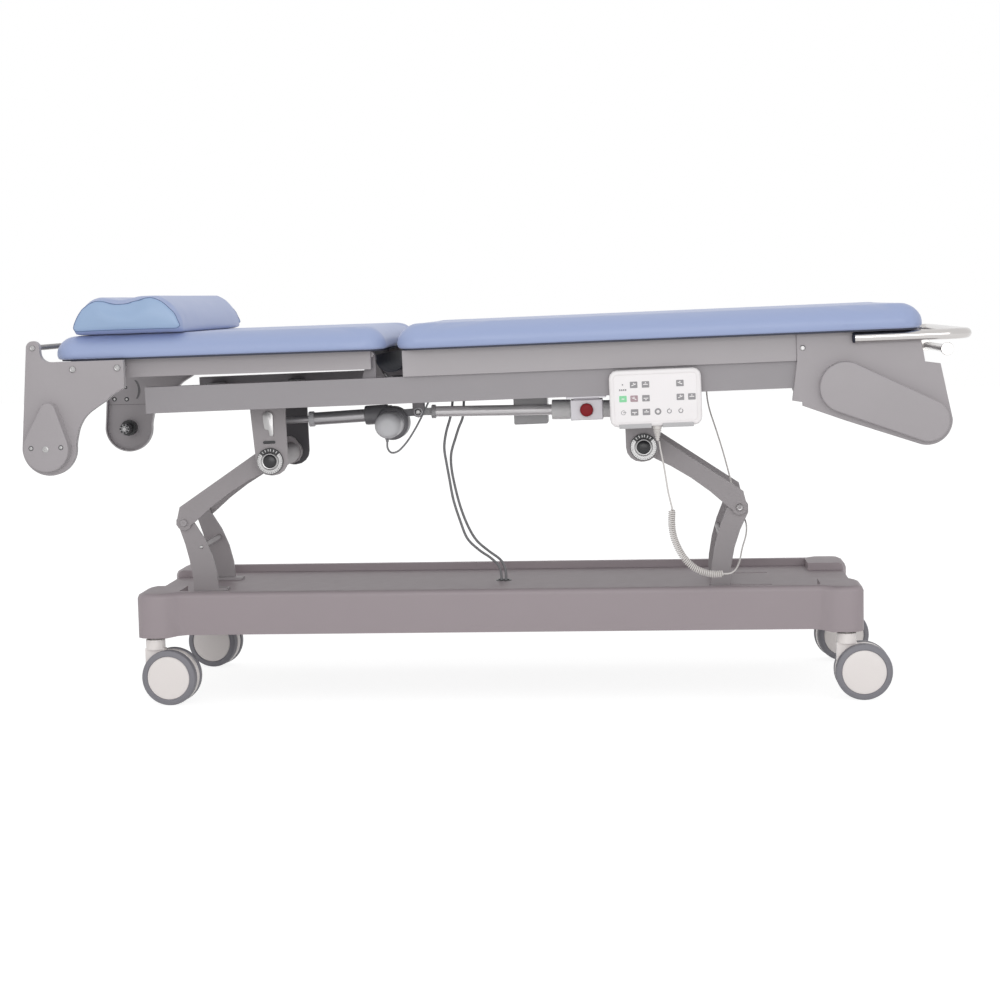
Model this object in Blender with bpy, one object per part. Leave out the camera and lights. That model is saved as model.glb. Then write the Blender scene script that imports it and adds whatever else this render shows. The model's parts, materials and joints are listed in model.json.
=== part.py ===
"""Electric examination table: a two-section couch on a twin-arm electric lift base."""
import math

import bmesh
import bpy
from mathutils import Vector

# Fits, welds and facets
CLEARANCE = 0.0003
OVERRUN = 0.002
WELD_DEPTH = 0.001
ROUND_STEPS = 12
SMALL_STEPS = 8
WHEEL_STEPS = 20
ARC_STEPS = 4
SMOOTH_ANGLE = math.radians(35)
SIDES = {"near": -1, "far": 1}

# Where the middle of the base stands, so that the whole outline is centred over the origin
TABLE_SHIFT_X = -0.010

# Base cover
BASE_LENGTH = 1.620
BASE_WIDTH = 0.500
BASE_TOP = 0.252
BASE_HEIGHT = 0.096
CORNER_DROP = 0.004
CORNER_LENGTH = 0.070
CORNER_DEPTH = 0.120
CORNER_BULGE = 0.020
CORNER_BLEND = 0.022
CORNER_RADIUS = 0.030
END_INSET = 0.010
RIM_WIDTH = 0.028
RECESS_DEPTH = 0.017
END_RECESS_SHARE = 0.60
TOP_EDGE_RADIUS = 0.012
COVER_WALL = 0.004
CABLE_HOLE_RADIUS = 0.015

# Base frame under the cover
FRAME_TUBE = 0.040
FRAME_RAIL_SPACING = 0.320
FRAME_LEDGE = 0.024
FRAME_LEDGE_THICKNESS = 0.006
SOCKET_RADIUS = 0.020

# Casters
CASTER_INSET_X = 0.038
CASTER_INSET_Y = 0.008
CASTER_TRAIL = 0.036
WHEEL_RADIUS = 0.0625
WHEEL_DISC_RADIUS = 0.049
WHEEL_PAIR_WIDTH = 0.062
WHEEL_WIDTH = 0.0205
WHEEL_EDGE = 0.0035
AXLE_RADIUS = 0.005
STEM_RADIUS = 0.022
STEM_PIN_RADIUS = 0.010
STEM_GAP = 0.0045
STEM_CHAMFER = 0.0015
STEM_FOOT_HEIGHT = 0.1245
CASTER_SWING = {
    ("head", "near"): -5.0,
    ("head", "far"): -11.0,
    ("foot", "near"): 0.0,
    ("foot", "far"): 8.0,
}

# Lift arms, their knees and cranks
LIFT_ARM_LENGTH = 0.258
LIFT_REST_ANGLE = math.radians(33.8)
KNEE_HEIGHT = 0.3947
HEAD_KNEE_X = -0.7277
PLATE_GAUGE = 0.008
ARM_SPACING = 0.207
ARM_TOP_OFFSET = 0.0355
ARM_EYE_RADIUS = 0.0175
ARM_CHAMFER_X = 0.013
ARM_CHAMFER_ANGLE = 125
ARM_PIVOT_RADIUS = 0.029
ARM_SHOULDER = 0.015
ARM_BELLY_SHARES = ((0.094, -0.049), (0.461, -0.0136))
LIFT_RANGE = math.radians(55)
TORQUE_TUBE_RADIUS = 0.025
PIVOT_PIN_RADIUS = 0.010
KNEE_PIN_RADIUS = 0.006
KNEE_BOLT_RADIUS = 0.008
KNEE_BOLT_HEIGHT = 0.006
CRANK_LENGTH = 0.0929
CRANK_REST_ANGLE = math.radians(122)
CRANK_HUB_RADIUS = 0.022
CRANK_EYE_RADIUS = 0.012
CRANK_PIN_RADIUS = 0.005
CRANK_GAUGE = 0.006
EYE_WIDTH = 0.011
EYE_RADIUS = 0.0190
EYE_PLAY = 0.0076
EYE_NECK = 0.008
EYE_NECK_SHARE = 0.75
NECK_WIDTH_SHARE = 0.88

# Lift posts
POST_TIE_RADIUS = 0.008
POST_TIE_SHARES = (0.23, -0.36)
POST_EYE_RADIUS = 0.0205
POST_FOOT_THICKNESS = 0.006
POST_FOOT_MARGIN = 0.020
CARRIAGE_LENGTH = 0.090
CARRIAGE_HEIGHT = 0.034
CARRIAGE_TRAVEL = 0.0875
SLOT_MARGIN = 0.004
HEAD_POST_INNER_SHARES = ((0.141, -0.012), (0.365, -0.437), (0.468, -1.0))
HEAD_POST_OUTER_SHARES = ((-0.077, -0.092), (0.045, -0.518), (0.105, -1.0))
FOOT_POST_INNER_SHARES = ((0.155, -0.012), (0.282, -0.357), (0.370, -1.0))
FOOT_POST_OUTER_SHARES = ((-0.111, -0.071), (0.036, -0.416), (0.126, -1.0))

# Couch frame, in its own frame: x along the couch, z up from the underside of its beams
BED_TILT = math.radians(1.26)
PIVOT_DROP = 0.1252
HEAD_PIVOT_X = -0.5129
PIVOT_SPACING = 0.8457
BEAM_WIDTH = 0.030
BEAM_HEIGHT = 0.058
BEAM_OUTER_SPACING = 0.590
BEAM_HEAD_X = -0.758
BEAM_FOOT_X = 0.930
HEAD_CROSS_X = -0.708
CROSS_WIDTH = 0.040
CROSS_HEIGHT = 0.040
CROSS_RISE = 0.004
RAIL_WIDTH = 0.030
RAIL_HEIGHT = 0.0575
RAIL_OUTER_SPACING = 0.610
RAIL_HEAD_X = -0.184
RAIL_FOOT_X = 0.667
SLAT_WIDTH = 0.050
SLAT_HEIGHT = 0.020
CUSHION_GAP = 0.0003

# Lift brackets and their dials
BRACKET_SPACING = 0.296
BRACKET_GAUGE = 0.0086
BRACKET_INNER_REACH = 0.0395
BRACKET_OUTER_REACH = 0.033
BRACKET_TOP_REACH = 0.041
BRACKET_FLANGE = 0.030
DIAL_RADIUS = 0.030
DIAL_HEIGHT = 0.0135
DIAL_RING_HEIGHT = 0.006
DIAL_RING_WIDTH = 0.0075
KNOB_RADIUS = 0.015
LATCH_WIDTH = 0.024
LATCH_LENGTH = 0.057
LATCH_GAUGE = 0.004
LATCH_DROP = 0.012

# Clevis of the lift motors
CLEVIS_X = -0.1862
CLEVIS_DROP = 0.0346
CLEVIS_GAUGE = 0.006
CLEVIS_RADIUS = 0.013
FLAT_CROSS_HEIGHT = 0.018
TRAY_FOOT_X = -0.070
TRAY_GAUGE = 0.004
TAIL_CROSS_X = 0.478
CLEVIS_PIN_RADIUS = 0.005
CLEVIS_EYE_WIDTH = 0.010
CLEVIS_EYE_RADIUS = 0.0115

# Head lift motor
HEAD_ROD_RADIUS = 0.00735
HEAD_TUBE_RADIUS = 0.0150
HEAD_TUBE_LENGTH = 0.157
HEAD_COLLAR_RADIUS = 0.018
HEAD_COLLAR_LENGTH = 0.012
GEAR_RADIUS = 0.039
GEAR_HALF_WIDTH = 0.030
GEAR_OFFSET = 0.0624
GEAR_DROP_SHARE = 0.56
GEAR_NECK_RADIUS = 0.020
MOTOR_RADIUS = 0.030
MOTOR_REACH = 0.120
MOTOR_DOME = 0.018
ROD_CLEARANCE = 0.0006

# Foot lift motor
FOOT_ROD_RADIUS = 0.0123
FOOT_ROD_COLLAR_RADIUS = 0.016
FOOT_ROD_COLLAR_X = 0.030
FOOT_ROD_COLLAR_LENGTH = 0.010
FOOT_ROD_LENGTH = 0.380
FOOT_COLLAR_RADIUS = 0.023
FOOT_COLLAR_LENGTH = 0.043
FOOT_COLLAR_X = 0.124
FOOT_HOUSING_RADIUS = 0.020
FOOT_GEAR_RADIUS = 0.026
FOOT_GEAR_OFFSET = 0.054

# Backrest motor
BACK_PIVOT_X = 0.085
BACK_MOTOR_AXIS = 0.043
BACK_TUBE_RADIUS = 0.0145
BACK_TUBE_LENGTH = 0.190
BACK_ROD_RADIUS = 0.009
BACK_LEVER_X = -0.012
BACK_MOTOR_RADIUS = 0.018
BACK_MOTOR_LENGTH = 0.110
BACK_MOTOR_Y = 0.040
BACK_GEAR_LENGTH = 0.045
BACK_EYE_RADIUS = 0.0155
BACK_EYE_PLAY = 0.0070
BACK_PIN_RADIUS = 0.004

# Emergency stop and control box
ESTOP_X = 0.2119
ESTOP_WIDTH = 0.070
ESTOP_HEIGHT = 0.0445
ESTOP_DEPTH = 0.052
ESTOP_FRONT_SPACING = 0.560
ESTOP_PLATE = 0.0080
ESTOP_RIM = 0.003
BUTTON_RADIUS = 0.014
BUTTON_HEIGHT = 0.012
BUTTON_STEM_RADIUS = 0.006
BUTTON_TRAVEL = 0.005
CONTROL_BOX_X = 0.069
CONTROL_BOX_LENGTH = 0.080
CONTROL_BOX_WIDTH = 0.070
CONTROL_BOX_HEIGHT = 0.068
CONTROL_BOX_Y = 0.125
CONTROL_BOX_NECK = 0.030

# Handset and its holder
HANDSET_X = 0.3622
HANDSET_WIDTH = 0.198
HANDSET_HEIGHT = 0.1225
HANDSET_DEPTH = 0.028
HANDSET_BOTTOM_DROP = 0.0685
HANDSET_CORNER = 0.017
HANDSET_EDGE = 0.004
HANDSET_PANEL_DEPTH = 0.0012
HANDSET_PANEL_MARGIN = 0.010
HOLDER_WIDTH = 0.160
HOLDER_GAUGE = 0.003
HOLDER_LIP = 0.006
RELIEF_LENGTH = 0.0325
RELIEF_OFFSET = 0.0014
RELIEF_RINGS = 2
RELIEF_TOP_RADIUS = 0.0080
RELIEF_END_RADIUS = 0.0034

# Backrest section, in its own frame: origin on its hinge, x towards the foot
HINGE_X = -0.254
HINGE_HEIGHT = 0.110
BACK_TILT = math.radians(0.45)
BACK_RAIL_HEIGHT = 0.0395
BACK_RAIL_TOP = 0.0075
BACK_RAIL_END = 0.0010
BACK_RAIL_LENGTH = 0.662
HINGE_PIN_RADIUS = 0.0045
HINGE_EYE_RADIUS = 0.0075
HINGE_POST_GAUGE = 0.008
HINGE_POST_LENGTH = 0.048
BACK_LEVER_GAUGE = 0.006
BACK_EYE_WIDTH = 0.018
BACK_CROSS_OFFSET = 0.050

# Side plates at the head end
HEAD_PLATE_SPACING = 0.714
HEAD_PLATE_DEPTH = 0.016
SHEET_GAUGE = 0.003
ROLL_REACH = 0.7063
ROLL_DROP = 0.1801
HEAD_PLATE_RADIUS = 0.060
HEAD_PLATE_WIDTH = 0.1733
EAR_RADIUS = 0.015
EAR_RISE = 0.2196
EAR_SETBACK = 0.0247
EAR_FILLET = 0.022
HEAD_PLATE_LOWER_SHARES = (
    (0.346, 0.040),
    (0.368, 0.112),
    (0.413, 0.255),
    (0.519, 0.385),
    (0.761, 0.534),
    (0.828, 0.589),
    (0.969, 0.665),
    (1.0, 0.690),
)
HEAD_BOLT_SHARES = (0.355, 0.923)
HEAD_BOLT_RADIUS = 0.008
HEAD_BOLT_HEIGHT = 0.004
HEAD_BOLT_DROP = 0.017
HEAD_COVER_RADIUS = 0.050
HEAD_COVER_TOP_RADIUS = 0.017
HEAD_COVER_DEPTH = 0.030
HEAD_COVER_TOP_X = 0.0082
HEAD_COVER_TOP_RISE = 0.083
COVER_EDGE = 0.005
CROSS_ROD_RADIUS = 0.006

# Roll chucks
CHUCK_BASE_RADIUS = 0.020
CHUCK_NOSE_RADIUS = 0.014
CHUCK_BASE_LENGTH = 0.020
CHUCK_NOSE_LENGTH = 0.0375
SPINDLE_RADIUS = 0.006
SPINDLE_DISC_RADIUS = 0.028
SPINDLE_DISC_WIDTH = 0.008
SPINDLE_GAP = 0.003

# Cushions and pillow
CUSHION_WIDTH = 0.690
CUSHION_THICKNESS = 0.0522
CUSHION_CROWN = 0.005
CUSHION_EDGE = 0.038
CUSHION_UNDER_EDGE = 0.012
CUSHION_TIP_SHARE = 0.27
CUSHION_CORNER = 0.050
CUSHION_PULL = 0.003
CUSHION_UNDER_SHARES = (0.3, 0.4)
CUSHION_TOP_SHARES = (0.35, 0.65, 0.92)
CUSHION_MIDDLE_SHARE = 0.03
HEAD_CUSHION_THICKNESS = 0.0492
HEAD_CUSHION_REACH = 0.6925
HEAD_CUSHION_LENGTH = 0.7285
MAIN_CUSHION_HEAD_X = -0.1932
MAIN_CUSHION_LENGTH = 1.1280
PILLOW_REACH = 0.6490
PILLOW_LENGTH = 0.2440
PILLOW_WIDTH = 0.690
PILLOW_THICKNESS = 0.082
PILLOW_EDGE = 0.010
PILLOW_EDGE_SHARE = 0.3
PILLOW_OUTLINE_SHARES = (
    (0.035, 0.0),
    (0.965, 0.0),
    (1.0, 0.07),
    (0.995, 0.28),
    (0.955, 0.55),
    (0.890, 0.79),
    (0.810, 0.945),
    (0.725, 1.0),
    (0.610, 0.965),
    (0.500, 0.905),
    (0.410, 0.890),
    (0.340, 0.930),
    (0.260, 0.965),
    (0.180, 0.900),
    (0.105, 0.740),
    (0.045, 0.500),
    (0.0, 0.12),
)

# Apron that closes the gap between the two sections
APRON_WIDTH = 0.520
APRON_GAUGE = 0.0015
APRON_HEAD_GAP = 0.008
APRON_FOOT_GAP = 0.0003
APRON_TOP_SHARE = 0.93
APRON_BOTTOM_HEIGHT = 0.068
APRON_FOLD_SHARES = (0.10, 0.35)
APRON_SLANT_SHARE = 0.3

# Side plates at the foot end
FOOT_PLATE_SPACING = 0.620
FOOT_PLATE_LENGTH = 0.3273
FOOT_PLATE_HEIGHT = 0.1943
FOOT_PLATE_RADIUS = 0.054
FOOT_PLATE_UPPER_SHARES = (
    (0.9288, 0.6155),
    (0.8298, 0.6428),
    (0.8063, 0.8971),
    (0.7873, 1.0),
    (0.0, 1.0),
    (0.0, 0.7025),
)
FOOT_PLATE_TAB_SHARES = (
    (-0.0364, 0.2687),
    (0.0302, 0.2475),
)
FOOT_PLATE_LOWER_SHARES = (
    (0.0296, 0.2064),
    (0.3031, 0.0268),
)
BELT_COVER_RADIUS = 0.055
BELT_COVER_SMALL_RADIUS = 0.045
BELT_COVER_DEPTH = 0.025
BELT_COVER_SPAN_X = 0.1734
BELT_COVER_SPAN_Z = 0.0776
PULLEY_RADIUS = 0.030

# Push handle and guide roller
HANDLE_RADIUS = 0.01125
HANDLE_HEAD_X = 0.785
HANDLE_FOOT_X = 1.0310
HANDLE_HEIGHT = 0.1035
HANDLE_BEND = 0.045
BEND_STEPS = 5
ROLLER_X = 1.0054
ROLLER_HEIGHT = 0.0673
ROLLER_RADIUS = 0.00875
ROLLER_DISC_RADIUS = 0.014
ROLLER_DISC_WIDTH = 0.006
ROLLER_LENGTH = 0.355
ROLLER_AXLE_RADIUS = 0.004
ROLLER_ARM_GAUGE = 0.006
ROLLER_ARM_WIDTH = 0.024

# Cords, in metres from the middle of the base on the floor
CORD_DIAMETER = 0.0036
CURL_DIAMETER = 0.016
CURL_PITCH = 0.0058
CURL_POINTS = 8
POWER_CABLE_DIAMETER = 0.0060
MOTOR_CABLE_DIAMETER = 0.0045
HANDSET_CORD_ROUTE = (
    (0.3657, -0.3200, 0.5810),
    (0.3680, -0.3180, 0.5640),
    (0.3742, -0.3120, 0.5313),
    (0.3790, -0.3070, 0.5010),
    (0.3834, -0.3030, 0.4712),
    (0.3880, -0.3005, 0.4500),
    (0.3920, -0.3000, 0.4330),
)
HANDSET_COIL_ROUTE = (
    (0.3920, -0.3000, 0.4330),
    (0.3907, -0.3000, 0.4007),
    (0.3939, -0.3000, 0.3740),
    (0.4035, -0.3000, 0.3469),
    (0.4197, -0.3000, 0.3199),
    (0.4427, -0.3000, 0.2995),
    (0.4724, -0.3000, 0.2885),
    (0.5040, -0.3000, 0.2880),
)
HANDSET_TAIL_ROUTE = (
    (0.5040, -0.3000, 0.2880),
    (0.5150, -0.2980, 0.2885),
    (0.5260, -0.2880, 0.2930),
    (0.5380, -0.2500, 0.3060),
    (0.5480, -0.1900, 0.3300),
    (0.5600, -0.1300, 0.3560),
    (0.5620, -0.0700, 0.3760),
    (0.5500, -0.0300, 0.4020),
    (0.5380, -0.0120, 0.4400),
    (0.5270, -0.0050, 0.4850),
    (0.5140, 0.0000, 0.5350),
    (0.4990, 0.0000, 0.5850),
    (0.4860, 0.0000, 0.6260),
    (0.4800, 0.0000, 0.6560),
    (0.4779, 0.0000, 0.6886),
)
POWER_CABLE_ROUTES = {
    "a": (
        (-0.1120, 0.0300, 0.6758),
        (-0.1130, 0.0300, 0.6520),
        (-0.1180, 0.0300, 0.6220),
        (-0.1290, 0.0280, 0.5850),
        (-0.1340, 0.0250, 0.5490),
        (-0.1290, 0.0200, 0.5130),
        (-0.1230, 0.0150, 0.4790),
        (-0.1140, 0.0100, 0.4280),
        (-0.0990, 0.0090, 0.3780),
        (-0.0830, 0.0100, 0.3360),
        (-0.0560, 0.0130, 0.3080),
        (-0.0300, 0.0160, 0.2890),
        (-0.0110, 0.0190, 0.2690),
        (-0.0060, 0.0200, 0.2480),
        (-0.0050, 0.0200, 0.2280),
    ),
    "b": (
        (-0.0860, 0.0400, 0.6763),
        (-0.0870, 0.0400, 0.6520),
        (-0.0900, 0.0400, 0.6200),
        (-0.1000, 0.0400, 0.5950),
        (-0.1090, 0.0400, 0.5690),
        (-0.1190, 0.0380, 0.5350),
        (-0.1190, 0.0350, 0.5000),
        (-0.1110, 0.0300, 0.4560),
        (-0.0990, 0.0280, 0.4080),
        (-0.0820, 0.0280, 0.3620),
        (-0.0620, 0.0280, 0.3280),
        (-0.0340, 0.0290, 0.3030),
        (-0.0080, 0.0280, 0.2830),
        (0.0030, 0.0250, 0.2630),
        (0.0050, 0.0240, 0.2440),
        (0.0050, 0.0240, 0.2280),
    ),
}
MOTOR_CABLE_ROUTE = (
    (-0.2522, -0.1000, 0.5740),
    (-0.2520, -0.1000, 0.5600),
    (-0.2440, -0.1000, 0.5490),
    (-0.2280, -0.0990, 0.5520),
    (-0.2080, -0.0970, 0.5720),
    (-0.1880, -0.0940, 0.6020),
    (-0.1700, -0.0900, 0.6350),
    (-0.1580, -0.0880, 0.6600),
    (-0.1520, -0.0880, 0.6740),
)

# Colours: base colour, roughness, metallic
FINISHES = {
    "grey_paint": ((0.385, 0.362, 0.378), 0.48, 0.0),
    "dark_paint": ((0.110, 0.106, 0.114), 0.55, 0.0),
    "base_plastic": ((0.350, 0.300, 0.318), 0.52, 0.0),
    "white_plastic": ((0.840, 0.800, 0.790), 0.35, 0.0),
    "pale_plastic": ((0.430, 0.425, 0.440), 0.40, 0.0),
    "black_plastic": ((0.030, 0.030, 0.034), 0.40, 0.0),
    "red_plastic": ((0.480, 0.030, 0.045), 0.35, 0.0),
    "blue_vinyl": ((0.376, 0.458, 0.680), 0.42, 0.0),
    "pillow_vinyl": ((0.376, 0.500, 0.708), 0.40, 0.0),
    "dark_film": ((0.040, 0.045, 0.090), 0.25, 0.0),
    "bright_steel": ((0.640, 0.640, 0.650), 0.25, 1.0),
    "chrome": ((0.800, 0.790, 0.780), 0.12, 1.0),
    "white_cord": ((0.720, 0.700, 0.680), 0.45, 0.0),
    "grey_cable": ((0.250, 0.255, 0.270), 0.50, 0.0),
}

# Sizes that follow from the ones above
BASE_BOTTOM = BASE_TOP - BASE_HEIGHT
CASTER_SPACING_X = BASE_LENGTH - 2 * CASTER_INSET_X
CASTER_SPACING_Y = BASE_WIDTH - 2 * CASTER_INSET_Y
RECESS_TOP = BASE_TOP - RECESS_DEPTH
FRAME_TOP = RECESS_TOP - COVER_WALL - CLEARANCE
CHANNEL_HALF = BASE_WIDTH / 2 - RIM_WIDTH
ARM_OUTER = ARM_SPACING / 2 + PLATE_GAUGE
POST_OUTER = ARM_SPACING / 2 - CLEARANCE * 3
POST_INNER = POST_OUTER - PLATE_GAUGE
HUB_HALF = BRACKET_SPACING / 2 - CLEARANCE
EYE_BORE_RADIUS = CRANK_PIN_RADIUS + EYE_PLAY
CRANK_INNER = EYE_WIDTH / 2 + CLEARANCE
LEVER_INNER = BACK_EYE_WIDTH / 2 + CLEARANCE * 2
BEAM_OUTER = BEAM_OUTER_SPACING / 2
BEAM_INNER = BEAM_OUTER - BEAM_WIDTH
RAIL_OUTER = RAIL_OUTER_SPACING / 2
RAIL_INNER = RAIL_OUTER - RAIL_WIDTH
RAIL_BOTTOM = BEAM_HEIGHT + CLEARANCE
RAIL_TOP = RAIL_BOTTOM + RAIL_HEIGHT
PIVOT_Z = -PIVOT_DROP
FOOT_PIVOT_X = HEAD_PIVOT_X + PIVOT_SPACING
CLEVIS_Z = -CLEVIS_DROP
HEAD_PLATE_OUTER = HEAD_PLATE_SPACING / 2
HEAD_PLATE_INNER = HEAD_PLATE_OUTER - HEAD_PLATE_DEPTH
HEAD_SHEET_INNER = HEAD_PLATE_OUTER - SHEET_GAUGE
HEAD_PLATE_RISE = ROLL_DROP + BACK_RAIL_TOP
FOOT_PLATE_OUTER = FOOT_PLATE_SPACING / 2
FOOT_PLATE_INNER = BEAM_OUTER + CLEARANCE
FOOT_SHEET_INNER = FOOT_PLATE_OUTER - SHEET_GAUGE
FOOT_PLATE_X = RAIL_FOOT_X + CLEARANCE
TAKE_UP_X = FOOT_PLATE_X + FOOT_PLATE_LENGTH - FOOT_PLATE_RADIUS
TAKE_UP_Z = RAIL_TOP - FOOT_PLATE_HEIGHT
HANDSET_BOTTOM = -HANDSET_BOTTOM_DROP
HOLDER_BACK = BEAM_OUTER + CLEARANCE
HANDSET_BACK = HOLDER_BACK + HOLDER_GAUGE + CLEARANCE
HANDSET_FRONT = HANDSET_BACK + HANDSET_DEPTH


def clear_scene():
    """Remove every object that the file opens with."""
    for old in list(bpy.data.objects):
        bpy.data.objects.remove(old, do_unlink=True)


def empty(name, parent=None, location=(0, 0, 0), turn_y=0.0, turn_z=0.0):
    """Add an empty that carries a group of pieces."""
    marker = bpy.data.objects.new(name, None)
    bpy.context.collection.objects.link(marker)
    marker.parent = parent
    marker.location = location
    marker.rotation_euler = (0, turn_y, turn_z)
    return marker


def mesh_piece(vertices, faces):
    """Make an object from vertices and faces, with its faces pointing out."""
    mesh = bpy.data.meshes.new("piece")
    mesh.from_pydata(vertices, [], faces)
    builder = bmesh.new()
    builder.from_mesh(mesh)
    bmesh.ops.recalc_face_normals(builder, faces=builder.faces)
    builder.to_mesh(mesh)
    builder.free()
    piece = bpy.data.objects.new("piece", mesh)
    bpy.context.collection.objects.link(piece)
    return piece


def prism(points, low, high, axis="Y"):
    """Extrude a closed outline from low to high along an axis."""
    spread = {
        "X": lambda a, b, t: (t, a, b),
        "Y": lambda a, b, t: (a, t, b),
        "Z": lambda a, b, t: (a, b, t),
    }[axis]
    count = len(points)
    vertices = [spread(a, b, low) for a, b in points]
    vertices += [spread(a, b, high) for a, b in points]
    faces = [tuple(range(count)), tuple(range(2 * count - 1, count - 1, -1))]
    for index in range(count):
        after = (index + 1) % count
        faces.append((index, after, count + after, count + index))
    return mesh_piece(vertices, faces)


def box(low, high):
    """Make a block between two corners."""
    outline = [(low[0], low[1]), (high[0], low[1]), (high[0], high[1]), (low[0], high[1])]
    return prism(outline, low[2], high[2], "Z")


def side_box(side, x_range, y_range, z_range):
    """Make a block on one side of the middle, from distances out from the middle."""
    edges = sorted(side * value for value in y_range)
    return box((x_range[0], edges[0], z_range[0]), (x_range[1], edges[1], z_range[1]))


def turned(profile, axis="Y", centre=(0, 0, 0), steps=ROUND_STEPS, ring=False):
    """Turn a profile of (radius, place along the axis) into a round piece."""
    flat_start = profile[0][0] == 0 and profile[0][1] == profile[1][1]
    flat_end = profile[-1][0] == 0 and profile[-1][1] == profile[-2][1]
    profile = profile[int(flat_start):len(profile) - int(flat_end)]
    vertices = []
    rows = []
    for radius, along in profile:
        if radius == 0:
            rows.append([len(vertices)] * steps)
            vertices.append((0, 0, along))
            continue
        rows.append(list(range(len(vertices), len(vertices) + steps)))
        for step in range(steps):
            angle = 2 * math.pi * step / steps - math.pi / 2
            vertices.append((radius * math.cos(angle), radius * math.sin(angle), along))
    faces = []
    pairs = list(zip(rows, rows[1:]))
    if ring:
        pairs.append((rows[-1], rows[0]))
    for lower, upper in pairs:
        for step in range(steps):
            after = (step + 1) % steps
            face = [lower[step], lower[after], upper[after], upper[step]]
            face = [corner for place, corner in enumerate(face) if corner not in face[:place]]
            if len(face) > 2:
                faces.append(tuple(face))
    if flat_start:
        faces.append(tuple(rows[0]))
    if flat_end:
        faces.append(tuple(rows[-1]))
    order = {
        "X": lambda a, b, t: (t, a, b),
        "Y": lambda a, b, t: (a, t, b),
        "Z": lambda a, b, t: (a, b, t),
    }[axis]
    placed = []
    for vertex in vertices:
        spot = order(*vertex)
        placed.append(tuple(spot[index] + centre[index] for index in range(3)))
    return mesh_piece(placed, faces)


def rod(radius, low, high, axis="Y", centre=(0, 0, 0), steps=SMALL_STEPS):
    """Make a plain round bar."""
    return turned([(0, low), (radius, low), (radius, high), (0, high)], axis, centre, steps)


def hole_radius(radius, steps=SMALL_STEPS):
    """Radius of a faceted hole whose flats still clear a round pin."""
    return (radius + CLEARANCE) / math.cos(math.pi / steps)


def side_rod(side, radius, y_range, x, z, steps=SMALL_STEPS):
    """Make a round bar across the couch, on one side of the middle."""
    low, high = sorted(side * value for value in y_range)
    return rod(radius, low, high, "Y", (x, 0, z), steps)


def bake(piece):
    """Replace an object's mesh by what its modifiers make of it."""
    graph = bpy.context.evaluated_depsgraph_get()
    result = bpy.data.meshes.new_from_object(piece.evaluated_get(graph))
    old = piece.data
    piece.modifiers.clear()
    piece.data = result
    bpy.data.meshes.remove(old)


def combine(body, others, operation):
    """Run one exact Boolean after another, and remove what they used."""
    for other in others:
        modifier = body.modifiers.new(operation, "BOOLEAN")
        modifier.operation = operation
        modifier.solver = "EXACT"
        modifier.object = other
        bake(body)
        bpy.data.objects.remove(other, do_unlink=True)
    return body


def weld(body, *others):
    """Join shapes that run into each other into one solid."""
    return combine(body, others, "UNION")


def cut(body, *others):
    """Take shapes away from a solid."""
    return combine(body, others, "DIFFERENCE")


def round_edges(piece, radius, segments, chosen):
    """Bevel the edges whose two ends are both chosen."""
    builder = bmesh.new()
    builder.from_mesh(piece.data)
    edges = [edge for edge in builder.edges if all(chosen(vertex.co) for vertex in edge.verts)]
    bmesh.ops.bevel(
        builder,
        geom=edges,
        offset=radius,
        offset_type="OFFSET",
        segments=segments,
        profile=0.5,
        affect="EDGES",
        clamp_overlap=True,
    )
    builder.to_mesh(piece.data)
    builder.free()
    return piece


def place(piece, name, parent, finish, location=(0, 0, 0)):
    """Name a piece, give it its own material and hang it on what carries it."""
    piece.name = name
    piece.data.name = name
    piece.parent = parent
    piece.location = location
    colour, roughness, metallic = FINISHES[finish]
    material = bpy.data.materials.new(name)
    material.use_nodes = True
    shader = material.node_tree.nodes["Principled BSDF"]
    shader.inputs["Base Color"].default_value = (*colour, 1)
    shader.inputs["Roughness"].default_value = roughness
    shader.inputs["Metallic"].default_value = metallic
    material.diffuse_color = (*colour, 1)
    piece.data.materials.clear()
    piece.data.materials.append(material)
    if piece.type == "MESH":
        piece.data.shade_smooth()
        piece.data.set_sharp_from_angle(angle=SMOOTH_ANGLE)
    return piece


def arc(centre, radius, first, last, steps):
    """Points on an arc between two angles in degrees."""
    points = []
    for step in range(steps + 1):
        angle = math.radians(first + (last - first) * step / steps)
        points.append((centre[0] + radius * math.cos(angle), centre[1] + radius * math.sin(angle)))
    return points


def arc_through(first, middle, last, steps):
    """Points on the arc that runs through three given points."""
    ax, ay = first
    bx, by = middle
    cx, cy = last
    scale = 2 * (ax * (by - cy) + bx * (cy - ay) + cx * (ay - by))
    a2 = ax * ax + ay * ay
    b2 = bx * bx + by * by
    c2 = cx * cx + cy * cy
    ox = (a2 * (by - cy) + b2 * (cy - ay) + c2 * (ay - by)) / scale
    oy = (a2 * (cx - bx) + b2 * (ax - cx) + c2 * (bx - ax)) / scale
    start = math.atan2(ay - oy, ax - ox)
    sweep = math.remainder(math.atan2(cy - oy, cx - ox) - start, 2 * math.pi)
    radius = math.hypot(ax - ox, ay - oy)
    points = []
    for step in range(steps + 1):
        angle = start + sweep * step / steps
        points.append((ox + radius * math.cos(angle), oy + radius * math.sin(angle)))
    return points


def link_outline(first, first_radius, last, last_radius, steps=ARC_STEPS):
    """Outline of a link: two round ends and the two lines that touch both."""
    along = math.degrees(math.atan2(last[1] - first[1], last[0] - first[0]))
    span = math.hypot(last[0] - first[0], last[1] - first[1])
    lean = math.degrees(math.acos((first_radius - last_radius) / span))
    outline = arc(last, last_radius, along - lean, along + lean, steps)
    outline += arc(first, first_radius, along + lean, along + 360 - lean, steps)
    return outline


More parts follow.
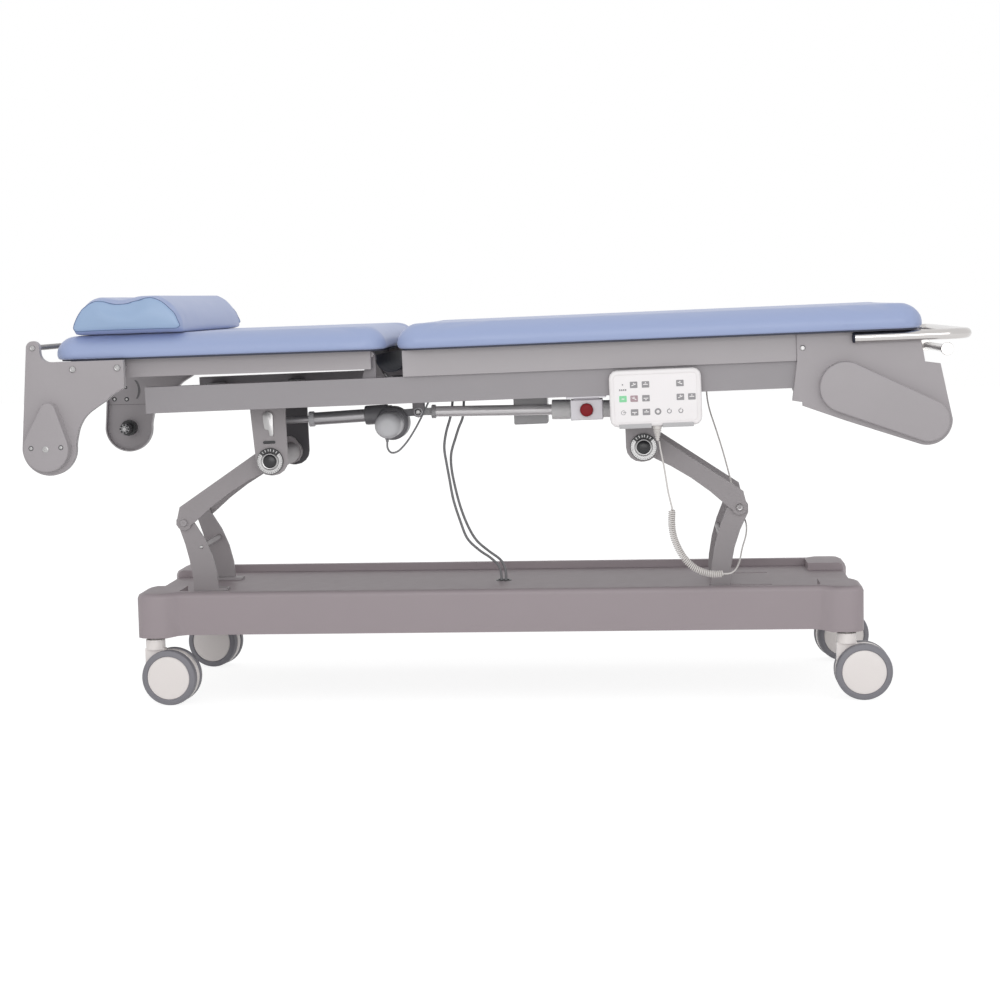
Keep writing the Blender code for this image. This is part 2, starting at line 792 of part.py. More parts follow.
def drawn_in(points, distance):
    """Move each side of a closed counter-clockwise outline inwards."""
    result = []
    count = len(points)
    for index in range(count):
        before = Vector(points[index - 1])
        here = Vector(points[index])
        after = Vector(points[(index + 1) % count])
        first = (here - before).normalized()
        second = (after - here).normalized()
        first_normal = Vector((-first.y, first.x))
        second_normal = Vector((-second.y, second.x))
        bisector = (first_normal + second_normal).normalized()
        reach = distance / max(bisector.dot(first_normal), 0.3)
        result.append(tuple(here + bisector * reach))
    return result


def mirrored(points, facing):
    """Turn an outline round for the end that faces the other way."""
    if facing > 0:
        return list(points)
    return [(-a, b) for a, b in reversed(points)]


def smooth_route(route, spacing):
    """Points a given step apart on one smooth curve through a route's own points."""
    knots = [Vector(point) for point in route]
    ends = [2 * knots[0] - knots[1]] + knots + [2 * knots[-1] - knots[-2]]
    fine = []
    pieces = 24
    for index in range(1, len(ends) - 2):
        a, b, c, d = ends[index - 1:index + 3]
        for step in range(pieces):
            t = step / pieces
            blend = 2 * b + (c - a) * t + (2 * a - 5 * b + 4 * c - d) * t * t
            blend += (3 * b - a - 3 * c + d) * t * t * t
            fine.append(blend / 2)
    fine.append(knots[-1])
    lengths = [0.0]
    for before, after in zip(fine, fine[1:]):
        lengths.append(lengths[-1] + (after - before).length)
    count = max(2, round(lengths[-1] / spacing))
    points = []
    place_at = 0
    for step in range(count + 1):
        target = lengths[-1] * step / count
        while place_at < len(lengths) - 2 and lengths[place_at + 1] < target:
            place_at += 1
        gap = lengths[place_at + 1] - lengths[place_at]
        share = (target - lengths[place_at]) / gap
        points.append(fine[place_at].lerp(fine[place_at + 1], share))
    return points


def trimmed(points, gap):
    """Pull the first and last point back, so that the tube's ends stay clear."""
    start = points[0] + (points[1] - points[0]).normalized() * gap
    end = points[-1] + (points[-2] - points[-1]).normalized() * gap
    return [start] + points[1:-1] + [end]


def tube(points, radius, resolution):
    """Make a round tube along points, as a curve with filled caps."""
    data = bpy.data.curves.new("tube", "CURVE")
    data.dimensions = "3D"
    data.bevel_depth = radius
    data.bevel_resolution = resolution
    data.use_fill_caps = True
    spline = data.splines.new("POLY")
    spline.points.add(len(points) - 1)
    for index, point in enumerate(points):
        spline.points[index].co = (*point, 1)
    piece = bpy.data.objects.new("tube", data)
    bpy.context.collection.objects.link(piece)
    return piece


def base_outline(inset):
    """Plan outline of the base cover, with its four corner boxes, drawn in by inset."""
    end_x = BASE_LENGTH / 2 - END_INSET - inset
    outer_x = BASE_LENGTH / 2 - inset
    corner_y = BASE_WIDTH / 2 + CORNER_BULGE - inset
    side_y = BASE_WIDTH / 2 - inset
    inner_y = BASE_WIDTH / 2 + CORNER_BULGE - CORNER_DEPTH + inset
    inner_x = BASE_LENGTH / 2 - CORNER_LENGTH + inset
    radius = CORNER_RADIUS - inset
    quarter = [(end_x, inner_y - CORNER_BLEND), (outer_x, inner_y)]
    quarter += arc((outer_x - radius, corner_y - radius), radius, 0, 90, ARC_STEPS - 1)
    quarter += [(inner_x, corner_y), (inner_x - CORNER_BLEND, side_y)]
    left = [(-x, y) for x, y in reversed(quarter)]
    upper = quarter + left
    lower = [(-x, -y) for x, y in upper]
    return upper + lower


def base_shell(inset, low, high, channel_floor):
    """Block of the cover's outer or inner shape, with the channel along its top."""
    shell = prism(base_outline(inset), low, high, "Z")
    round_edges(shell, TOP_EDGE_RADIUS - inset, 2, lambda spot: spot.z > high - OVERRUN / 2)
    half = CHANNEL_HALF + inset
    end_half = half * END_RECESS_SHARE
    inner_x = BASE_LENGTH / 2 - CORNER_LENGTH - CORNER_BLEND + inset
    reach = BASE_LENGTH / 2 + OVERRUN
    middle = box((-inner_x, -half, channel_floor), (inner_x, half, high + OVERRUN))
    ends = box((-reach, -end_half, channel_floor), (reach, end_half, high + OVERRUN * 2))
    return cut(shell, middle, ends)


def build_base_cover(root):
    """Moulded cover of the base: a shell that is open underneath."""
    low = BASE_BOTTOM - CORNER_DROP
    cover = base_shell(0, low, BASE_TOP, RECESS_TOP)
    hollow = base_shell(COVER_WALL, low - OVERRUN, BASE_TOP - COVER_WALL, RECESS_TOP - COVER_WALL)
    cut(cover, hollow)
    reach = BASE_LENGTH / 2 - CORNER_LENGTH
    lift = reach - CORNER_BLEND * 2
    half = BASE_WIDTH / 2 + CORNER_BULGE + OVERRUN
    underside = [(-reach, low - OVERRUN), (reach, low - OVERRUN), (reach, low), (lift, BASE_BOTTOM)]
    underside += [(-lift, BASE_BOTTOM), (-reach, low)]
    cut(cover, prism(underside, -half, half))
    cut(cover, rod(CABLE_HOLE_RADIUS, FRAME_TOP, BASE_TOP, "Z", (0, POWER_CABLE_ROUTES["a"][-1][1], 0)))
    slot_low, slot_high = post_slot_range()
    for side in SIDES.values():
        slot_width = (POST_INNER - SLOT_MARGIN, POST_OUTER + SLOT_MARGIN)
        cut(cover, side_box(side, (slot_low, slot_high), slot_width, (FRAME_TOP, BASE_TOP)))
    return place(cover, "base_cover", root, "base_plastic")


def post_slot_range():
    """Where the foot posts pass through the cover, along the base."""
    knee_x = foot_knee()[0]
    height = foot_knee()[1] - RECESS_TOP
    low = knee_x - FOOT_POST_INNER_SHARES[-1][0] * height - SLOT_MARGIN
    high = knee_x - FOOT_POST_OUTER_SHARES[-1][0] * height + CARRIAGE_TRAVEL + SLOT_MARGIN * 2
    return low, high


def head_pivot():
    """Place of the head arm's pivot in the couch, seen from the base."""
    across = LIFT_ARM_LENGTH * math.cos(LIFT_REST_ANGLE)
    up = LIFT_ARM_LENGTH * math.sin(LIFT_REST_ANGLE)
    return HEAD_KNEE_X + across, KNEE_HEIGHT + up


def foot_pivot():
    """Place of the foot arm's pivot in the couch, seen from the base."""
    x, z = head_pivot()
    return x + PIVOT_SPACING * math.cos(BED_TILT), z + PIVOT_SPACING * math.sin(BED_TILT)


def foot_knee():
    """Place of the foot arm's knee, seen from the base."""
    x, z = foot_pivot()
    across = LIFT_ARM_LENGTH * math.cos(LIFT_REST_ANGLE)
    up = LIFT_ARM_LENGTH * math.sin(LIFT_REST_ANGLE)
    return x + across, z - up


def crank_pin(facing):
    """Place of a crank's pin in the couch's own frame."""
    angle = CRANK_REST_ANGLE if facing > 0 else math.pi - CRANK_REST_ANGLE
    pivot_x = HEAD_PIVOT_X if facing > 0 else FOOT_PIVOT_X
    angle -= BED_TILT
    return pivot_x + CRANK_LENGTH * math.cos(angle), PIVOT_Z + CRANK_LENGTH * math.sin(angle)


def build_base_frame(root):
    """Welded frame under the cover, with the caster sockets and the carriage's runway."""
    half_length = CASTER_SPACING_X / 2
    half_width = CASTER_SPACING_Y / 2
    rail = FRAME_RAIL_SPACING / 2
    low = FRAME_TOP - FRAME_TUBE
    reach = half_length + FRAME_TUBE / 2
    frame = None
    for side in SIDES.values():
        beam = side_box(side, (-reach, reach), (rail - FRAME_TUBE / 2, rail + FRAME_TUBE / 2), (low, FRAME_TOP))
        frame = beam if frame is None else weld(frame, beam)
    middle = FRAME_TUBE * 2 - half_length
    end_half = half_width - SOCKET_RADIUS / 2
    crosses = ((-half_length, end_half), (half_length, end_half), (middle, rail), (0, rail))
    for x, half in crosses:
        low_corner = (x - FRAME_TUBE / 2, -half, low + WELD_DEPTH)
        high_corner = (x + FRAME_TUBE / 2, half, FRAME_TOP - WELD_DEPTH)
        if x == 0:
            low_corner = (x + CABLE_HOLE_RADIUS * 2, -half, low + WELD_DEPTH)
            high_corner = (low_corner[0] + FRAME_TUBE, half, FRAME_TOP - WELD_DEPTH)
        weld(frame, box(low_corner, high_corner))
    slot_low, slot_high = post_slot_range()
    ledge_low = carriage_bottom() - CLEARANCE - FRAME_LEDGE_THICKNESS
    for side in SIDES.values():
        inner = rail - FRAME_TUBE / 2 - FRAME_LEDGE
        ledge_y = (inner, rail)
        ledge_z = (ledge_low, ledge_low + FRAME_LEDGE_THICKNESS)
        ledge_x = (slot_low - CARRIAGE_LENGTH / 2, slot_high + CARRIAGE_LENGTH / 2)
        weld(frame, side_box(side, ledge_x, ledge_y, ledge_z))
        for end in (-1, 1):
            spot = (end * half_length, side * half_width, 0)
            bottom = BASE_BOTTOM - CORNER_DROP + CLEARANCE
            weld(frame, rod(SOCKET_RADIUS, bottom, FRAME_TOP - WELD_DEPTH / 2, "Z", spot, ROUND_STEPS))
            hole = hole_radius(STEM_PIN_RADIUS)
            cut(frame, rod(hole, bottom - OVERRUN, FRAME_TOP + OVERRUN, "Z", spot))
    return place(frame, "base_frame", root, "dark_paint")


def build_caster(root, end, side):
    """Twin-wheel caster: a swivel fork, and a pair of wheels on its axle."""
    end_sign = -1 if end == "head" else 1
    spot = (end_sign * CASTER_SPACING_X / 2, SIDES[side] * CASTER_SPACING_Y / 2, 0)
    swivel = empty(f"swivel_{end}_{side}", root, spot, turn_z=math.radians(CASTER_SWING[end, side]))
    stem_top = BASE_BOTTOM - CORNER_DROP - STEM_GAP
    fork_half = WHEEL_PAIR_WIDTH / 2 - WHEEL_WIDTH - CLEARANCE
    stem = [
        (0, STEM_FOOT_HEIGHT),
        (STEM_RADIUS, STEM_FOOT_HEIGHT),
        (STEM_RADIUS, stem_top - STEM_CHAMFER),
        (STEM_RADIUS - STEM_CHAMFER, stem_top),
        (STEM_PIN_RADIUS, stem_top),
        (STEM_PIN_RADIUS, FRAME_TOP - CLEARANCE),
        (0, FRAME_TOP - CLEARANCE),
    ]
    fork = turned(stem, "Z")
    outline = arc((CASTER_TRAIL, WHEEL_RADIUS), STEM_RADIUS, -110, 20, ARC_STEPS)
    outline += [(STEM_RADIUS, STEM_FOOT_HEIGHT + OVERRUN), (-STEM_RADIUS, STEM_FOOT_HEIGHT + OVERRUN)]
    outline += [(-STEM_RADIUS, WHEEL_RADIUS)]
    weld(fork, prism(outline, -fork_half, fork_half))
    axle_hole = rod(hole_radius(AXLE_RADIUS), -STEM_RADIUS, STEM_RADIUS, "Y", (CASTER_TRAIL, 0, WHEEL_RADIUS))
    cut(fork, axle_hole)
    place(fork, f"caster_fork_{end}_{side}", swivel, "white_plastic")
    half = WHEEL_PAIR_WIDTH / 2
    inner = half - WHEEL_WIDTH
    face = WHEEL_DISC_RADIUS
    outer_half = [
        (AXLE_RADIUS, inner),
        (WHEEL_RADIUS, inner),
        (WHEEL_RADIUS, half - WHEEL_EDGE),
        (face, half),
        (0, half),
    ]
    profile = [(radius, -along) for radius, along in reversed(outer_half)] + outer_half
    wheels = turned(profile, "Y", steps=WHEEL_STEPS)
    spot = (CASTER_TRAIL, 0, WHEEL_RADIUS)
    place(wheels, f"caster_wheels_{end}_{side}", swivel, "white_plastic", spot)


def post_outline(inner_shares, outer_shares, height, facing):
    """Outline of a curved post below its knee, from its edges and its eye."""
    inner = [(a * height, b * height) for a, b in inner_shares]
    outer = [(a * height, b * height) for a, b in outer_shares]
    outline = arc_through(inner[2], inner[1], inner[0], ARC_STEPS)
    outline += arc((0, 0), POST_EYE_RADIUS, 0, 195, ARC_STEPS + 2)
    outline += arc_through(outer[0], outer[1], outer[2], ARC_STEPS)
    return mirrored(outline, facing)


def post_pair(inner_shares, outer_shares, height, facing, foot_drop):
    """Two curved posts with their knee pins, and the bar that ties them."""
    outline = post_outline(inner_shares, outer_shares, height, facing)
    half = POST_INNER + WELD_DEPTH
    tie_spot = (facing * height * POST_TIE_SHARES[0], 0, height * POST_TIE_SHARES[1])
    pair = rod(POST_TIE_RADIUS, -half, half, "Y", tie_spot)
    pin_end = ARM_OUTER + CLEARANCE
    feet = sorted((facing * inner_shares[-1][0] * height, facing * outer_shares[-1][0] * height))
    for side in SIDES.values():
        low, high = sorted((side * POST_INNER, side * POST_OUTER))
        weld(pair, prism(outline, low, high))
        if foot_drop:
            weld(pair, box((feet[0], low, -height - foot_drop), (feet[1], high, WELD_DEPTH - height)))
        weld(pair, side_rod(side, KNEE_PIN_RADIUS, (POST_OUTER - WELD_DEPTH, pin_end + WELD_DEPTH), 0, 0))
        weld(pair, side_rod(side, KNEE_BOLT_RADIUS, (pin_end, pin_end + KNEE_BOLT_HEIGHT), 0, 0))
    return pair, feet


def build_head_posts(root):
    """Pair of posts bolted down on the head end of the base."""
    knee = empty("head_knee", root, (HEAD_KNEE_X, 0, KNEE_HEIGHT))
    height = KNEE_HEIGHT - RECESS_TOP - CLEARANCE
    posts, feet = post_pair(HEAD_POST_INNER_SHARES, HEAD_POST_OUTER_SHARES, height, 1, 0)
    for side in SIDES.values():
        foot_x = (feet[0], feet[1] + POST_FOOT_MARGIN)
        foot_y = (POST_INNER - POST_FOOT_MARGIN, POST_OUTER)
        weld(posts, side_box(side, foot_x, foot_y, (-height, POST_FOOT_THICKNESS - height)))
    return place(posts, "head_posts", knee, "grey_paint")


def build_foot_posts(root):
    """Pair of posts on the carriage that slides inside the base."""
    x, z = foot_knee()
    knee = empty("foot_knee", root, (x, 0, z))
    height = z - RECESS_TOP
    drop = RECESS_TOP - carriage_bottom() - CARRIAGE_HEIGHT / 2
    posts, feet = post_pair(FOOT_POST_INNER_SHARES, FOOT_POST_OUTER_SHARES, height, -1, drop)
    middle = sum(feet) / 2
    half_y = FRAME_RAIL_SPACING / 2 - FRAME_TUBE / 2 - CLEARANCE
    bottom = carriage_bottom() - z
    low = (middle - CARRIAGE_LENGTH / 2, -half_y, bottom)
    high = (middle + CARRIAGE_LENGTH / 2, half_y, bottom + CARRIAGE_HEIGHT)
    weld(posts, box(low, high))
    return place(posts, "foot_posts", knee, "grey_paint")


def carriage_bottom():
    """Underside of the carriage that the foot posts stand on."""
    return FRAME_TOP - CLEARANCE - CARRIAGE_HEIGHT


def build_lift_arm(root, name, knee, facing):
    """Pair of lift arms on a torque tube, with the crank that the motor pushes."""
    length = LIFT_ARM_LENGTH
    axis = empty(f"{name}_axis", root, (knee[0], 0, knee[1]), turn_y=-facing * LIFT_REST_ANGLE)
    shoulder = ARM_SHOULDER
    belly = [(a * length, b * length) for a, b in ARM_BELLY_SHARES]
    outline = arc((0, 0), ARM_EYE_RADIUS, ARM_CHAMFER_ANGLE, 310, ARC_STEPS + 2)
    pivot_round = arc((length, 0), ARM_PIVOT_RADIUS, 205, 360, ARC_STEPS)
    outline += arc_through(belly[0], belly[1], pivot_round[0], ARC_STEPS)[:-1]
    outline += pivot_round
    outline += arc((length + ARM_PIVOT_RADIUS - shoulder, ARM_TOP_OFFSET - shoulder), shoulder, 0, 90, ARC_STEPS - 2)
    outline.append((ARM_CHAMFER_X, ARM_TOP_OFFSET))
    outline = mirrored(outline, facing)
    pivot = (facing * length, 0, 0)
    pin_half = BRACKET_SPACING / 2 + BRACKET_GAUGE
    half_hub = [(0, pin_half), (PIVOT_PIN_RADIUS, pin_half), (PIVOT_PIN_RADIUS, HUB_HALF), (TORQUE_TUBE_RADIUS, HUB_HALF)]
    hub = [(radius, -along) for radius, along in half_hub] + list(reversed(half_hub))
    arm = turned(hub, "Y", pivot)
    crank_turn = CRANK_REST_ANGLE - LIFT_REST_ANGLE
    reach_x = facing * (length + CRANK_LENGTH * math.cos(crank_turn))
    crank_end = (reach_x, CRANK_LENGTH * math.sin(crank_turn))
    link = link_outline((pivot[0], 0), CRANK_HUB_RADIUS, crank_end, CRANK_EYE_RADIUS)
    for side in SIDES.values():
        low, high = sorted((side * ARM_SPACING / 2, side * ARM_OUTER))
        plate = prism(outline, low, high)
        cut(plate, rod(hole_radius(KNEE_PIN_RADIUS), low - OVERRUN, high + OVERRUN))
        weld(arm, plate)
        low, high = sorted((side * CRANK_INNER, side * (CRANK_INNER + CRANK_GAUGE)))
        weld(arm, prism(link, low, high))
    half = CRANK_INNER + WELD_DEPTH
    weld(arm, rod(CRANK_PIN_RADIUS, -half, half, "Y", (crank_end[0], 0, crank_end[1])))
    return place(arm, name, axis, "grey_paint")


def hinge_pin_place():
    """Height and place of the backrest's hinge in the couch's own frame."""
    return HINGE_X, HINGE_HEIGHT


def lever_pin():
    """Place of the backrest lever's pin in the couch's own frame."""
    across = BACK_LEVER_X
    up = BACK_MOTOR_AXIS - HINGE_HEIGHT
    x = HINGE_X + across * math.cos(BACK_TILT) + up * math.sin(BACK_TILT)
    return x, HINGE_HEIGHT - across * math.sin(BACK_TILT) + up * math.cos(BACK_TILT)


def cross_tube(x, width, low, height):
    """Tube across the couch, let into both beams."""
    half = BEAM_INNER + WELD_DEPTH
    return box((x - width / 2, -half, low), (x + width / 2, half, low + height))


def build_lower_frame(couch):
    """Welded lower frame of the couch: beams, crosses, hinge posts and motor clevises."""
    frame = cross_tube(HEAD_PIVOT_X, CROSS_WIDTH, CROSS_RISE, CROSS_HEIGHT)
    beam_z = (0, BEAM_HEIGHT)
    for side in SIDES.values():
        weld(frame, side_box(side, (BEAM_HEAD_X, BEAM_FOOT_X), (BEAM_INNER, BEAM_OUTER), beam_z))
    tall = (HEAD_CROSS_X, FOOT_PIVOT_X, BEAM_FOOT_X - CROSS_WIDTH)
    for x in tall:
        weld(frame, cross_tube(x, CROSS_WIDTH, CROSS_RISE, CROSS_HEIGHT))
    for x in (CLEVIS_X, CONTROL_BOX_X, TAIL_CROSS_X):
        weld(frame, cross_tube(x, CROSS_WIDTH, CROSS_RISE, FLAT_CROSS_HEIGHT))
    tray_head = CLEVIS_X + CROSS_WIDTH / 2 - WELD_DEPTH
    half = BEAM_INNER + WELD_DEPTH
    tray_top = CROSS_RISE + TRAY_GAUGE
    weld(frame, box((tray_head, -half, CROSS_RISE), (TRAY_FOOT_X, half, tray_top)))
    for side in SIDES.values():
        post_y = (BEAM_INNER, BEAM_INNER + HINGE_POST_GAUGE)
        foot = HINGE_POST_LENGTH / 2
        top = HINGE_EYE_RADIUS
        outline = [(HINGE_X - foot, BEAM_HEIGHT - WELD_DEPTH), (HINGE_X + top, BEAM_HEIGHT - WELD_DEPTH)]
        outline += arc((HINGE_X, HINGE_HEIGHT), top, 0, 180, ARC_STEPS)
        low, high = sorted(side * value for value in post_y)
        post = prism(outline, low, high)
        hole = hole_radius(HINGE_PIN_RADIUS)
        cut(post, rod(hole, low - OVERRUN, high + OVERRUN, "Y", (HINGE_X, 0, HINGE_HEIGHT)))
        weld(frame, post)
        low, high = sorted((side * (CLEVIS_EYE_WIDTH + CLEARANCE * 2), side * (CLEVIS_EYE_WIDTH + CLEVIS_GAUGE)))
        root_z = CROSS_RISE + WELD_DEPTH
        lug = arc((CLEVIS_X, CLEVIS_Z), CLEVIS_RADIUS, 180, 360, ARC_STEPS)
        lug += [(CLEVIS_X + CLEVIS_RADIUS, root_z), (CLEVIS_X - CLEVIS_RADIUS, root_z)]
        weld(frame, prism(lug, low, high))
        low, high = sorted((side * (CLEVIS_EYE_WIDTH / 2 + CLEARANCE), side * (CLEVIS_EYE_WIDTH / 2 + CLEVIS_GAUGE)))
        foot_x = CONTROL_BOX_X + CROSS_WIDTH / 2
        lug_root = CROSS_RISE + FLAT_CROSS_HEIGHT - WELD_DEPTH
        lug = [(BACK_PIVOT_X - CLEVIS_EYE_RADIUS, lug_root), (foot_x, lug_root)]
        lug += arc((BACK_PIVOT_X, BACK_MOTOR_AXIS), CLEVIS_EYE_RADIUS, 0, 180, ARC_STEPS)
        weld(frame, prism(lug, low, high))
    clevis_half = CLEVIS_EYE_WIDTH + CLEVIS_GAUGE / 2
    weld(frame, rod(CLEVIS_PIN_RADIUS, -clevis_half, clevis_half, "Y", (CLEVIS_X, 0, CLEVIS_Z)))
    half = CLEVIS_EYE_WIDTH / 2 + CLEVIS_GAUGE / 2
    weld(frame, rod(CLEVIS_PIN_RADIUS, -half, half, "Y", (BACK_PIVOT_X, 0, BACK_MOTOR_AXIS)))
    return place(frame, "lower_frame", couch, "grey_paint")


def build_main_frame(couch):
    """Upper frame under the long cushion, with the arm of the guide roller."""
    slat_low = RAIL_TOP - SLAT_HEIGHT
    half = RAIL_INNER + WELD_DEPTH
    first = RAIL_HEAD_X + SLAT_WIDTH / 2
    last = BEAM_FOOT_X - SLAT_WIDTH / 2
    frame = box((first - SLAT_WIDTH / 2, -half, slat_low), (first + SLAT_WIDTH / 2, half, RAIL_TOP - WELD_DEPTH))
    middle = (first + last) / 2
    weld(frame, box((middle - SLAT_WIDTH / 2, -half, slat_low), (middle + SLAT_WIDTH / 2, half, RAIL_TOP - WELD_DEPTH)))
    foot_half = BEAM_INNER + WELD_DEPTH
    foot_low = (last - SLAT_WIDTH / 2, -foot_half, slat_low)
    weld(frame, box(foot_low, (last + SLAT_WIDTH / 2, foot_half, RAIL_TOP - WELD_DEPTH)))
    for side in SIDES.values():
        rail_z = (RAIL_BOTTOM, RAIL_TOP)
        rail = side_box(side, (RAIL_HEAD_X, RAIL_FOOT_X), (RAIL_INNER, RAIL_OUTER), rail_z)
        joint_x = RAIL_FOOT_X - RAIL_WIDTH
        inner = side_box(side, (joint_x, BEAM_FOOT_X), (BEAM_INNER, BEAM_OUTER), rail_z)
        weld(frame, rail, inner)
    arm_y = roller_far_end() + CLEARANCE
    reach = ROLLER_ARM_WIDTH / 2
    outline = [(last - reach, RAIL_TOP - SLAT_HEIGHT / 2), (last - reach, ROLLER_HEIGHT - reach)]
    outline += arc((ROLLER_X, ROLLER_HEIGHT), reach, -90, 90, ARC_STEPS)
    outline += [(last + reach * 2, ROLLER_HEIGHT + reach), (last + reach, RAIL_TOP - SLAT_HEIGHT / 2)]
    weld(frame, prism(outline, arm_y, arm_y + ROLLER_ARM_GAUGE))
    axle_start = roller_far_end() - ROLLER_LENGTH + ROLLER_DISC_WIDTH * 2
    weld(frame, rod(ROLLER_AXLE_RADIUS, axle_start, arm_y + WELD_DEPTH, "Y", (ROLLER_X, 0, ROLLER_HEIGHT)))
    return place(frame, "main_frame", couch, "grey_paint")


def roller_far_end():
    """Where the guide roller ends, across the couch."""
    return ROLLER_LENGTH / 2


def build_guide_roller(couch):
    """Chrome guide roller that turns on its axle at the foot end."""
    spot = (ROLLER_X, 0, ROLLER_HEIGHT)
    axis = empty("guide_roller_axis", couch, spot)
    far = roller_far_end()
    near = far - ROLLER_LENGTH
    bore = hole_radius(ROLLER_AXLE_RADIUS, ROUND_STEPS)
    profile = [
        (0, near),
        (ROLLER_DISC_RADIUS, near),
        (ROLLER_DISC_RADIUS, near + ROLLER_DISC_WIDTH),
        (ROLLER_RADIUS, near + ROLLER_DISC_WIDTH),
        (ROLLER_RADIUS, far - ROLLER_DISC_WIDTH),
        (ROLLER_DISC_RADIUS, far - ROLLER_DISC_WIDTH),
        (ROLLER_DISC_RADIUS, far),
        (bore, far),
        (bore, near + ROLLER_DISC_WIDTH),
        (0, near + ROLLER_DISC_WIDTH),
    ]
    return place(turned(profile), "guide_roller", axis, "chrome")


def build_lift_bracket(couch, end, side):
    """Plate that hangs a lift arm's pivot under the couch."""
    facing = 1 if end == "head" else -1
    pivot_x = HEAD_PIVOT_X if end == "head" else FOOT_PIVOT_X
    top = CROSS_RISE - CLEARANCE
    drop = top - PIVOT_Z
    outer = BRACKET_OUTER_REACH
    outline = arc((0, 0), outer, 180, 270, ARC_STEPS)
    outline += arc((BRACKET_INNER_REACH - outer, 0), outer, 270, 360, ARC_STEPS)
    outline += [(BRACKET_INNER_REACH, drop), (-BRACKET_TOP_REACH, drop)]
    outline = [(x + pivot_x, z + PIVOT_Z) for x, z in mirrored(outline, facing)]
    sign = SIDES[side]
    inner = BRACKET_SPACING / 2
    low, high = sorted((sign * inner, sign * (inner + BRACKET_GAUGE)))
    bracket = prism(outline, low, high)
    edges = sorted((pivot_x + facing * BRACKET_INNER_REACH, pivot_x - facing * BRACKET_TOP_REACH))
    flange_y = (inner - BRACKET_FLANGE, inner + BRACKET_GAUGE / 2)
    weld(bracket, side_box(sign, edges, flange_y, (top - BRACKET_GAUGE, top)))
    hole = hole_radius(PIVOT_PIN_RADIUS, ROUND_STEPS)
    cut(bracket, rod(hole, low - OVERRUN, high + OVERRUN, "Y", (pivot_x, 0, PIVOT_Z), ROUND_STEPS))
    return place(bracket, f"lift_bracket_{end}_{side}", couch, "grey_paint")


def build_dial(couch, end):
    """Dial ring with a domed knob on the near bracket."""
    pivot_x = HEAD_PIVOT_X if end == "head" else FOOT_PIVOT_X
    back = BRACKET_SPACING / 2 + BRACKET_GAUGE + CLEARANCE
    step = DIAL_RING_HEIGHT / 6
    ring_inner = DIAL_RADIUS - DIAL_RING_WIDTH
    profile = [
        (0, back),
        (DIAL_RADIUS, back),
        (DIAL_RADIUS, back + DIAL_RING_HEIGHT - step),
        (DIAL_RADIUS - step, back + DIAL_RING_HEIGHT),
        (ring_inner, back + DIAL_RING_HEIGHT),
        (ring_inner, back + DIAL_RING_HEIGHT - step),
        (KNOB_RADIUS, back + DIAL_RING_HEIGHT - step),
        (KNOB_RADIUS, back + DIAL_HEIGHT - step * 2),
        (KNOB_RADIUS - step * 2, back + DIAL_HEIGHT - step / 2),
        (KNOB_RADIUS / 2, back + DIAL_HEIGHT),
        (0, back + DIAL_HEIGHT),
    ]
    profile = [(radius, -along) for radius, along in profile]
    dial = turned(profile, "Y", (pivot_x, 0, PIVOT_Z))
    return place(dial, f"tilt_dial_{end}", couch, "bright_steel")


def build_latch(couch):
    """Bright pointer plate on the head end's near bracket."""
    back = BRACKET_SPACING / 2 + BRACKET_GAUGE + CLEARANCE
    half = LATCH_WIDTH / 2
    top = -LATCH_DROP
    tip = top - LATCH_LENGTH
    outline = [(-half, top), (-half, tip + half), (0, tip), (half, tip + half), (half, top)]
    outline = [(x + HEAD_PIVOT_X, z) for x, z in outline]
    latch = prism(outline, -back - LATCH_GAUGE, -back)
    return place(latch, "tilt_pointer", couch, "bright_steel")


def motor_axis(couch, name, start, end):
    """Empty on a motor's pivot, with its x axis along the motor, and the pivots' distance."""
    slope = math.atan((end[1] - start[1]) / (end[0] - start[0]))
    axis = empty(name, couch, (start[0], 0, start[1]), turn_y=-slope)
    return axis, math.hypot(end[0] - start[0], end[1] - start[1])


def lift_stroke(facing):
    """How much a lift motor shortens over the lift's whole range."""
    angle = CRANK_REST_ANGLE if facing > 0 else math.pi - CRANK_REST_ANGLE
    pivot_x = HEAD_PIVOT_X if facing > 0 else FOOT_PIVOT_X
    lengths = []
    for turn in (0, LIFT_RANGE):
        here = angle - facing * turn - BED_TILT
        x = pivot_x + CRANK_LENGTH * math.cos(here)
        z = PIVOT_Z + CRANK_LENGTH * math.sin(here)
        lengths.append(math.hypot(x - CLEVIS_X, z - CLEVIS_Z))
    return lengths[0] - lengths[1]


def bored_eye(piece, x, radius, bore, low, high):
    """Add an eye with a bore to the flat neck of a rod or a housing."""
    weld(piece, rod(radius, low, high, "Y", (x, 0, 0), ROUND_STEPS))
    hole = bore / math.cos(math.pi / ROUND_STEPS)
    return cut(piece, rod(hole, low - OVERRUN, high + OVERRUN, "Y", (x, 0, 0), ROUND_STEPS))


def eye_rod(eye_x, tail_x, radius, eye_radius, bore, eye_width):
    """Round rod with a flat neck and a bored eye at its far end."""
    slider = rod(radius, eye_x + eye_radius + EYE_NECK, tail_x, "X", steps=ROUND_STEPS)
    half = eye_width / 2
    neck_y = half * NECK_WIDTH_SHARE
    neck_end = eye_x + eye_radius + EYE_NECK + WELD_DEPTH
    neck_z = radius * EYE_NECK_SHARE
    weld(slider, box((eye_x + WELD_DEPTH, -neck_y, -neck_z), (neck_end, neck_y, neck_z)))
    return bored_eye(slider, eye_x, eye_radius, bore, -half, half)


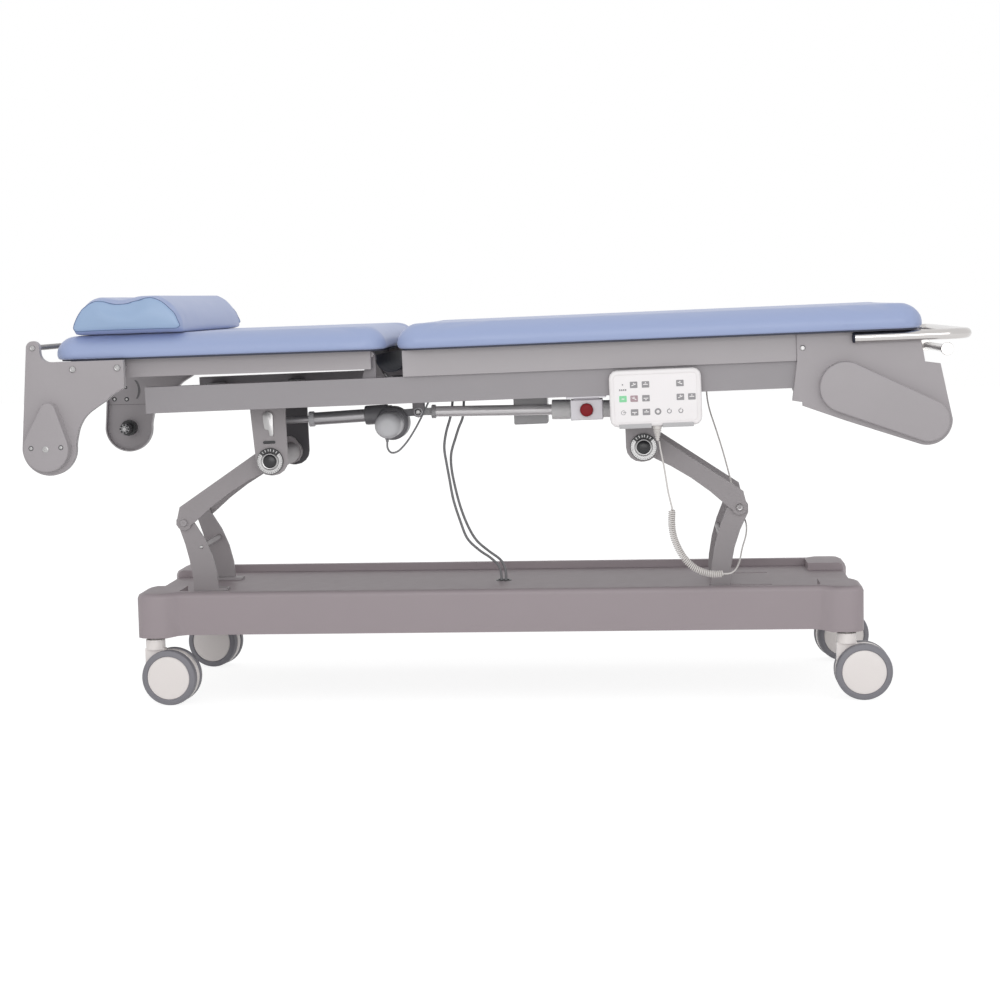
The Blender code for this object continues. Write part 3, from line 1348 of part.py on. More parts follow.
def build_head_lift_motor(couch):
    """Head lift motor: gearbox, motor and guide tube, with the rod that slides in it."""
    axis, distance = motor_axis(couch, "head_lift_axis", (CLEVIS_X, CLEVIS_Z), crank_pin(1))
    tube_end = GEAR_OFFSET + GEAR_RADIUS + HEAD_TUBE_LENGTH
    gear_z = -GEAR_RADIUS * GEAR_DROP_SHARE
    side = GEAR_HALF_WIDTH
    edge = GEAR_HALF_WIDTH / 3
    gear = [(0, -side), (GEAR_RADIUS - edge, -side), (GEAR_RADIUS, edge - side), (GEAR_RADIUS, side - edge)]
    gear += [(GEAR_RADIUS - edge, side), (0, side)]
    motor = turned(gear, "Y", (-GEAR_OFFSET, 0, gear_z))
    dome = MOTOR_DOME / 3
    can = [(0, -MOTOR_REACH), (MOTOR_RADIUS * 0.55, -MOTOR_REACH + dome * 0.3)]
    can += [(MOTOR_RADIUS * 0.86, -MOTOR_REACH + dome), (MOTOR_RADIUS, -MOTOR_REACH + MOTOR_DOME)]
    can += [(MOTOR_RADIUS, -edge), (0, -edge)]
    weld(motor, turned(can, "Y", (-GEAR_OFFSET, 0, gear_z)))
    neck_head = -GEAR_OFFSET - GEAR_RADIUS - edge
    collar_foot = HEAD_COLLAR_LENGTH - tube_end
    guide = [
        (0, -tube_end),
        (HEAD_COLLAR_RADIUS, -tube_end),
        (HEAD_COLLAR_RADIUS, collar_foot),
        (HEAD_TUBE_RADIUS, collar_foot),
        (HEAD_TUBE_RADIUS, neck_head),
        (GEAR_NECK_RADIUS, neck_head),
        (GEAR_NECK_RADIUS, edge - GEAR_OFFSET),
        (0, edge - GEAR_OFFSET),
    ]
    weld(motor, turned(guide, "X"))
    neck = CLEVIS_EYE_RADIUS * EYE_NECK_SHARE
    neck_low = (-GEAR_OFFSET, -CLEVIS_EYE_WIDTH * NECK_WIDTH_SHARE, -neck)
    weld(motor, box(neck_low, (-WELD_DEPTH, -WELD_DEPTH * 2, neck)))
    bored_eye(motor, 0, CLEVIS_EYE_RADIUS, CLEVIS_PIN_RADIUS + CLEARANCE, -CLEVIS_EYE_WIDTH, -WELD_DEPTH)
    bore = HEAD_ROD_RADIUS + ROD_CLEARANCE
    cut(motor, rod(bore, -tube_end - OVERRUN, -GEAR_OFFSET, "X", steps=ROUND_STEPS))
    place(motor, "head_lift_motor", axis, "pale_plastic")
    tail = GEAR_OFFSET + lift_stroke(1) + OVERRUN
    slider = eye_rod(-distance, -tail, HEAD_ROD_RADIUS, EYE_RADIUS, EYE_BORE_RADIUS, EYE_WIDTH)
    return place(slider, "head_lift_rod", axis, "bright_steel")


def build_foot_lift_motor(couch):
    """Foot lift motor: its piston hangs on the clevis and its housing follows the crank."""
    axis, distance = motor_axis(couch, "foot_lift_axis", (CLEVIS_X, CLEVIS_Z), crank_pin(-1))
    collar_at = FOOT_ROD_COLLAR_X
    piston = rod(FOOT_ROD_RADIUS, collar_at, FOOT_ROD_LENGTH, "X", steps=ROUND_STEPS)
    weld(piston, rod(FOOT_ROD_COLLAR_RADIUS, collar_at, collar_at + FOOT_ROD_COLLAR_LENGTH, "X", steps=ROUND_STEPS))
    neck = CLEVIS_EYE_RADIUS * EYE_NECK_SHARE
    neck_high = (collar_at + WELD_DEPTH, CLEVIS_EYE_WIDTH * NECK_WIDTH_SHARE, neck)
    weld(piston, box((WELD_DEPTH, WELD_DEPTH * 2, -neck), neck_high))
    bored_eye(piston, 0, CLEVIS_EYE_RADIUS, CLEVIS_PIN_RADIUS + CLEARANCE, WELD_DEPTH, CLEVIS_EYE_WIDTH)
    place(piston, "foot_lift_rod", axis, "bright_steel")
    front = FOOT_COLLAR_X - CLEVIS_X
    bore = FOOT_ROD_RADIUS + ROD_CLEARANCE
    bore_end = FOOT_ROD_LENGTH + lift_stroke(-1) + OVERRUN
    gear_x = distance - FOOT_GEAR_OFFSET
    barrel_end = gear_x - GEAR_HALF_WIDTH / 3
    barrel = [
        (0, bore_end),
        (bore, bore_end),
        (bore, front),
        (FOOT_COLLAR_RADIUS, front),
        (FOOT_COLLAR_RADIUS, front + FOOT_COLLAR_LENGTH),
        (FOOT_HOUSING_RADIUS, front + FOOT_COLLAR_LENGTH),
        (FOOT_HOUSING_RADIUS, barrel_end),
        (0, barrel_end),
    ]
    housing = turned(barrel, "X")
    edge = GEAR_HALF_WIDTH / 3
    side = GEAR_HALF_WIDTH
    gear = [(0, -side), (FOOT_GEAR_RADIUS - edge, -side), (FOOT_GEAR_RADIUS, edge - side)]
    gear += [(FOOT_GEAR_RADIUS, side - edge), (FOOT_GEAR_RADIUS - edge, side), (0, side)]
    weld(housing, turned(gear, "Y", (gear_x, 0, 0)))
    weld(housing, rod(FOOT_GEAR_RADIUS - edge, edge, MOTOR_REACH, "Y", (gear_x, 0, 0), ROUND_STEPS))
    half = EYE_WIDTH / 2
    neck_y = half * NECK_WIDTH_SHARE
    neck_z = EYE_RADIUS * EYE_NECK_SHARE
    weld(housing, box((gear_x + edge, -neck_y, -neck_z), (distance - WELD_DEPTH, neck_y, neck_z)))
    bored_eye(housing, distance, EYE_RADIUS, EYE_BORE_RADIUS, -half, half)
    return place(housing, "foot_lift_motor", axis, "pale_plastic")


def build_backrest_motor(couch):
    """Backrest motor inside the lower frame, with the rod that pushes the lever."""
    start = (BACK_PIVOT_X, BACK_MOTOR_AXIS)
    axis, distance = motor_axis(couch, "backrest_motor_axis", start, lever_pin())
    gear_foot = -CLEVIS_EYE_RADIUS - EYE_NECK
    gear_head = gear_foot - BACK_GEAR_LENGTH
    middle = (gear_foot + gear_head) / 2
    bore = BACK_ROD_RADIUS + ROD_CLEARANCE
    bore_end = gear_head + OVERRUN
    barrel = [
        (0, bore_end),
        (bore, bore_end),
        (bore, -BACK_TUBE_LENGTH),
        (BACK_TUBE_RADIUS, -BACK_TUBE_LENGTH),
        (BACK_TUBE_RADIUS, middle),
        (0, middle),
    ]
    motor = turned(barrel, "X")
    gear_half = BACK_TUBE_RADIUS + OVERRUN
    low = (bore_end + WELD_DEPTH, -gear_half, -gear_half)
    weld(motor, box(low, (gear_foot, BACK_MOTOR_Y + WELD_DEPTH, gear_half)))
    can_end = gear_foot - OVERRUN
    spot = (0, BACK_MOTOR_Y, 0)
    weld(motor, rod(BACK_MOTOR_RADIUS, can_end - BACK_MOTOR_LENGTH, can_end, "X", spot, ROUND_STEPS))
    half = CLEVIS_EYE_WIDTH / 2
    neck = CLEVIS_EYE_RADIUS * EYE_NECK_SHARE
    neck_y = half * NECK_WIDTH_SHARE
    weld(motor, box((middle, -neck_y, -neck), (-WELD_DEPTH, neck_y, neck)))
    bored_eye(motor, 0, CLEVIS_EYE_RADIUS, CLEVIS_PIN_RADIUS + CLEARANCE, -half, half)
    place(motor, "backrest_motor", axis, "dark_paint")
    eye_bore = BACK_PIN_RADIUS + BACK_EYE_PLAY
    tail = bore_end - OVERRUN
    slider = eye_rod(-distance, tail, BACK_ROD_RADIUS, BACK_EYE_RADIUS, eye_bore, BACK_EYE_WIDTH)
    return place(slider, "backrest_rod", axis, "bright_steel")


def build_estop(couch):
    """Emergency stop: a box under the near beam with a push button in its front."""
    top = -ESTOP_PLATE
    bottom = top - ESTOP_HEIGHT
    half = ESTOP_WIDTH / 2
    front = -ESTOP_FRONT_SPACING / 2
    housing = box((ESTOP_X - half, front, bottom), (ESTOP_X + half, front + ESTOP_DEPTH, top))
    round_edges(housing, ESTOP_RIM, 2, lambda spot: spot.y < front + OVERRUN)
    neck = half * 0.8
    plate_low = (ESTOP_X - half * 1.25, -BEAM_OUTER, -ESTOP_PLATE / 2)
    weld(housing, box(plate_low, (ESTOP_X + half * 1.25, -BEAM_INNER, -CLEARANCE)))
    neck_low = (ESTOP_X - neck, -BEAM_OUTER + BEAM_WIDTH * 0.7, top - WELD_DEPTH)
    weld(housing, box(neck_low, (ESTOP_X + neck, -BEAM_INNER, -ESTOP_PLATE / 4)))
    middle = (top + bottom) / 2
    spot = (ESTOP_X, 0, middle)
    recess = front + BUTTON_TRAVEL + CLEARANCE
    cut(housing, rod(BUTTON_RADIUS + CLEARANCE * 2, front - OVERRUN, recess, "Y", spot, ROUND_STEPS))
    stem_end = recess + BUTTON_TRAVEL * 2
    hole_end = stem_end + BUTTON_TRAVEL + OVERRUN
    stem_hole = hole_radius(BUTTON_STEM_RADIUS, ROUND_STEPS)
    cut(housing, rod(stem_hole, front - OVERRUN, hole_end, "Y", spot, ROUND_STEPS))
    place(housing, "estop_box", couch, "white_plastic")
    dome = BUTTON_HEIGHT / 4
    profile = [
        (0, front - BUTTON_HEIGHT),
        (BUTTON_RADIUS * 0.7, front - BUTTON_HEIGHT + dome / 3),
        (BUTTON_RADIUS, front - BUTTON_HEIGHT + dome),
        (BUTTON_RADIUS, front),
        (BUTTON_STEM_RADIUS, front),
        (BUTTON_STEM_RADIUS, stem_end),
        (0, stem_end),
    ]
    axis = empty("estop_axis", couch, spot)
    return place(turned(profile), "estop_button", axis, "red_plastic")


def build_control_box(couch):
    """Motor control box that hangs from a cross tube."""
    half = CONTROL_BOX_LENGTH / 2
    half_y = CONTROL_BOX_WIDTH / 2
    top = CROSS_RISE - CLEARANCE - CONTROL_BOX_NECK / 2
    low = (CONTROL_BOX_X - half, CONTROL_BOX_Y - half_y, top - CONTROL_BOX_HEIGHT)
    control = box(low, (CONTROL_BOX_X + half, CONTROL_BOX_Y + half_y, top))
    round_edges(control, ESTOP_RIM, 2, lambda spot: True)
    neck = CONTROL_BOX_NECK / 2
    neck_low = (CONTROL_BOX_X - neck, CONTROL_BOX_Y - neck, top - WELD_DEPTH)
    weld(control, box(neck_low, (CONTROL_BOX_X + neck, CONTROL_BOX_Y + neck, CROSS_RISE - CLEARANCE)))
    return place(control, "control_box", couch, "pale_plastic")


def handset_outline(margin):
    """Rounded outline of the handset, drawn in by a margin."""
    half = HANDSET_WIDTH / 2 - margin
    low = HANDSET_BOTTOM + margin
    high = HANDSET_BOTTOM + HANDSET_HEIGHT - margin
    radius = max(HANDSET_CORNER - margin, HANDSET_CORNER / 4)
    outline = []
    corners = ((-1, low + radius, 180), (1, low + radius, 270), (1, high - radius, 0), (-1, high - radius, 90))
    for sign, z, start in corners:
        outline += arc((HANDSET_X + sign * (half - radius), z), radius, start, start + 90, ARC_STEPS - 1)
    return outline


def build_handset(couch):
    """Wired handset with its key panel, its holder and its strain relief."""
    handset = prism(handset_outline(0), -HANDSET_FRONT, -HANDSET_BACK)
    rims = (-HANDSET_FRONT, -HANDSET_BACK)
    round_edges(handset, HANDSET_EDGE, 2, lambda spot: abs(spot.y - rims[0]) < CLEARANCE / 3)
    round_edges(handset, HANDSET_EDGE, 2, lambda spot: abs(spot.y - rims[1]) < CLEARANCE / 3)
    panel = prism(handset_outline(HANDSET_PANEL_MARGIN), -HANDSET_FRONT - OVERRUN, HANDSET_PANEL_DEPTH - HANDSET_FRONT)
    cut(handset, panel)
    place(handset, "handset", couch, "white_plastic")
    half = HOLDER_WIDTH / 2
    shelf_top = HANDSET_BOTTOM - CLEARANCE
    low = (HANDSET_X - half, -HOLDER_BACK - HOLDER_GAUGE, shelf_top - HOLDER_GAUGE)
    holder = box(low, (HANDSET_X + half, -HOLDER_BACK, HANDSET_BOTTOM + HANDSET_HEIGHT - HANDSET_CORNER))
    lip_front = -HANDSET_FRONT - CLEARANCE - HOLDER_GAUGE
    shelf_low = (HANDSET_X - half, lip_front, shelf_top - HOLDER_GAUGE)
    weld(holder, box(shelf_low, (HANDSET_X + half, -HOLDER_BACK - HOLDER_GAUGE / 2, shelf_top)))
    lip_low = (HANDSET_X - half, lip_front, shelf_top - HOLDER_GAUGE / 2)
    lip_high = (HANDSET_X + half, lip_front + HOLDER_GAUGE, HANDSET_BOTTOM + HOLDER_LIP)
    weld(holder, box(lip_low, lip_high))
    relief_x = HANDSET_X + RELIEF_OFFSET
    relief_y = -(HANDSET_BACK + HANDSET_FRONT) / 2
    notch = RELIEF_TOP_RADIUS * 1.5
    notch_low = (relief_x - notch, lip_front - OVERRUN, shelf_top - HOLDER_GAUGE - OVERRUN)
    cut(holder, box(notch_low, (relief_x + notch, relief_y + notch, HANDSET_BOTTOM + HOLDER_LIP + OVERRUN)))
    place(holder, "handset_holder", couch, "white_plastic")
    top = HANDSET_BOTTOM - CLEARANCE
    profile = [(0, top), (RELIEF_TOP_RADIUS, top)]
    rings = RELIEF_RINGS
    for ring in range(rings):
        start = ring / rings
        radius = RELIEF_TOP_RADIUS + (RELIEF_END_RADIUS - RELIEF_TOP_RADIUS) * start
        profile.append((radius, top - RELIEF_LENGTH * (start + 0.6 / rings)))
        profile.append((radius * 0.82, top - RELIEF_LENGTH * (start + 0.7 / rings)))
        profile.append((radius * 0.82, top - RELIEF_LENGTH * (start + 0.9 / rings)))
    profile[-1] = (RELIEF_END_RADIUS * 0.9, top - RELIEF_LENGTH)
    profile.append((0, top - RELIEF_LENGTH))
    relief = turned(profile, "Z", (relief_x, relief_y, 0), SMALL_STEPS)
    return place(relief, "handset_relief", couch, "white_plastic")


def build_back_frame(back):
    """Frame of the backrest: rails, crosses, hinge eyes, lever and side bosses."""
    low = BACK_RAIL_TOP - BACK_RAIL_HEIGHT
    half = RAIL_INNER + WELD_DEPTH
    frame = None
    width = CROSS_WIDTH
    places = (-BACK_CROSS_OFFSET, -BACK_RAIL_LENGTH / 2, -BACK_RAIL_LENGTH + width)
    for x in places:
        corner = (x - width / 2, -half, low + WELD_DEPTH)
        cross = box(corner, (x + width / 2, half, BACK_RAIL_TOP - WELD_DEPTH))
        frame = cross if frame is None else weld(frame, cross)
    plate_left = -ROLL_REACH
    for side in SIDES.values():
        rail_x = (-BACK_RAIL_LENGTH, BACK_RAIL_END)
        rail_z = (low, BACK_RAIL_TOP)
        weld(frame, side_box(side, rail_x, (RAIL_INNER, RAIL_OUTER), rail_z))
        pin_start = BEAM_INNER - HINGE_POST_GAUGE
        eye_start = RAIL_INNER - WELD_DEPTH / 2
        eye_end = RAIL_OUTER - RAIL_WIDTH / 3
        pin = [(0, pin_start), (HINGE_PIN_RADIUS, pin_start), (HINGE_PIN_RADIUS, eye_start)]
        pin += [(HINGE_EYE_RADIUS, eye_start), (HINGE_EYE_RADIUS, eye_end), (0, eye_end)]
        weld(frame, turned([(radius, side * along) for radius, along in pin], steps=SMALL_STEPS))
        for share in HEAD_BOLT_SHARES:
            x = plate_left + share * HEAD_PLATE_WIDTH
            boss_y = (RAIL_OUTER - WELD_DEPTH, HEAD_SHEET_INNER - CLEARANCE)
            weld(frame, side_rod(side, HEAD_BOLT_RADIUS * 1.2, boss_y, x, BACK_RAIL_TOP - HEAD_BOLT_DROP))
        low_y, high_y = sorted((side * LEVER_INNER, side * (LEVER_INNER + BACK_LEVER_GAUGE)))
        pin = (BACK_LEVER_X, BACK_MOTOR_AXIS - HINGE_HEIGHT)
        shoulder = (-BACK_CROSS_OFFSET, low + BACK_RAIL_HEIGHT / 2)
        link = link_outline(shoulder, BACK_RAIL_HEIGHT * 0.4, pin, BACK_PIN_RADIUS * 2.5)
        weld(frame, prism(link, low_y, high_y))
    half = LEVER_INNER + WELD_DEPTH
    spot = (BACK_LEVER_X, 0, BACK_MOTOR_AXIS - HINGE_HEIGHT)
    weld(frame, rod(BACK_PIN_RADIUS, -half, half, "Y", spot))
    return place(frame, "backrest_frame", back, "grey_paint")


def head_plate_outline():
    """Outline of the head end's side plate, around the roll's axis."""
    top = HEAD_PLATE_RISE
    ear = (-EAR_SETBACK, EAR_RISE)
    ear_right = ear[0] + EAR_RADIUS
    outline = arc((0, 0), HEAD_PLATE_RADIUS, 180, 360, ARC_STEPS * 2)
    outline += [(a * HEAD_PLATE_WIDTH, b * top) for a, b in HEAD_PLATE_LOWER_SHARES]
    outline.append((HEAD_PLATE_WIDTH, top))
    outline += arc((ear_right + EAR_FILLET, top + EAR_FILLET), EAR_FILLET, 270, 180, ARC_STEPS - 1)
    outline += arc(ear, EAR_RADIUS, 0, 180, ARC_STEPS)
    return outline


def sheet_tray(outline, side, outer, inner, holes):
    """Side plate folded from sheet: a face with a rim all round, open inwards."""
    low, high = sorted((side * inner, side * outer))
    plate = prism(outline, low, high)
    floor = outer - SHEET_GAUGE
    low, high = sorted((side * (inner - OVERRUN), side * floor))
    cut(plate, prism(drawn_in(outline, SHEET_GAUGE), low, high))
    for radius, x, z in holes:
        cut(plate, side_rod(side, radius, (inner - OVERRUN, outer + OVERRUN), x, z))
    return plate


def build_head_plate(back, side):
    """Side plate of the paper roll at the head end, with its bolt heads."""
    sign = SIDES[side]
    axis = empty(f"roll_axis_head_{side}", back, (-ROLL_REACH, 0, -ROLL_DROP))
    hole = (hole_radius(SPINDLE_RADIUS), 0, 0)
    plate = sheet_tray(head_plate_outline(), sign, HEAD_PLATE_OUTER, HEAD_PLATE_INNER, [hole])
    heads = [(share * HEAD_PLATE_WIDTH, HEAD_PLATE_RISE - HEAD_BOLT_DROP) for share in HEAD_BOLT_SHARES]
    heads.append((-EAR_SETBACK, EAR_RISE))
    for x, z in heads:
        head_y = (HEAD_PLATE_OUTER - WELD_DEPTH, HEAD_PLATE_OUTER + HEAD_BOLT_HEIGHT)
        weld(plate, side_rod(sign, HEAD_BOLT_RADIUS, head_y, x, z))
    place(plate, f"head_plate_{side}", axis, "grey_paint")
    top = (HEAD_COVER_TOP_X, HEAD_COVER_TOP_RISE)
    outline = link_outline((0, 0), HEAD_COVER_RADIUS, top, HEAD_COVER_TOP_RADIUS, ARC_STEPS * 2)
    cover = cover_shell(outline, sign, HEAD_PLATE_OUTER + CLEARANCE, HEAD_COVER_DEPTH)
    place(cover, f"head_cover_{side}", axis, "grey_paint")
    return axis


def cover_shell(outline, side, back, depth):
    """Thin cover with a rounded outer edge, open towards the plate it sits on."""
    front = back + depth
    low, high = sorted((side * back, side * front))
    cover = prism(outline, low, high)
    round_edges(cover, COVER_EDGE, 2, lambda spot: abs(spot.y - side * front) < CLEARANCE / 3)
    low, high = sorted((side * (back - OVERRUN), side * (front - SHEET_GAUGE)))
    hollow = prism(drawn_in(outline, SHEET_GAUGE), low, high)
    round_edges(hollow, COVER_EDGE - SHEET_GAUGE, 1, lambda spot: abs(spot.y) > front - SHEET_GAUGE - CLEARANCE / 3)
    return cut(cover, hollow)


def build_chuck(axis, name, side, sheet_inner, outer, disc_radius):
    """Chuck that holds one end of a paper roll, on its spindle through the side plate."""
    floor = sheet_inner - CLEARANCE
    shoulder = floor - CHUCK_BASE_LENGTH
    nose = shoulder - CHUCK_NOSE_LENGTH
    tip = CHUCK_NOSE_RADIUS / 3
    disc_in = outer + SPINDLE_GAP
    profile = [
        (0, nose),
        (CHUCK_NOSE_RADIUS - tip, nose),
        (CHUCK_NOSE_RADIUS, nose + tip),
        (CHUCK_NOSE_RADIUS, shoulder),
        (CHUCK_BASE_RADIUS, shoulder),
        (CHUCK_BASE_RADIUS, floor),
        (SPINDLE_RADIUS, floor),
        (SPINDLE_RADIUS, disc_in),
        (disc_radius, disc_in),
        (disc_radius, disc_in + SPINDLE_DISC_WIDTH),
        (0, disc_in + SPINDLE_DISC_WIDTH),
    ]
    profile = [(radius, side * along) for radius, along in profile]
    return place(turned(profile), name, axis, "black_plastic")


def build_cross_rod(back):
    """Rod between the two ears of the head plates."""
    half = HEAD_SHEET_INNER - CLEARANCE
    spot = (-ROLL_REACH - EAR_SETBACK, 0, -ROLL_DROP + EAR_RISE)
    return place(rod(CROSS_ROD_RADIUS, -half, half, "Y", spot), "head_cross_rod", back, "grey_paint")


def rounded_ring(half_x, half_y, radius, pull):
    """Rounded rectangle with a fixed count of points, whose sides pull in a little."""
    ring = []
    long_steps = 4
    short_steps = 4
    corner_steps = 3
    flat_x = half_x - radius
    flat_y = half_y - radius
    spans = (
        ((-flat_x, -half_y), (flat_x, -half_y), (0, 1), long_steps, (flat_x, -flat_y), 270),
        ((half_x, -flat_y), (half_x, flat_y), (-1, 0), short_steps, (flat_x, flat_y), 0),
        ((flat_x, half_y), (-flat_x, half_y), (0, -1), long_steps, (-flat_x, flat_y), 90),
        ((-half_x, flat_y), (-half_x, -flat_y), (1, 0), short_steps, (-flat_x, -flat_y), 180),
    )
    for start, end, inward, steps, corner, angle in spans:
        for step in range(steps):
            share = step / steps
            draw = pull * math.sin(math.pi * share)
            x = start[0] + (end[0] - start[0]) * share + inward[0] * draw
            y = start[1] + (end[1] - start[1]) * share + inward[1] * draw
            ring.append((x, y))
        ring += arc(corner, radius, angle, angle + 90, corner_steps)[:-1]
    return ring


def cushion_piece(length, thickness, bottom, low_x):
    """Crowned cushion with rounded edges and sides that pull in between its corners."""
    half_x = length / 2
    half_y = CUSHION_WIDTH / 2
    tip = thickness * CUSHION_TIP_SHARE
    across, up = CUSHION_UNDER_SHARES
    rings = [(CUSHION_UNDER_EDGE, 0), (CUSHION_UNDER_EDGE * across, tip * up), (0, tip)]
    for angle in (30, 60, 90):
        turn = math.radians(angle)
        inset = CUSHION_EDGE * (1 - math.cos(turn))
        rings.append((inset, tip + (thickness - tip) * math.sin(turn)))
    for share in CUSHION_TOP_SHARES:
        inset = half_y * share
        rings.append((inset, thickness + CUSHION_CROWN * (1 - (1 - share) ** 2)))
    vertices = []
    faces = []
    count = 0
    for inset, height in rings:
        radius = max(CUSHION_CORNER - inset, half_y * CUSHION_MIDDLE_SHARE)
        pull = CUSHION_PULL if inset < CUSHION_EDGE + CLEARANCE else 0
        ring = rounded_ring(half_x - inset, half_y - inset, radius, pull)
        count = len(ring)
        vertices += [(low_x + half_x + x, y, bottom + height) for x, y in ring]
    for level in range(len(rings) - 1):
        for index in range(count):
            after = (index + 1) % count
            low = level * count
            high = low + count
            faces.append((low + index, low + after, high + after, high + index))
    faces.append(tuple(range(count)))
    faces.append(tuple(range((len(rings) - 1) * count, len(rings) * count)))
    return mesh_piece(vertices, faces)


def build_pillow(back):
    """Contoured neck pillow on the backrest's cushion."""
    base = BACK_RAIL_TOP + CUSHION_GAP + HEAD_CUSHION_THICKNESS + CUSHION_CROWN + CLEARANCE
    outline = [(a * PILLOW_LENGTH, b * PILLOW_THICKNESS) for a, b in PILLOW_OUTLINE_SHARES]
    half = PILLOW_WIDTH / 2
    inner = PILLOW_EDGE * PILLOW_EDGE_SHARE
    rings = (
        (-half, PILLOW_EDGE),
        (-half + inner, inner),
        (-half + PILLOW_EDGE, 0),
        (half - PILLOW_EDGE, 0),
        (half - inner, inner),
        (half, PILLOW_EDGE),
    )
    vertices = []
    faces = []
    count = len(outline)
    for y, inset in rings:
        for x, z in drawn_in(outline, inset):
            vertices.append((x - PILLOW_REACH, y, base + max(z, 0)))
    for level in range(len(rings) - 1):
        for index in range(count):
            after = (index + 1) % count
            low = level * count
            high = low + count
            faces.append((low + index, low + after, high + after, high + index))
    faces.append(tuple(range(count)))
    faces.append(tuple(range((len(rings) - 1) * count, len(rings) * count)))
    return place(mesh_piece(vertices, faces), "neck_pillow", back, "pillow_vinyl")


def build_apron(couch):
    """Thin folded apron that closes the gap between the two sections from below."""
    left = HINGE_X + APRON_HEAD_GAP
    right = RAIL_HEAD_X - APRON_FOOT_GAP
    top = RAIL_TOP * APRON_TOP_SHARE
    bottom = APRON_BOTTOM_HEIGHT
    middle = (left + right) / 2
    span = right - left
    fold_in = span * APRON_FOLD_SHARES[0]
    fold_up = bottom + (top - bottom) * APRON_FOLD_SHARES[1]
    line = [(left, top), (left + fold_in, fold_up), (middle, bottom), (right - fold_in, fold_up), (right, top)]
    upper = [(x + APRON_GAUGE * APRON_SLANT_SHARE, z + APRON_GAUGE) for x, z in line]
    upper[0] = (left + APRON_GAUGE, top)
    upper[-1] = (right - APRON_GAUGE, top)
    upper[-2] = (line[-2][0] - APRON_GAUGE, line[-2][1] + APRON_GAUGE / 2)
    upper[1] = (line[1][0] + APRON_GAUGE, line[1][1] + APRON_GAUGE / 2)
    outline = line + list(reversed(upper))
    apron = prism(outline, -APRON_WIDTH / 2, APRON_WIDTH / 2)
    return place(apron, "gap_apron", couch, "dark_film")


def build_foot_plate(couch, side):
    """Side plate of the take-up roll at the foot end."""
    sign = SIDES[side]
    axis = empty(f"roll_axis_foot_{side}", couch, (TAKE_UP_X, 0, TAKE_UP_Z))
    edge = FOOT_PLATE_X - TAKE_UP_X
    outline = arc((0, 0), FOOT_PLATE_RADIUS, -112, 0, ARC_STEPS * 2)
    tab = FOOT_PLATE_TAB_SHARES if side == "near" else ()
    for across, up in FOOT_PLATE_UPPER_SHARES + tab + FOOT_PLATE_LOWER_SHARES:
        outline.append((edge + across * FOOT_PLATE_LENGTH, up * FOOT_PLATE_HEIGHT))
    hole = (hole_radius(SPINDLE_RADIUS), 0, 0)
    plate = sheet_tray(outline, sign, FOOT_PLATE_OUTER, FOOT_PLATE_INNER, [hole])
    head_y = (FOOT_PLATE_OUTER - WELD_DEPTH, FOOT_PLATE_OUTER + HEAD_BOLT_HEIGHT / 2)
    head_x = edge + HEAD_BOLT_RADIUS * 1.6
    head_z = FOOT_PLATE_HEIGHT - BEAM_WIDTH
    weld(plate, side_rod(sign, HEAD_BOLT_RADIUS / 2, head_y, head_x, head_z))
    place(plate, f"foot_plate_{side}", axis, "grey_paint")
    return axis


def build_belt_cover(axis):
    """Long round-ended cover over the take-up belt on the near side."""
    far = (-BELT_COVER_SPAN_X, BELT_COVER_SPAN_Z)
    outline = link_outline(far, BELT_COVER_RADIUS, (0, 0), BELT_COVER_SMALL_RADIUS, ARC_STEPS * 2)
    cover = cover_shell(outline, -1, FOOT_PLATE_OUTER + CLEARANCE, BELT_COVER_DEPTH)
    return place(cover, "belt_cover", axis, "grey_paint")


def build_push_handle(couch):
    """Chrome push handle: one tube with two round bends."""
    leg_y = FOOT_PLATE_OUTER + CLEARANCE + HANDLE_RADIUS
    corner_x = HANDLE_FOOT_X - HANDLE_BEND
    corner_y = leg_y - HANDLE_BEND
    path = [(HANDLE_HEAD_X, -leg_y)]
    path += arc((corner_x, -corner_y), HANDLE_BEND, -90, 0, BEND_STEPS)
    path += arc((corner_x, corner_y), HANDLE_BEND, 0, 90, BEND_STEPS)
    path.append((HANDLE_HEAD_X, leg_y))
    points = [Vector((x, y, HANDLE_HEIGHT)) for x, y in path]
    return place(tube(points, HANDLE_RADIUS, 2), "push_handle", couch, "chrome")


def coil_points(route):
    """Points of one unbroken curly tube wound round a smooth route."""
    fine = smooth_route(route, CURL_PITCH / CURL_POINTS)
    count = len(fine)
    radius = (CURL_DIAMETER - CORD_DIAMETER) / 2
    normal = Vector((0, 1, 0))
    points = []
    for index, spot in enumerate(fine):
        after = fine[min(index + 1, count - 1)]
        before = fine[max(index - 1, 0)]
        along = (after - before).normalized()
        normal = (normal - along * normal.dot(along)).normalized()
        side = along.cross(normal)
        from_end = min(index, count - 1 - index) - CURL_POINTS / 2
        rise = min(max(from_end / CURL_POINTS, 0), 1)
        reach = radius * rise * rise * (3 - 2 * rise)
        angle = 2 * math.pi * index / CURL_POINTS
        points.append(spot + normal * (reach * math.cos(angle)) + side * (reach * math.sin(angle)))
    return points


def least_gap(points, diameter):
    """Least gap between turns of a tube, measured between its segments' middles."""
    least = math.inf
    skip = CURL_POINTS - 2
    middles = [(a + b) / 2 for a, b in zip(points, points[1:])]
    for index, spot in enumerate(middles):
        for other in middles[index + skip:index + CURL_POINTS * 3]:
            least = min(least, (spot - other).length - diameter)
    return least


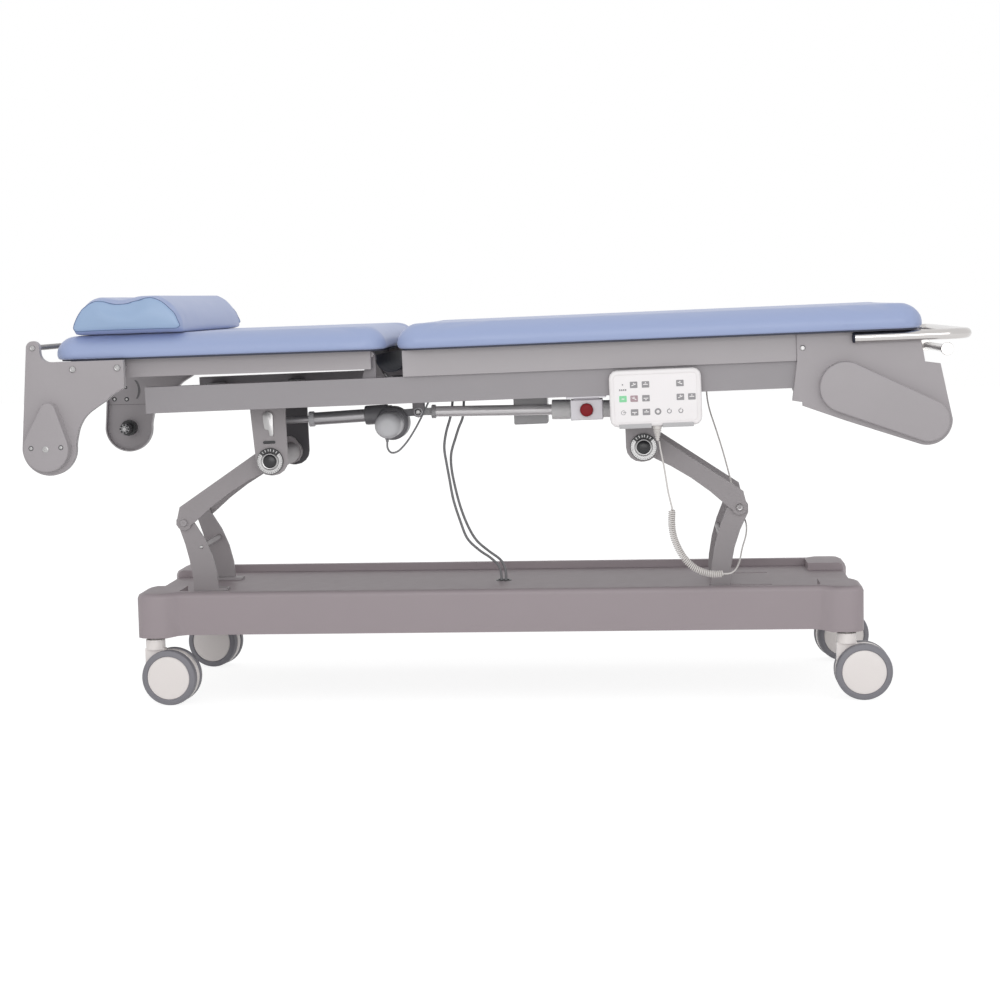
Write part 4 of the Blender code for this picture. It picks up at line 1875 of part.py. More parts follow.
def build_cords(root):
    """Handset cord with its curls, the two supply cables and the motor cable."""
    spacing = CORD_DIAMETER * 3
    radius = CORD_DIAMETER / 2
    cord = trimmed(smooth_route(HANDSET_CORD_ROUTE, spacing), CLEARANCE)
    place(tube(cord, radius, 2), "handset_cord", root, "white_cord")
    curls = trimmed(coil_points(HANDSET_COIL_ROUTE), CLEARANCE / 2)
    print("least gap between the curls, mm:", round(least_gap(curls, CORD_DIAMETER) * 1000, 2))
    place(tube(curls, radius, 1), "handset_coil", root, "white_cord")
    tail = trimmed(smooth_route(HANDSET_TAIL_ROUTE, spacing), CLEARANCE)
    place(tube(tail, radius, 2), "handset_tail", root, "white_cord")
    spacing = POWER_CABLE_DIAMETER * 3
    for mark, route in POWER_CABLE_ROUTES.items():
        cable = smooth_route(route, spacing)
        place(tube(cable, POWER_CABLE_DIAMETER / 2, 2), f"supply_cable_{mark}", root, "grey_cable")
    cable = smooth_route(MOTOR_CABLE_ROUTE, MOTOR_CABLE_DIAMETER * 3)
    place(tube(cable, MOTOR_CABLE_DIAMETER / 2, 2), "motor_cable", root, "grey_cable")


def build_couch(root):
    """Everything that the lift carries."""
    pivot = head_pivot()
    carrier = empty("couch_pivot", root, (pivot[0], 0, pivot[1]), turn_y=-BED_TILT)
    couch = empty("couch_frame", carrier, (-HEAD_PIVOT_X, 0, PIVOT_DROP))
    build_lower_frame(couch)
    build_main_frame(couch)
    for end in ("head", "foot"):
        for side in SIDES:
            build_lift_bracket(couch, end, side)
        build_dial(couch, end)
    build_latch(couch)
    build_head_lift_motor(couch)
    build_foot_lift_motor(couch)
    build_backrest_motor(couch)
    build_estop(couch)
    build_control_box(couch)
    build_handset(couch)
    build_apron(couch)
    bottom = RAIL_TOP + CUSHION_GAP
    cushion = cushion_piece(MAIN_CUSHION_LENGTH, CUSHION_THICKNESS, bottom, MAIN_CUSHION_HEAD_X)
    place(cushion, "main_cushion", couch, "blue_vinyl")
    for side, sign in SIDES.items():
        axis = build_foot_plate(couch, side)
        disc = PULLEY_RADIUS if side == "near" else SPINDLE_RADIUS * 1.6
        build_chuck(axis, f"foot_chuck_{side}", sign, FOOT_SHEET_INNER, FOOT_PLATE_OUTER, disc)
        if side == "near":
            build_belt_cover(axis)
    build_push_handle(couch)
    build_guide_roller(couch)
    return couch


def build_backrest(couch):
    """The section that folds up: its frame, cushion, pillow and roll plates."""
    back = empty("backrest_hinge", couch, (HINGE_X, 0, HINGE_HEIGHT), turn_y=BACK_TILT)
    build_back_frame(back)
    bottom = BACK_RAIL_TOP + CUSHION_GAP
    cushion = cushion_piece(HEAD_CUSHION_LENGTH, HEAD_CUSHION_THICKNESS, bottom, -HEAD_CUSHION_REACH)
    place(cushion, "backrest_cushion", back, "blue_vinyl")
    build_pillow(back)
    for side, sign in SIDES.items():
        axis = build_head_plate(back, side)
        build_chuck(axis, f"head_chuck_{side}", sign, HEAD_SHEET_INNER, HEAD_PLATE_OUTER, SPINDLE_DISC_RADIUS)
    build_cross_rod(back)


def build_table():
    """Build the whole examination table."""
    clear_scene()
    root = empty("table", None, (TABLE_SHIFT_X, 0, 0))
    build_base_cover(root)
    build_base_frame(root)
    for end in ("head", "foot"):
        for side in SIDES:
            build_caster(root, end, side)
    build_head_posts(root)
    build_foot_posts(root)
    build_lift_arm(root, "head_lift_arm", (HEAD_KNEE_X, KNEE_HEIGHT), 1)
    build_lift_arm(root, "foot_lift_arm", foot_knee(), -1)
    couch = build_couch(root)
    build_backrest(couch)
    build_cords(root)


build_table()
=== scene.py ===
"""Looks of the electric examination table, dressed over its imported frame."""
import json
import math

import bmesh
import bpy
from mathutils import Matrix, Vector
from mathutils.bvhtree import BVHTree


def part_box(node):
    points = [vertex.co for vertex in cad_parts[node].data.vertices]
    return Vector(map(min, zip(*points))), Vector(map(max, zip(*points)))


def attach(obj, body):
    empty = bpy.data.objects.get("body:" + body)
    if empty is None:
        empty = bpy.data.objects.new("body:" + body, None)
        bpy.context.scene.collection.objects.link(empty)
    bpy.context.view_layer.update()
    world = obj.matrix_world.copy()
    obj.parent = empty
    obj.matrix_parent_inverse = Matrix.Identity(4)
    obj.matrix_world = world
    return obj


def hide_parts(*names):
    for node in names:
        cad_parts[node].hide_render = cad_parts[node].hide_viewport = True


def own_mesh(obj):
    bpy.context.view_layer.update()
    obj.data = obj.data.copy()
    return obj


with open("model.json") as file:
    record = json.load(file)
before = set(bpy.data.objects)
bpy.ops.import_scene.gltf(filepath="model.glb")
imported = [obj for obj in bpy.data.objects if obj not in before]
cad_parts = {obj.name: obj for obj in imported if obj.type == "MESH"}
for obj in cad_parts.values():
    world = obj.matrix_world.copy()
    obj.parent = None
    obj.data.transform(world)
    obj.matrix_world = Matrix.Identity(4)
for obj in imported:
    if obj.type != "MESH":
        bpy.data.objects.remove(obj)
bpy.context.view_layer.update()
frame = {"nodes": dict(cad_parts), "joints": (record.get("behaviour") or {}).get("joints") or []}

# Camera, in the row frame
CAMERA_PLACE = (0.3184, -4.712, 0.8943)
CAMERA_LENS = 73.22
CAMERA_SENSOR = 36.0
CAMERA_YAW = 0.0704
CAMERA_PITCH = 0.0987
CAMERA_ROLL = -0.0211

# Couch and backrest, each in its own slope
BED_TILT = math.radians(1.26)
BACK_TILT = math.radians(0.45)
HEAD_PIVOT_X = -0.5129
PIVOT_DROP = 0.1252
PIVOT_SPACING = 0.8457
SIDES = {"near": -1, "far": 1}
PLACES = {joint["name"]: Vector(joint["pos_m"]) for joint in frame["joints"]}
AXES = {joint["name"]: Vector(joint["axis"]) for joint in frame["joints"]}
BED = Matrix.Translation(PLACES["couch_level"]) @ Matrix.Rotation(-BED_TILT, 4, "Y")
BED = BED @ Matrix.Translation((-HEAD_PIVOT_X, 0, PIVOT_DROP))
BACK = Matrix.Translation(PLACES["backrest_tilt"]) @ Matrix.Rotation(BACK_TILT - BED_TILT, 4, "Y")
ROOT = Matrix.Translation((-0.010, 0, 0))
MILLIMETRE = 0.001
FINE_STEPS = 48
SMALL_STEPS = 24
SMOOTH_ANGLE = math.radians(38)
SOFT_ANGLE = math.radians(70)
SHARP_ANGLE = math.radians(35)
TINY = 1e-6

# Cords
CORD_DIAMETER = 0.0036
CURL_DIAMETER = 0.016
CURL_PITCH = 0.0044
CURL_POINTS = 16
POWER_CABLE_DIAMETER = 0.0060
MOTOR_CABLE_DIAMETER = 0.0045
CORD_SIDES = 10
HANDSET_CORD_ROUTE = (
    (0.3657, -0.3200, 0.5810),
    (0.3680, -0.3180, 0.5640),
    (0.3742, -0.3120, 0.5313),
    (0.3790, -0.3070, 0.5010),
    (0.3834, -0.3030, 0.4712),
    (0.3880, -0.3005, 0.4500),
    (0.3920, -0.3000, 0.4330),
)
HANDSET_COIL_ROUTE = (
    (0.3920, -0.3000, 0.4330),
    (0.3907, -0.3000, 0.4007),
    (0.3939, -0.3000, 0.3740),
    (0.4035, -0.3000, 0.3469),
    (0.4197, -0.3000, 0.3199),
    (0.4427, -0.3000, 0.2995),
    (0.4724, -0.3000, 0.2885),
    (0.5040, -0.3000, 0.2880),
)
HANDSET_TAIL_ROUTE = (
    (0.5040, -0.3000, 0.2880),
    (0.5150, -0.2980, 0.2885),
    (0.5260, -0.2880, 0.2930),
    (0.5380, -0.2500, 0.3060),
    (0.5480, -0.1900, 0.3300),
    (0.5600, -0.1300, 0.3560),
    (0.5620, -0.0700, 0.3760),
    (0.5500, -0.0300, 0.4020),
    (0.5380, -0.0120, 0.4400),
    (0.5270, -0.0050, 0.4850),
    (0.5140, 0.0000, 0.5350),
    (0.4990, 0.0000, 0.5850),
    (0.4860, 0.0000, 0.6260),
    (0.4800, 0.0000, 0.6560),
    (0.4779, 0.0000, 0.6886),
)
POWER_CABLE_ROUTES = {
    "a": (
        (-0.1120, 0.0300, 0.6758),
        (-0.1130, 0.0300, 0.6520),
        (-0.1180, 0.0300, 0.6220),
        (-0.1290, 0.0280, 0.5850),
        (-0.1340, 0.0250, 0.5490),
        (-0.1290, 0.0200, 0.5130),
        (-0.1230, 0.0150, 0.4790),
        (-0.1140, 0.0100, 0.4280),
        (-0.0990, 0.0090, 0.3780),
        (-0.0830, 0.0100, 0.3360),
        (-0.0560, 0.0130, 0.3080),
        (-0.0300, 0.0160, 0.2890),
        (-0.0110, 0.0190, 0.2690),
        (-0.0060, 0.0200, 0.2480),
        (-0.0050, 0.0200, 0.2280),
    ),
    "b": (
        (-0.0860, 0.0400, 0.6763),
        (-0.0870, 0.0400, 0.6520),
        (-0.0900, 0.0400, 0.6200),
        (-0.1000, 0.0400, 0.5950),
        (-0.1090, 0.0400, 0.5690),
        (-0.1190, 0.0380, 0.5350),
        (-0.1190, 0.0350, 0.5000),
        (-0.1110, 0.0300, 0.4560),
        (-0.0990, 0.0280, 0.4080),
        (-0.0820, 0.0280, 0.3620),
        (-0.0620, 0.0280, 0.3280),
        (-0.0340, 0.0290, 0.3030),
        (-0.0080, 0.0280, 0.2830),
        (0.0030, 0.0250, 0.2630),
        (0.0050, 0.0240, 0.2440),
        (0.0050, 0.0240, 0.2280),
    ),
}
MOTOR_CABLE_ROUTE = (
    (-0.2522, -0.1000, 0.5740),
    (-0.2520, -0.1000, 0.5600),
    (-0.2440, -0.1000, 0.5490),
    (-0.2280, -0.0990, 0.5520),
    (-0.2080, -0.0970, 0.5720),
    (-0.1880, -0.0940, 0.6020),
    (-0.1700, -0.0900, 0.6350),
    (-0.1580, -0.0880, 0.6600),
    (-0.1520, -0.0880, 0.6740),
)


# Materials

GRAIN = 0.0012
RELIEF = 0.00003
MOTTLE = 0.03
PATCH = 0.12
PATCH_DETAIL = 3
GRAIN_DETAIL = 2
GLOSS_DRIFT_SHARE = 0.14
BUMP_STRENGTH = 0.6
WORN_FROM = 0.53
WORN_TO = 0.62
WORN_COLOUR = (0.85, 0.84, 0.84, 1)
SHEEN = {"Sheen_Weight": 0.18, "Sheen_Roughness": 0.45, "Sheen_Tint": (0.90, 0.86, 0.92, 1)}
DULL = {"Specular_IOR_Level": 0.25}
CLEAR_FILM = {"Transmission_Weight": 0.05, "Specular_IOR_Level": 0.15}
PAINT_RELIEF = {"relief": 0.00004, "wear": 0.25}
CASE_GRAIN = {"grain": 0.0008, "mottle": 0.02}
METAL_GRAIN = {"grain": 0.0005, "mottle": 0.03}
WHITE_GRAIN = {"grain": 0.0008, "relief": 0.00002, "mottle": 0.012}
VINYL_GRAIN = {"grain": 0.0013, "mottle": 0.015, "cells": True}
FINISHES = {
    # key: name, colour, roughness, then what differs from a plain moulding
    "paint": ("powder_coat", (0.385, 0.360, 0.374), 0.46, PAINT_RELIEF),
    # Painted shade: a darker copy of the powder coat for the lower frame's beams, which lie in the shadow of
    # the rails above them.
    "shaded_beam_paint": ("beam_powder_coat_painted_shade", (0.275, 0.256, 0.272), 0.46, PAINT_RELIEF),
    "arm_paint": ("arm_powder_coat", (0.345, 0.320, 0.330), 0.46, PAINT_RELIEF),
    # The dark coat is the own colour of the dark parts, and painted shade where it is put on the far head
    # bracket and on the head plates' slot and fold marks.
    "dark": ("dark_coat_and_painted_shade", (0.090, 0.086, 0.094), 0.55, {"wear": 0.1}),
    "base": ("moulded_cover", (0.345, 0.296, 0.314), 0.50, CASE_GRAIN | {"relief": 0.00005}),
    "box": ("button_box", (0.640, 0.620, 0.655), 0.38, WHITE_GRAIN),
    "white": ("white_moulding", (0.880, 0.830, 0.810), 0.34, WHITE_GRAIN),
    "handset": ("handset_moulding", (0.880, 0.850, 0.855), 0.36, {"grain": 0.0006, "mottle": 0.01}),
    "panel": ("key_panel", (0.900, 0.870, 0.878), 0.30,
              {"grain": 0.0005, "relief": 0.00001, "mottle": 0.008}),
    "holder": ("grey_holder", (0.470, 0.465, 0.475), 0.30, {"mottle": 0.02}),
    "motor": ("motor_housing", (0.215, 0.212, 0.226), 0.38, CASE_GRAIN),
    "motor_cap": ("motor_cap", (0.640, 0.640, 0.660), 0.34, CASE_GRAIN),
    # Partly own colour and partly painted light: the foot motor's housing and piston are paler than the head
    # motor's, and brightened further to make up for the shade they sit in.
    "light_motor": ("pale_housing_and_painted_light", (0.900, 0.890, 0.890), 0.36, CASE_GRAIN),
    "bright_tube_and_painted_light": ("bright_tube_and_painted_light", (0.820, 0.800, 0.810), 0.30, METAL_GRAIN | {"metallic": 0.25}),
    "rod": ("grey_rod", (0.190, 0.178, 0.180), 0.40, METAL_GRAIN | {"metallic": 0.30}),
    "piston": ("anodised_tube", (0.470, 0.462, 0.475), 0.34, METAL_GRAIN | {"metallic": 0.55}),
    "steel": ("turned_steel", (0.430, 0.425, 0.425), 0.32,
              {"metallic": 1.0, "grain": 0.0004, "mottle": 0.05}),
    "chrome": ("chrome", (0.580, 0.560, 0.550), 0.16, {"metallic": 1.0, "relief": 0.00001, "mottle": 0.02}),
    "black": ("black_moulding", (0.022, 0.022, 0.025), 0.30, {"mottle": 0.08}),
    "tread": ("wheel_tread", (0.235, 0.230, 0.255), 0.55,
              {"grain": 0.0007, "relief": 0.00006, "mottle": 0.06}),
    "red": ("red_button", (0.215, 0.008, 0.014), 0.55, {"mottle": 0.05}),
    "ink": ("printed_key", (0.300, 0.292, 0.302), 0.5, {"mottle": 0.08}),
    "green_ink": ("green_key", (0.260, 0.700, 0.380), 0.5, {"mottle": 0.05}),
    "red_ink": ("reddish_key", (0.420, 0.300, 0.330), 0.5, {"mottle": 0.05}),
    "cord": ("cord_sheath", (0.690, 0.660, 0.640), 0.42, {"mottle": 0.02}),
    "cable": ("cable_sheath", (0.230, 0.230, 0.240), 0.50,
              {"grain": 0.0016, "relief": 0.0003, "mottle": 0.20, "patch": 0.004}),
    "vinyl": ("blue_vinyl", (0.345, 0.418, 0.645), 0.44, VINYL_GRAIN | {"relief": 0.00006, "patch": 0.25}),
    # Painted light: a bluer copy of the vinyl for the pillow's end faces, standing in for the way light falls
    # on the ends unlike the top.
    "pillow": ("pillow_vinyl", (0.335, 0.460, 0.665), 0.40, VINYL_GRAIN | {"relief": 0.00005, "patch": 0.20}),
    "piping": ("piping", (0.120, 0.170, 0.330), 0.45, {"mottle": 0.04}),
    "film": ("apron_film", (0.030, 0.032, 0.048), 0.60, {"mottle": 0.06}),
    # Partly real and partly painted shade: the backing board under each cushion, made near black so that it
    # shows as the shade line under the cushion's edge.
    "board": ("cushion_board_and_painted_shade", (0.030, 0.034, 0.060), 0.60, {"mottle": 0.10}),
}


def mottled(tree, place, colour, mottle, scale):
    """Base colour that drifts a little either way in soft patches."""
    noise = tree.nodes.new("ShaderNodeTexNoise")
    noise.inputs["Scale"].default_value = scale
    noise.inputs["Detail"].default_value = PATCH_DETAIL
    tree.links.new(place.outputs["Object"], noise.inputs["Vector"])
    mix = tree.nodes.new("ShaderNodeMix")
    mix.data_type = "RGBA"
    mix.inputs[6].default_value = (*[part * (1 - mottle) for part in colour], 1)
    mix.inputs[7].default_value = (*[part * (1 + mottle) for part in colour], 1)
    tree.links.new(noise.outputs["Fac"], mix.inputs[0])
    return mix.outputs[2]


def worn(tree, colour, wear):
    """Colour that lightens along sharp edges."""
    geometry = tree.nodes.new("ShaderNodeNewGeometry")
    ramp = tree.nodes.new("ShaderNodeMapRange")
    ramp.inputs["From Min"].default_value = WORN_FROM
    ramp.inputs["From Max"].default_value = WORN_TO
    ramp.inputs["To Max"].default_value = wear
    tree.links.new(geometry.outputs["Pointiness"], ramp.inputs["Value"])
    mix = tree.nodes.new("ShaderNodeMix")
    mix.data_type = "RGBA"
    mix.inputs[7].default_value = WORN_COLOUR
    tree.links.new(ramp.outputs["Result"], mix.inputs[0])
    tree.links.new(colour, mix.inputs[6])
    return mix.outputs[2]


def finish(name, colour, roughness, metallic=0, grain=GRAIN, relief=RELIEF, mottle=MOTTLE,
           patch=PATCH, cells=False, wear=0):
    """Surface with drifting colour, uneven gloss and a fine relief of its own grain."""
    material = bpy.data.materials.new(name)
    material.use_nodes = True
    tree = material.node_tree
    shader = tree.nodes["Principled BSDF"]
    shader.inputs["Metallic"].default_value = metallic
    place = tree.nodes.new("ShaderNodeTexCoord")
    base = mottled(tree, place, colour, mottle, 1 / patch)
    if wear:
        base = worn(tree, base, wear)
    tree.links.new(base, shader.inputs["Base Color"])
    gloss = tree.nodes.new("ShaderNodeTexNoise")
    gloss.inputs["Scale"].default_value = 4 / patch
    tree.links.new(place.outputs["Object"], gloss.inputs["Vector"])
    spread = tree.nodes.new("ShaderNodeMapRange")
    spread.inputs["To Min"].default_value = roughness * (1 - GLOSS_DRIFT_SHARE)
    spread.inputs["To Max"].default_value = min(roughness * (1 + GLOSS_DRIFT_SHARE), 1)
    tree.links.new(gloss.outputs["Fac"], spread.inputs["Value"])
    tree.links.new(spread.outputs["Result"], shader.inputs["Roughness"])
    if cells:
        texture = tree.nodes.new("ShaderNodeTexVoronoi")
        texture.feature = "SMOOTH_F1"
        output = texture.outputs["Distance"]
    else:
        texture = tree.nodes.new("ShaderNodeTexNoise")
        texture.inputs["Detail"].default_value = GRAIN_DETAIL
        output = texture.outputs["Fac"]
    texture.inputs["Scale"].default_value = 1 / grain
    tree.links.new(place.outputs["Object"], texture.inputs["Vector"])
    bump = tree.nodes.new("ShaderNodeBump")
    bump.inputs["Distance"].default_value = relief
    bump.inputs["Strength"].default_value = BUMP_STRENGTH
    tree.links.new(output, bump.inputs["Height"])
    tree.links.new(bump.outputs["Normal"], shader.inputs["Normal"])
    return material


def set_shader(material, **values):
    """Set shader sockets by name, written with underscores."""
    shader = material.node_tree.nodes["Principled BSDF"]
    for name, value in values.items():
        shader.inputs[name.replace("_", " ")].default_value = value
    return material


def make_finishes():
    """Every finish on the table, by its key."""
    made = {}
    for key, (name, colour, roughness, extra) in FINISHES.items():
        made[key] = finish(name, colour, roughness, **extra)
    for key, values in {"vinyl": SHEEN, "pillow": SHEEN, "film": CLEAR_FILM, "red": DULL}.items():
        set_shader(made[key], **values)
    return made


# Mesh helpers

def add_piece(name, vertices, faces, matrix=None):
    """New mesh piece, with its place baked into its points."""
    data = bpy.data.meshes.new(name)
    data.from_pydata([tuple(spot) for spot in vertices], [], faces)
    body = bmesh.new()
    body.from_mesh(data)
    bmesh.ops.recalc_face_normals(body, faces=body.faces)
    body.to_mesh(data)
    body.free()
    piece = bpy.data.objects.new(name, data)
    bpy.context.scene.collection.objects.link(piece)
    if matrix is not None:
        data.transform(matrix)
    return piece


def finished(piece, material, body, replaced=(), angle=SMOOTH_ANGLE):
    """Smooth a piece, give it its material and let it ride on its body."""
    data = piece.data
    data.materials.clear()
    data.materials.append(material)
    data.polygons.foreach_set("use_smooth", [True] * len(data.polygons))
    data.set_sharp_from_angle(angle=angle)
    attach(piece, body)
    if replaced:
        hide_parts(*replaced)
    return piece


def turned_shell(profile, steps, closed=False):
    """Points and faces of a profile of (radius, along) turned about the Y axis."""
    vertices = []
    rings = []
    for radius, along in profile:
        if radius < TINY:
            rings.append([len(vertices)] * steps)
            vertices.append((0, along, 0))
            continue
        rings.append(list(range(len(vertices), len(vertices) + steps)))
        for step in range(steps):
            angle = 2 * math.pi * step / steps
            vertices.append((radius * math.cos(angle), along, radius * math.sin(angle)))
    faces = []
    pairs = list(zip(rings, rings[1:]))
    if closed:
        pairs.append((rings[-1], rings[0]))
    for first, second in pairs:
        for step in range(steps):
            after = (step + 1) % steps
            face = []
            for index in (first[step], first[after], second[after], second[step]):
                if index not in face:
                    face.append(index)
            if len(face) > 2:
                faces.append(face)
    return vertices, faces


def turned(name, profile, matrix=None, steps=FINE_STEPS, closed=False):
    """Piece turned about the local Y axis."""
    vertices, faces = turned_shell(profile, steps, closed)
    return add_piece(name, vertices, faces, matrix)


def merged(name, parts, matrix=None):
    """One piece from several shells, each a pair of points and faces."""
    vertices = []
    faces = []
    for some_vertices, some_faces in parts:
        base = len(vertices)
        vertices += [tuple(spot) for spot in some_vertices]
        faces += [[index + base for index in face] for face in some_faces]
    return add_piece(name, vertices, faces, matrix)


def moved(shell, matrix):
    """The same shell in another place."""
    vertices, faces = shell
    return [matrix @ Vector(spot) for spot in vertices], faces


def slab(outline, low, high):
    """Shell of an outline in X and Z, between two places along Y."""
    count = len(outline)
    vertices = [(x, low, z) for x, z in outline] + [(x, high, z) for x, z in outline]
    faces = [list(range(count)), list(range(2 * count - 1, count - 1, -1))]
    for index in range(count):
        after = (index + 1) % count
        faces.append([index, after, count + after, count + index])
    return vertices, faces


def block(low, high):
    """Shell of a box between two corners."""
    outline = [(low[0], low[2]), (high[0], low[2]), (high[0], high[2]), (low[0], high[2])]
    return slab(outline, low[1], high[1])


def arc(centre, radius, start, end, steps):
    """Points of an arc, its angles in degrees."""
    points = []
    for step in range(steps + 1):
        angle = math.radians(start + (end - start) * step / steps)
        points.append((centre[0] + radius * math.cos(angle), centre[1] + radius * math.sin(angle)))
    return points


def rounded_box(half_x, half_z, radius, steps=6):
    """Outline of a rectangle with round corners."""
    outline = []
    for sign_x, sign_z, start in ((-1, -1, 180), (1, -1, 270), (1, 1, 0), (-1, 1, 90)):
        centre = (sign_x * (half_x - radius), sign_z * (half_z - radius))
        outline += arc(centre, radius, start, start + 90, steps)
    return outline


def bevelled(piece, width, segments=2):
    """Round a piece's own edges for good."""
    body = bmesh.new()
    body.from_mesh(piece.data)
    shared = [edge for edge in body.edges if len(edge.link_faces) == 2]
    edges = [edge for edge in shared if edge.calc_face_angle() > SHARP_ANGLE]
    bmesh.ops.bevel(body, geom=edges, offset=width, segments=segments, profile=0.5, affect="EDGES",
                    clamp_overlap=True)
    body.to_mesh(piece.data)
    body.free()
    return piece


ROUTE_PIECES = 24


def smooth_route(route, spacing):
    """Points a given step apart on one smooth curve through a route's own points."""
    knots = [Vector(point) for point in route]
    ends = [2 * knots[0] - knots[1]] + knots + [2 * knots[-1] - knots[-2]]
    fine = []
    for index in range(1, len(ends) - 2):
        a, b, c, d = ends[index - 1:index + 3]
        for step in range(ROUTE_PIECES):
            t = step / ROUTE_PIECES
            blend = 2 * b + (c - a) * t + (2 * a - 5 * b + 4 * c - d) * t * t
            blend += (3 * b - a - 3 * c + d) * t * t * t
            fine.append(blend / 2)
    fine.append(knots[-1])
    lengths = [0.0]
    for before, after in zip(fine, fine[1:]):
        lengths.append(lengths[-1] + (after - before).length)
    count = max(2, round(lengths[-1] / spacing))
    points = []
    place_at = 0
    for step in range(count + 1):
        target = lengths[-1] * step / count
        while place_at < len(lengths) - 2 and lengths[place_at + 1] < target:
            place_at += 1
        gap = lengths[place_at + 1] - lengths[place_at]
        share = (target - lengths[place_at]) / gap
        points.append(fine[place_at].lerp(fine[place_at + 1], share))
    return points


def coil_points(route):
    """Points of one unbroken curly tube wound round a smooth route."""
    fine = smooth_route(route, CURL_PITCH / CURL_POINTS)
    count = len(fine)
    radius = (CURL_DIAMETER - CORD_DIAMETER) / 2
    normal = Vector((0, 1, 0))
    points = []
    for index, spot in enumerate(fine):
        after = fine[min(index + 1, count - 1)]
        before = fine[max(index - 1, 0)]
        along = (after - before).normalized()
        normal = (normal - along * normal.dot(along)).normalized()
        side = along.cross(normal)
        from_end = min(index, count - 1 - index) - CURL_POINTS / 2
        rise = min(max(from_end / CURL_POINTS, 0), 1)
        reach = radius * rise * rise * (3 - 2 * rise)
        angle = 2 * math.pi * index / CURL_POINTS
        points.append(spot + normal * (reach * math.cos(angle)) + side * (reach * math.sin(angle)))
    return points


def tube_shell(points, radius, sides, closed=False):
    """Round tube along points, its ring carried along without twist."""
    count = len(points)
    normal = None
    vertices = []
    for index, spot in enumerate(points):
        before = points[index - 1] if closed or index else spot
        after = points[(index + 1) % count] if closed or index < count - 1 else spot
        along = (after - before).normalized()
        if normal is None:
            normal = along.orthogonal().normalized()
        normal = (normal - along * normal.dot(along)).normalized()
        side = along.cross(normal)
        for step in range(sides):
            angle = 2 * math.pi * step / sides
            vertices.append(spot + (normal * math.cos(angle) + side * math.sin(angle)) * radius)
    faces = []
    spans = count if closed else count - 1
    for index in range(spans):
        for step in range(sides):
            after = (step + 1) % sides
            low = index * sides
            high = ((index + 1) % count) * sides
            faces.append([low + step, low + after, high + after, high + step])
    if not closed:
        faces.append(list(range(sides)))
        faces.append(list(range((count - 1) * sides, count * sides)))
    return vertices, faces


# Camera, light and floor

def add_camera():
    """Camera at the photograph's angle."""
    forward = Vector((
        -math.sin(CAMERA_YAW) * math.cos(CAMERA_PITCH),
        math.cos(CAMERA_YAW) * math.cos(CAMERA_PITCH),
        -math.sin(CAMERA_PITCH),
    ))
    right = Vector((math.cos(CAMERA_YAW), math.sin(CAMERA_YAW), 0))
    up = right.cross(forward)
    side = right * math.cos(CAMERA_ROLL) + up * math.sin(CAMERA_ROLL)
    top = up * math.cos(CAMERA_ROLL) - right * math.sin(CAMERA_ROLL)
    data = bpy.data.cameras.new("camera")
    data.lens = CAMERA_LENS
    data.sensor_width = CAMERA_SENSOR
    camera = bpy.data.objects.new("camera", data)
    bpy.context.scene.collection.objects.link(camera)
    matrix = Matrix((side, top, -forward)).transposed().to_4x4()
    matrix.translation = Vector(CAMERA_PLACE)
    camera.matrix_world = matrix
    bpy.context.scene.camera = camera


def seen_rays(tree):
    """One where the camera, a reflection or clear material looks, and zero for plain light."""
    path = tree.nodes.new("ShaderNodeLightPath")
    first = tree.nodes.new("ShaderNodeMath")
    first.operation = "MAXIMUM"
    second = tree.nodes.new("ShaderNodeMath")
    second.operation = "MAXIMUM"
    tree.links.new(path.outputs["Is Camera Ray"], first.inputs[0])
    tree.links.new(path.outputs["Is Glossy Ray"], first.inputs[1])
    tree.links.new(first.outputs[0], second.inputs[0])
    tree.links.new(path.outputs["Is Transmission Ray"], second.inputs[1])
    return second.outputs[0]


WORLD_LIGHT = 0.72
FLOOR_GLOW = 0.85
FLOOR_SHADE = 0.34
FLOOR_REACH = 14.0
FLOOR_PLAIN = 0.8
LAMPS = (
    # place, aim, width, depth, watts
    ((0.3, -4.6, 1.5), (0.0, 0.0, 0.50), 3.4, 2.0, 54),
    ((-0.3, 0.2, 3.4), (-0.1, 0.0, 0.6), 3.6, 2.0, 5),
)


def add_world():
    """White surround that lights softly and shows as white."""
    world = bpy.data.worlds.new("studio")
    world.use_nodes = True
    bpy.context.scene.world = world
    tree = world.node_tree
    shown = tree.nodes["Background"]
    shown.inputs["Color"].default_value = (1, 1, 1, 1)
    shown.inputs["Strength"].default_value = 1
    light = tree.nodes.new("ShaderNodeBackground")
    light.inputs["Color"].default_value = (1, 1, 1, 1)
    light.inputs["Strength"].default_value = WORLD_LIGHT
    mix = tree.nodes.new("ShaderNodeMixShader")
    tree.links.new(seen_rays(tree), mix.inputs[0])
    tree.links.new(light.outputs[0], mix.inputs[1])
    tree.links.new(shown.outputs[0], mix.inputs[2])
    tree.links.new(mix.outputs[0], tree.nodes["World Output"].inputs["Surface"])


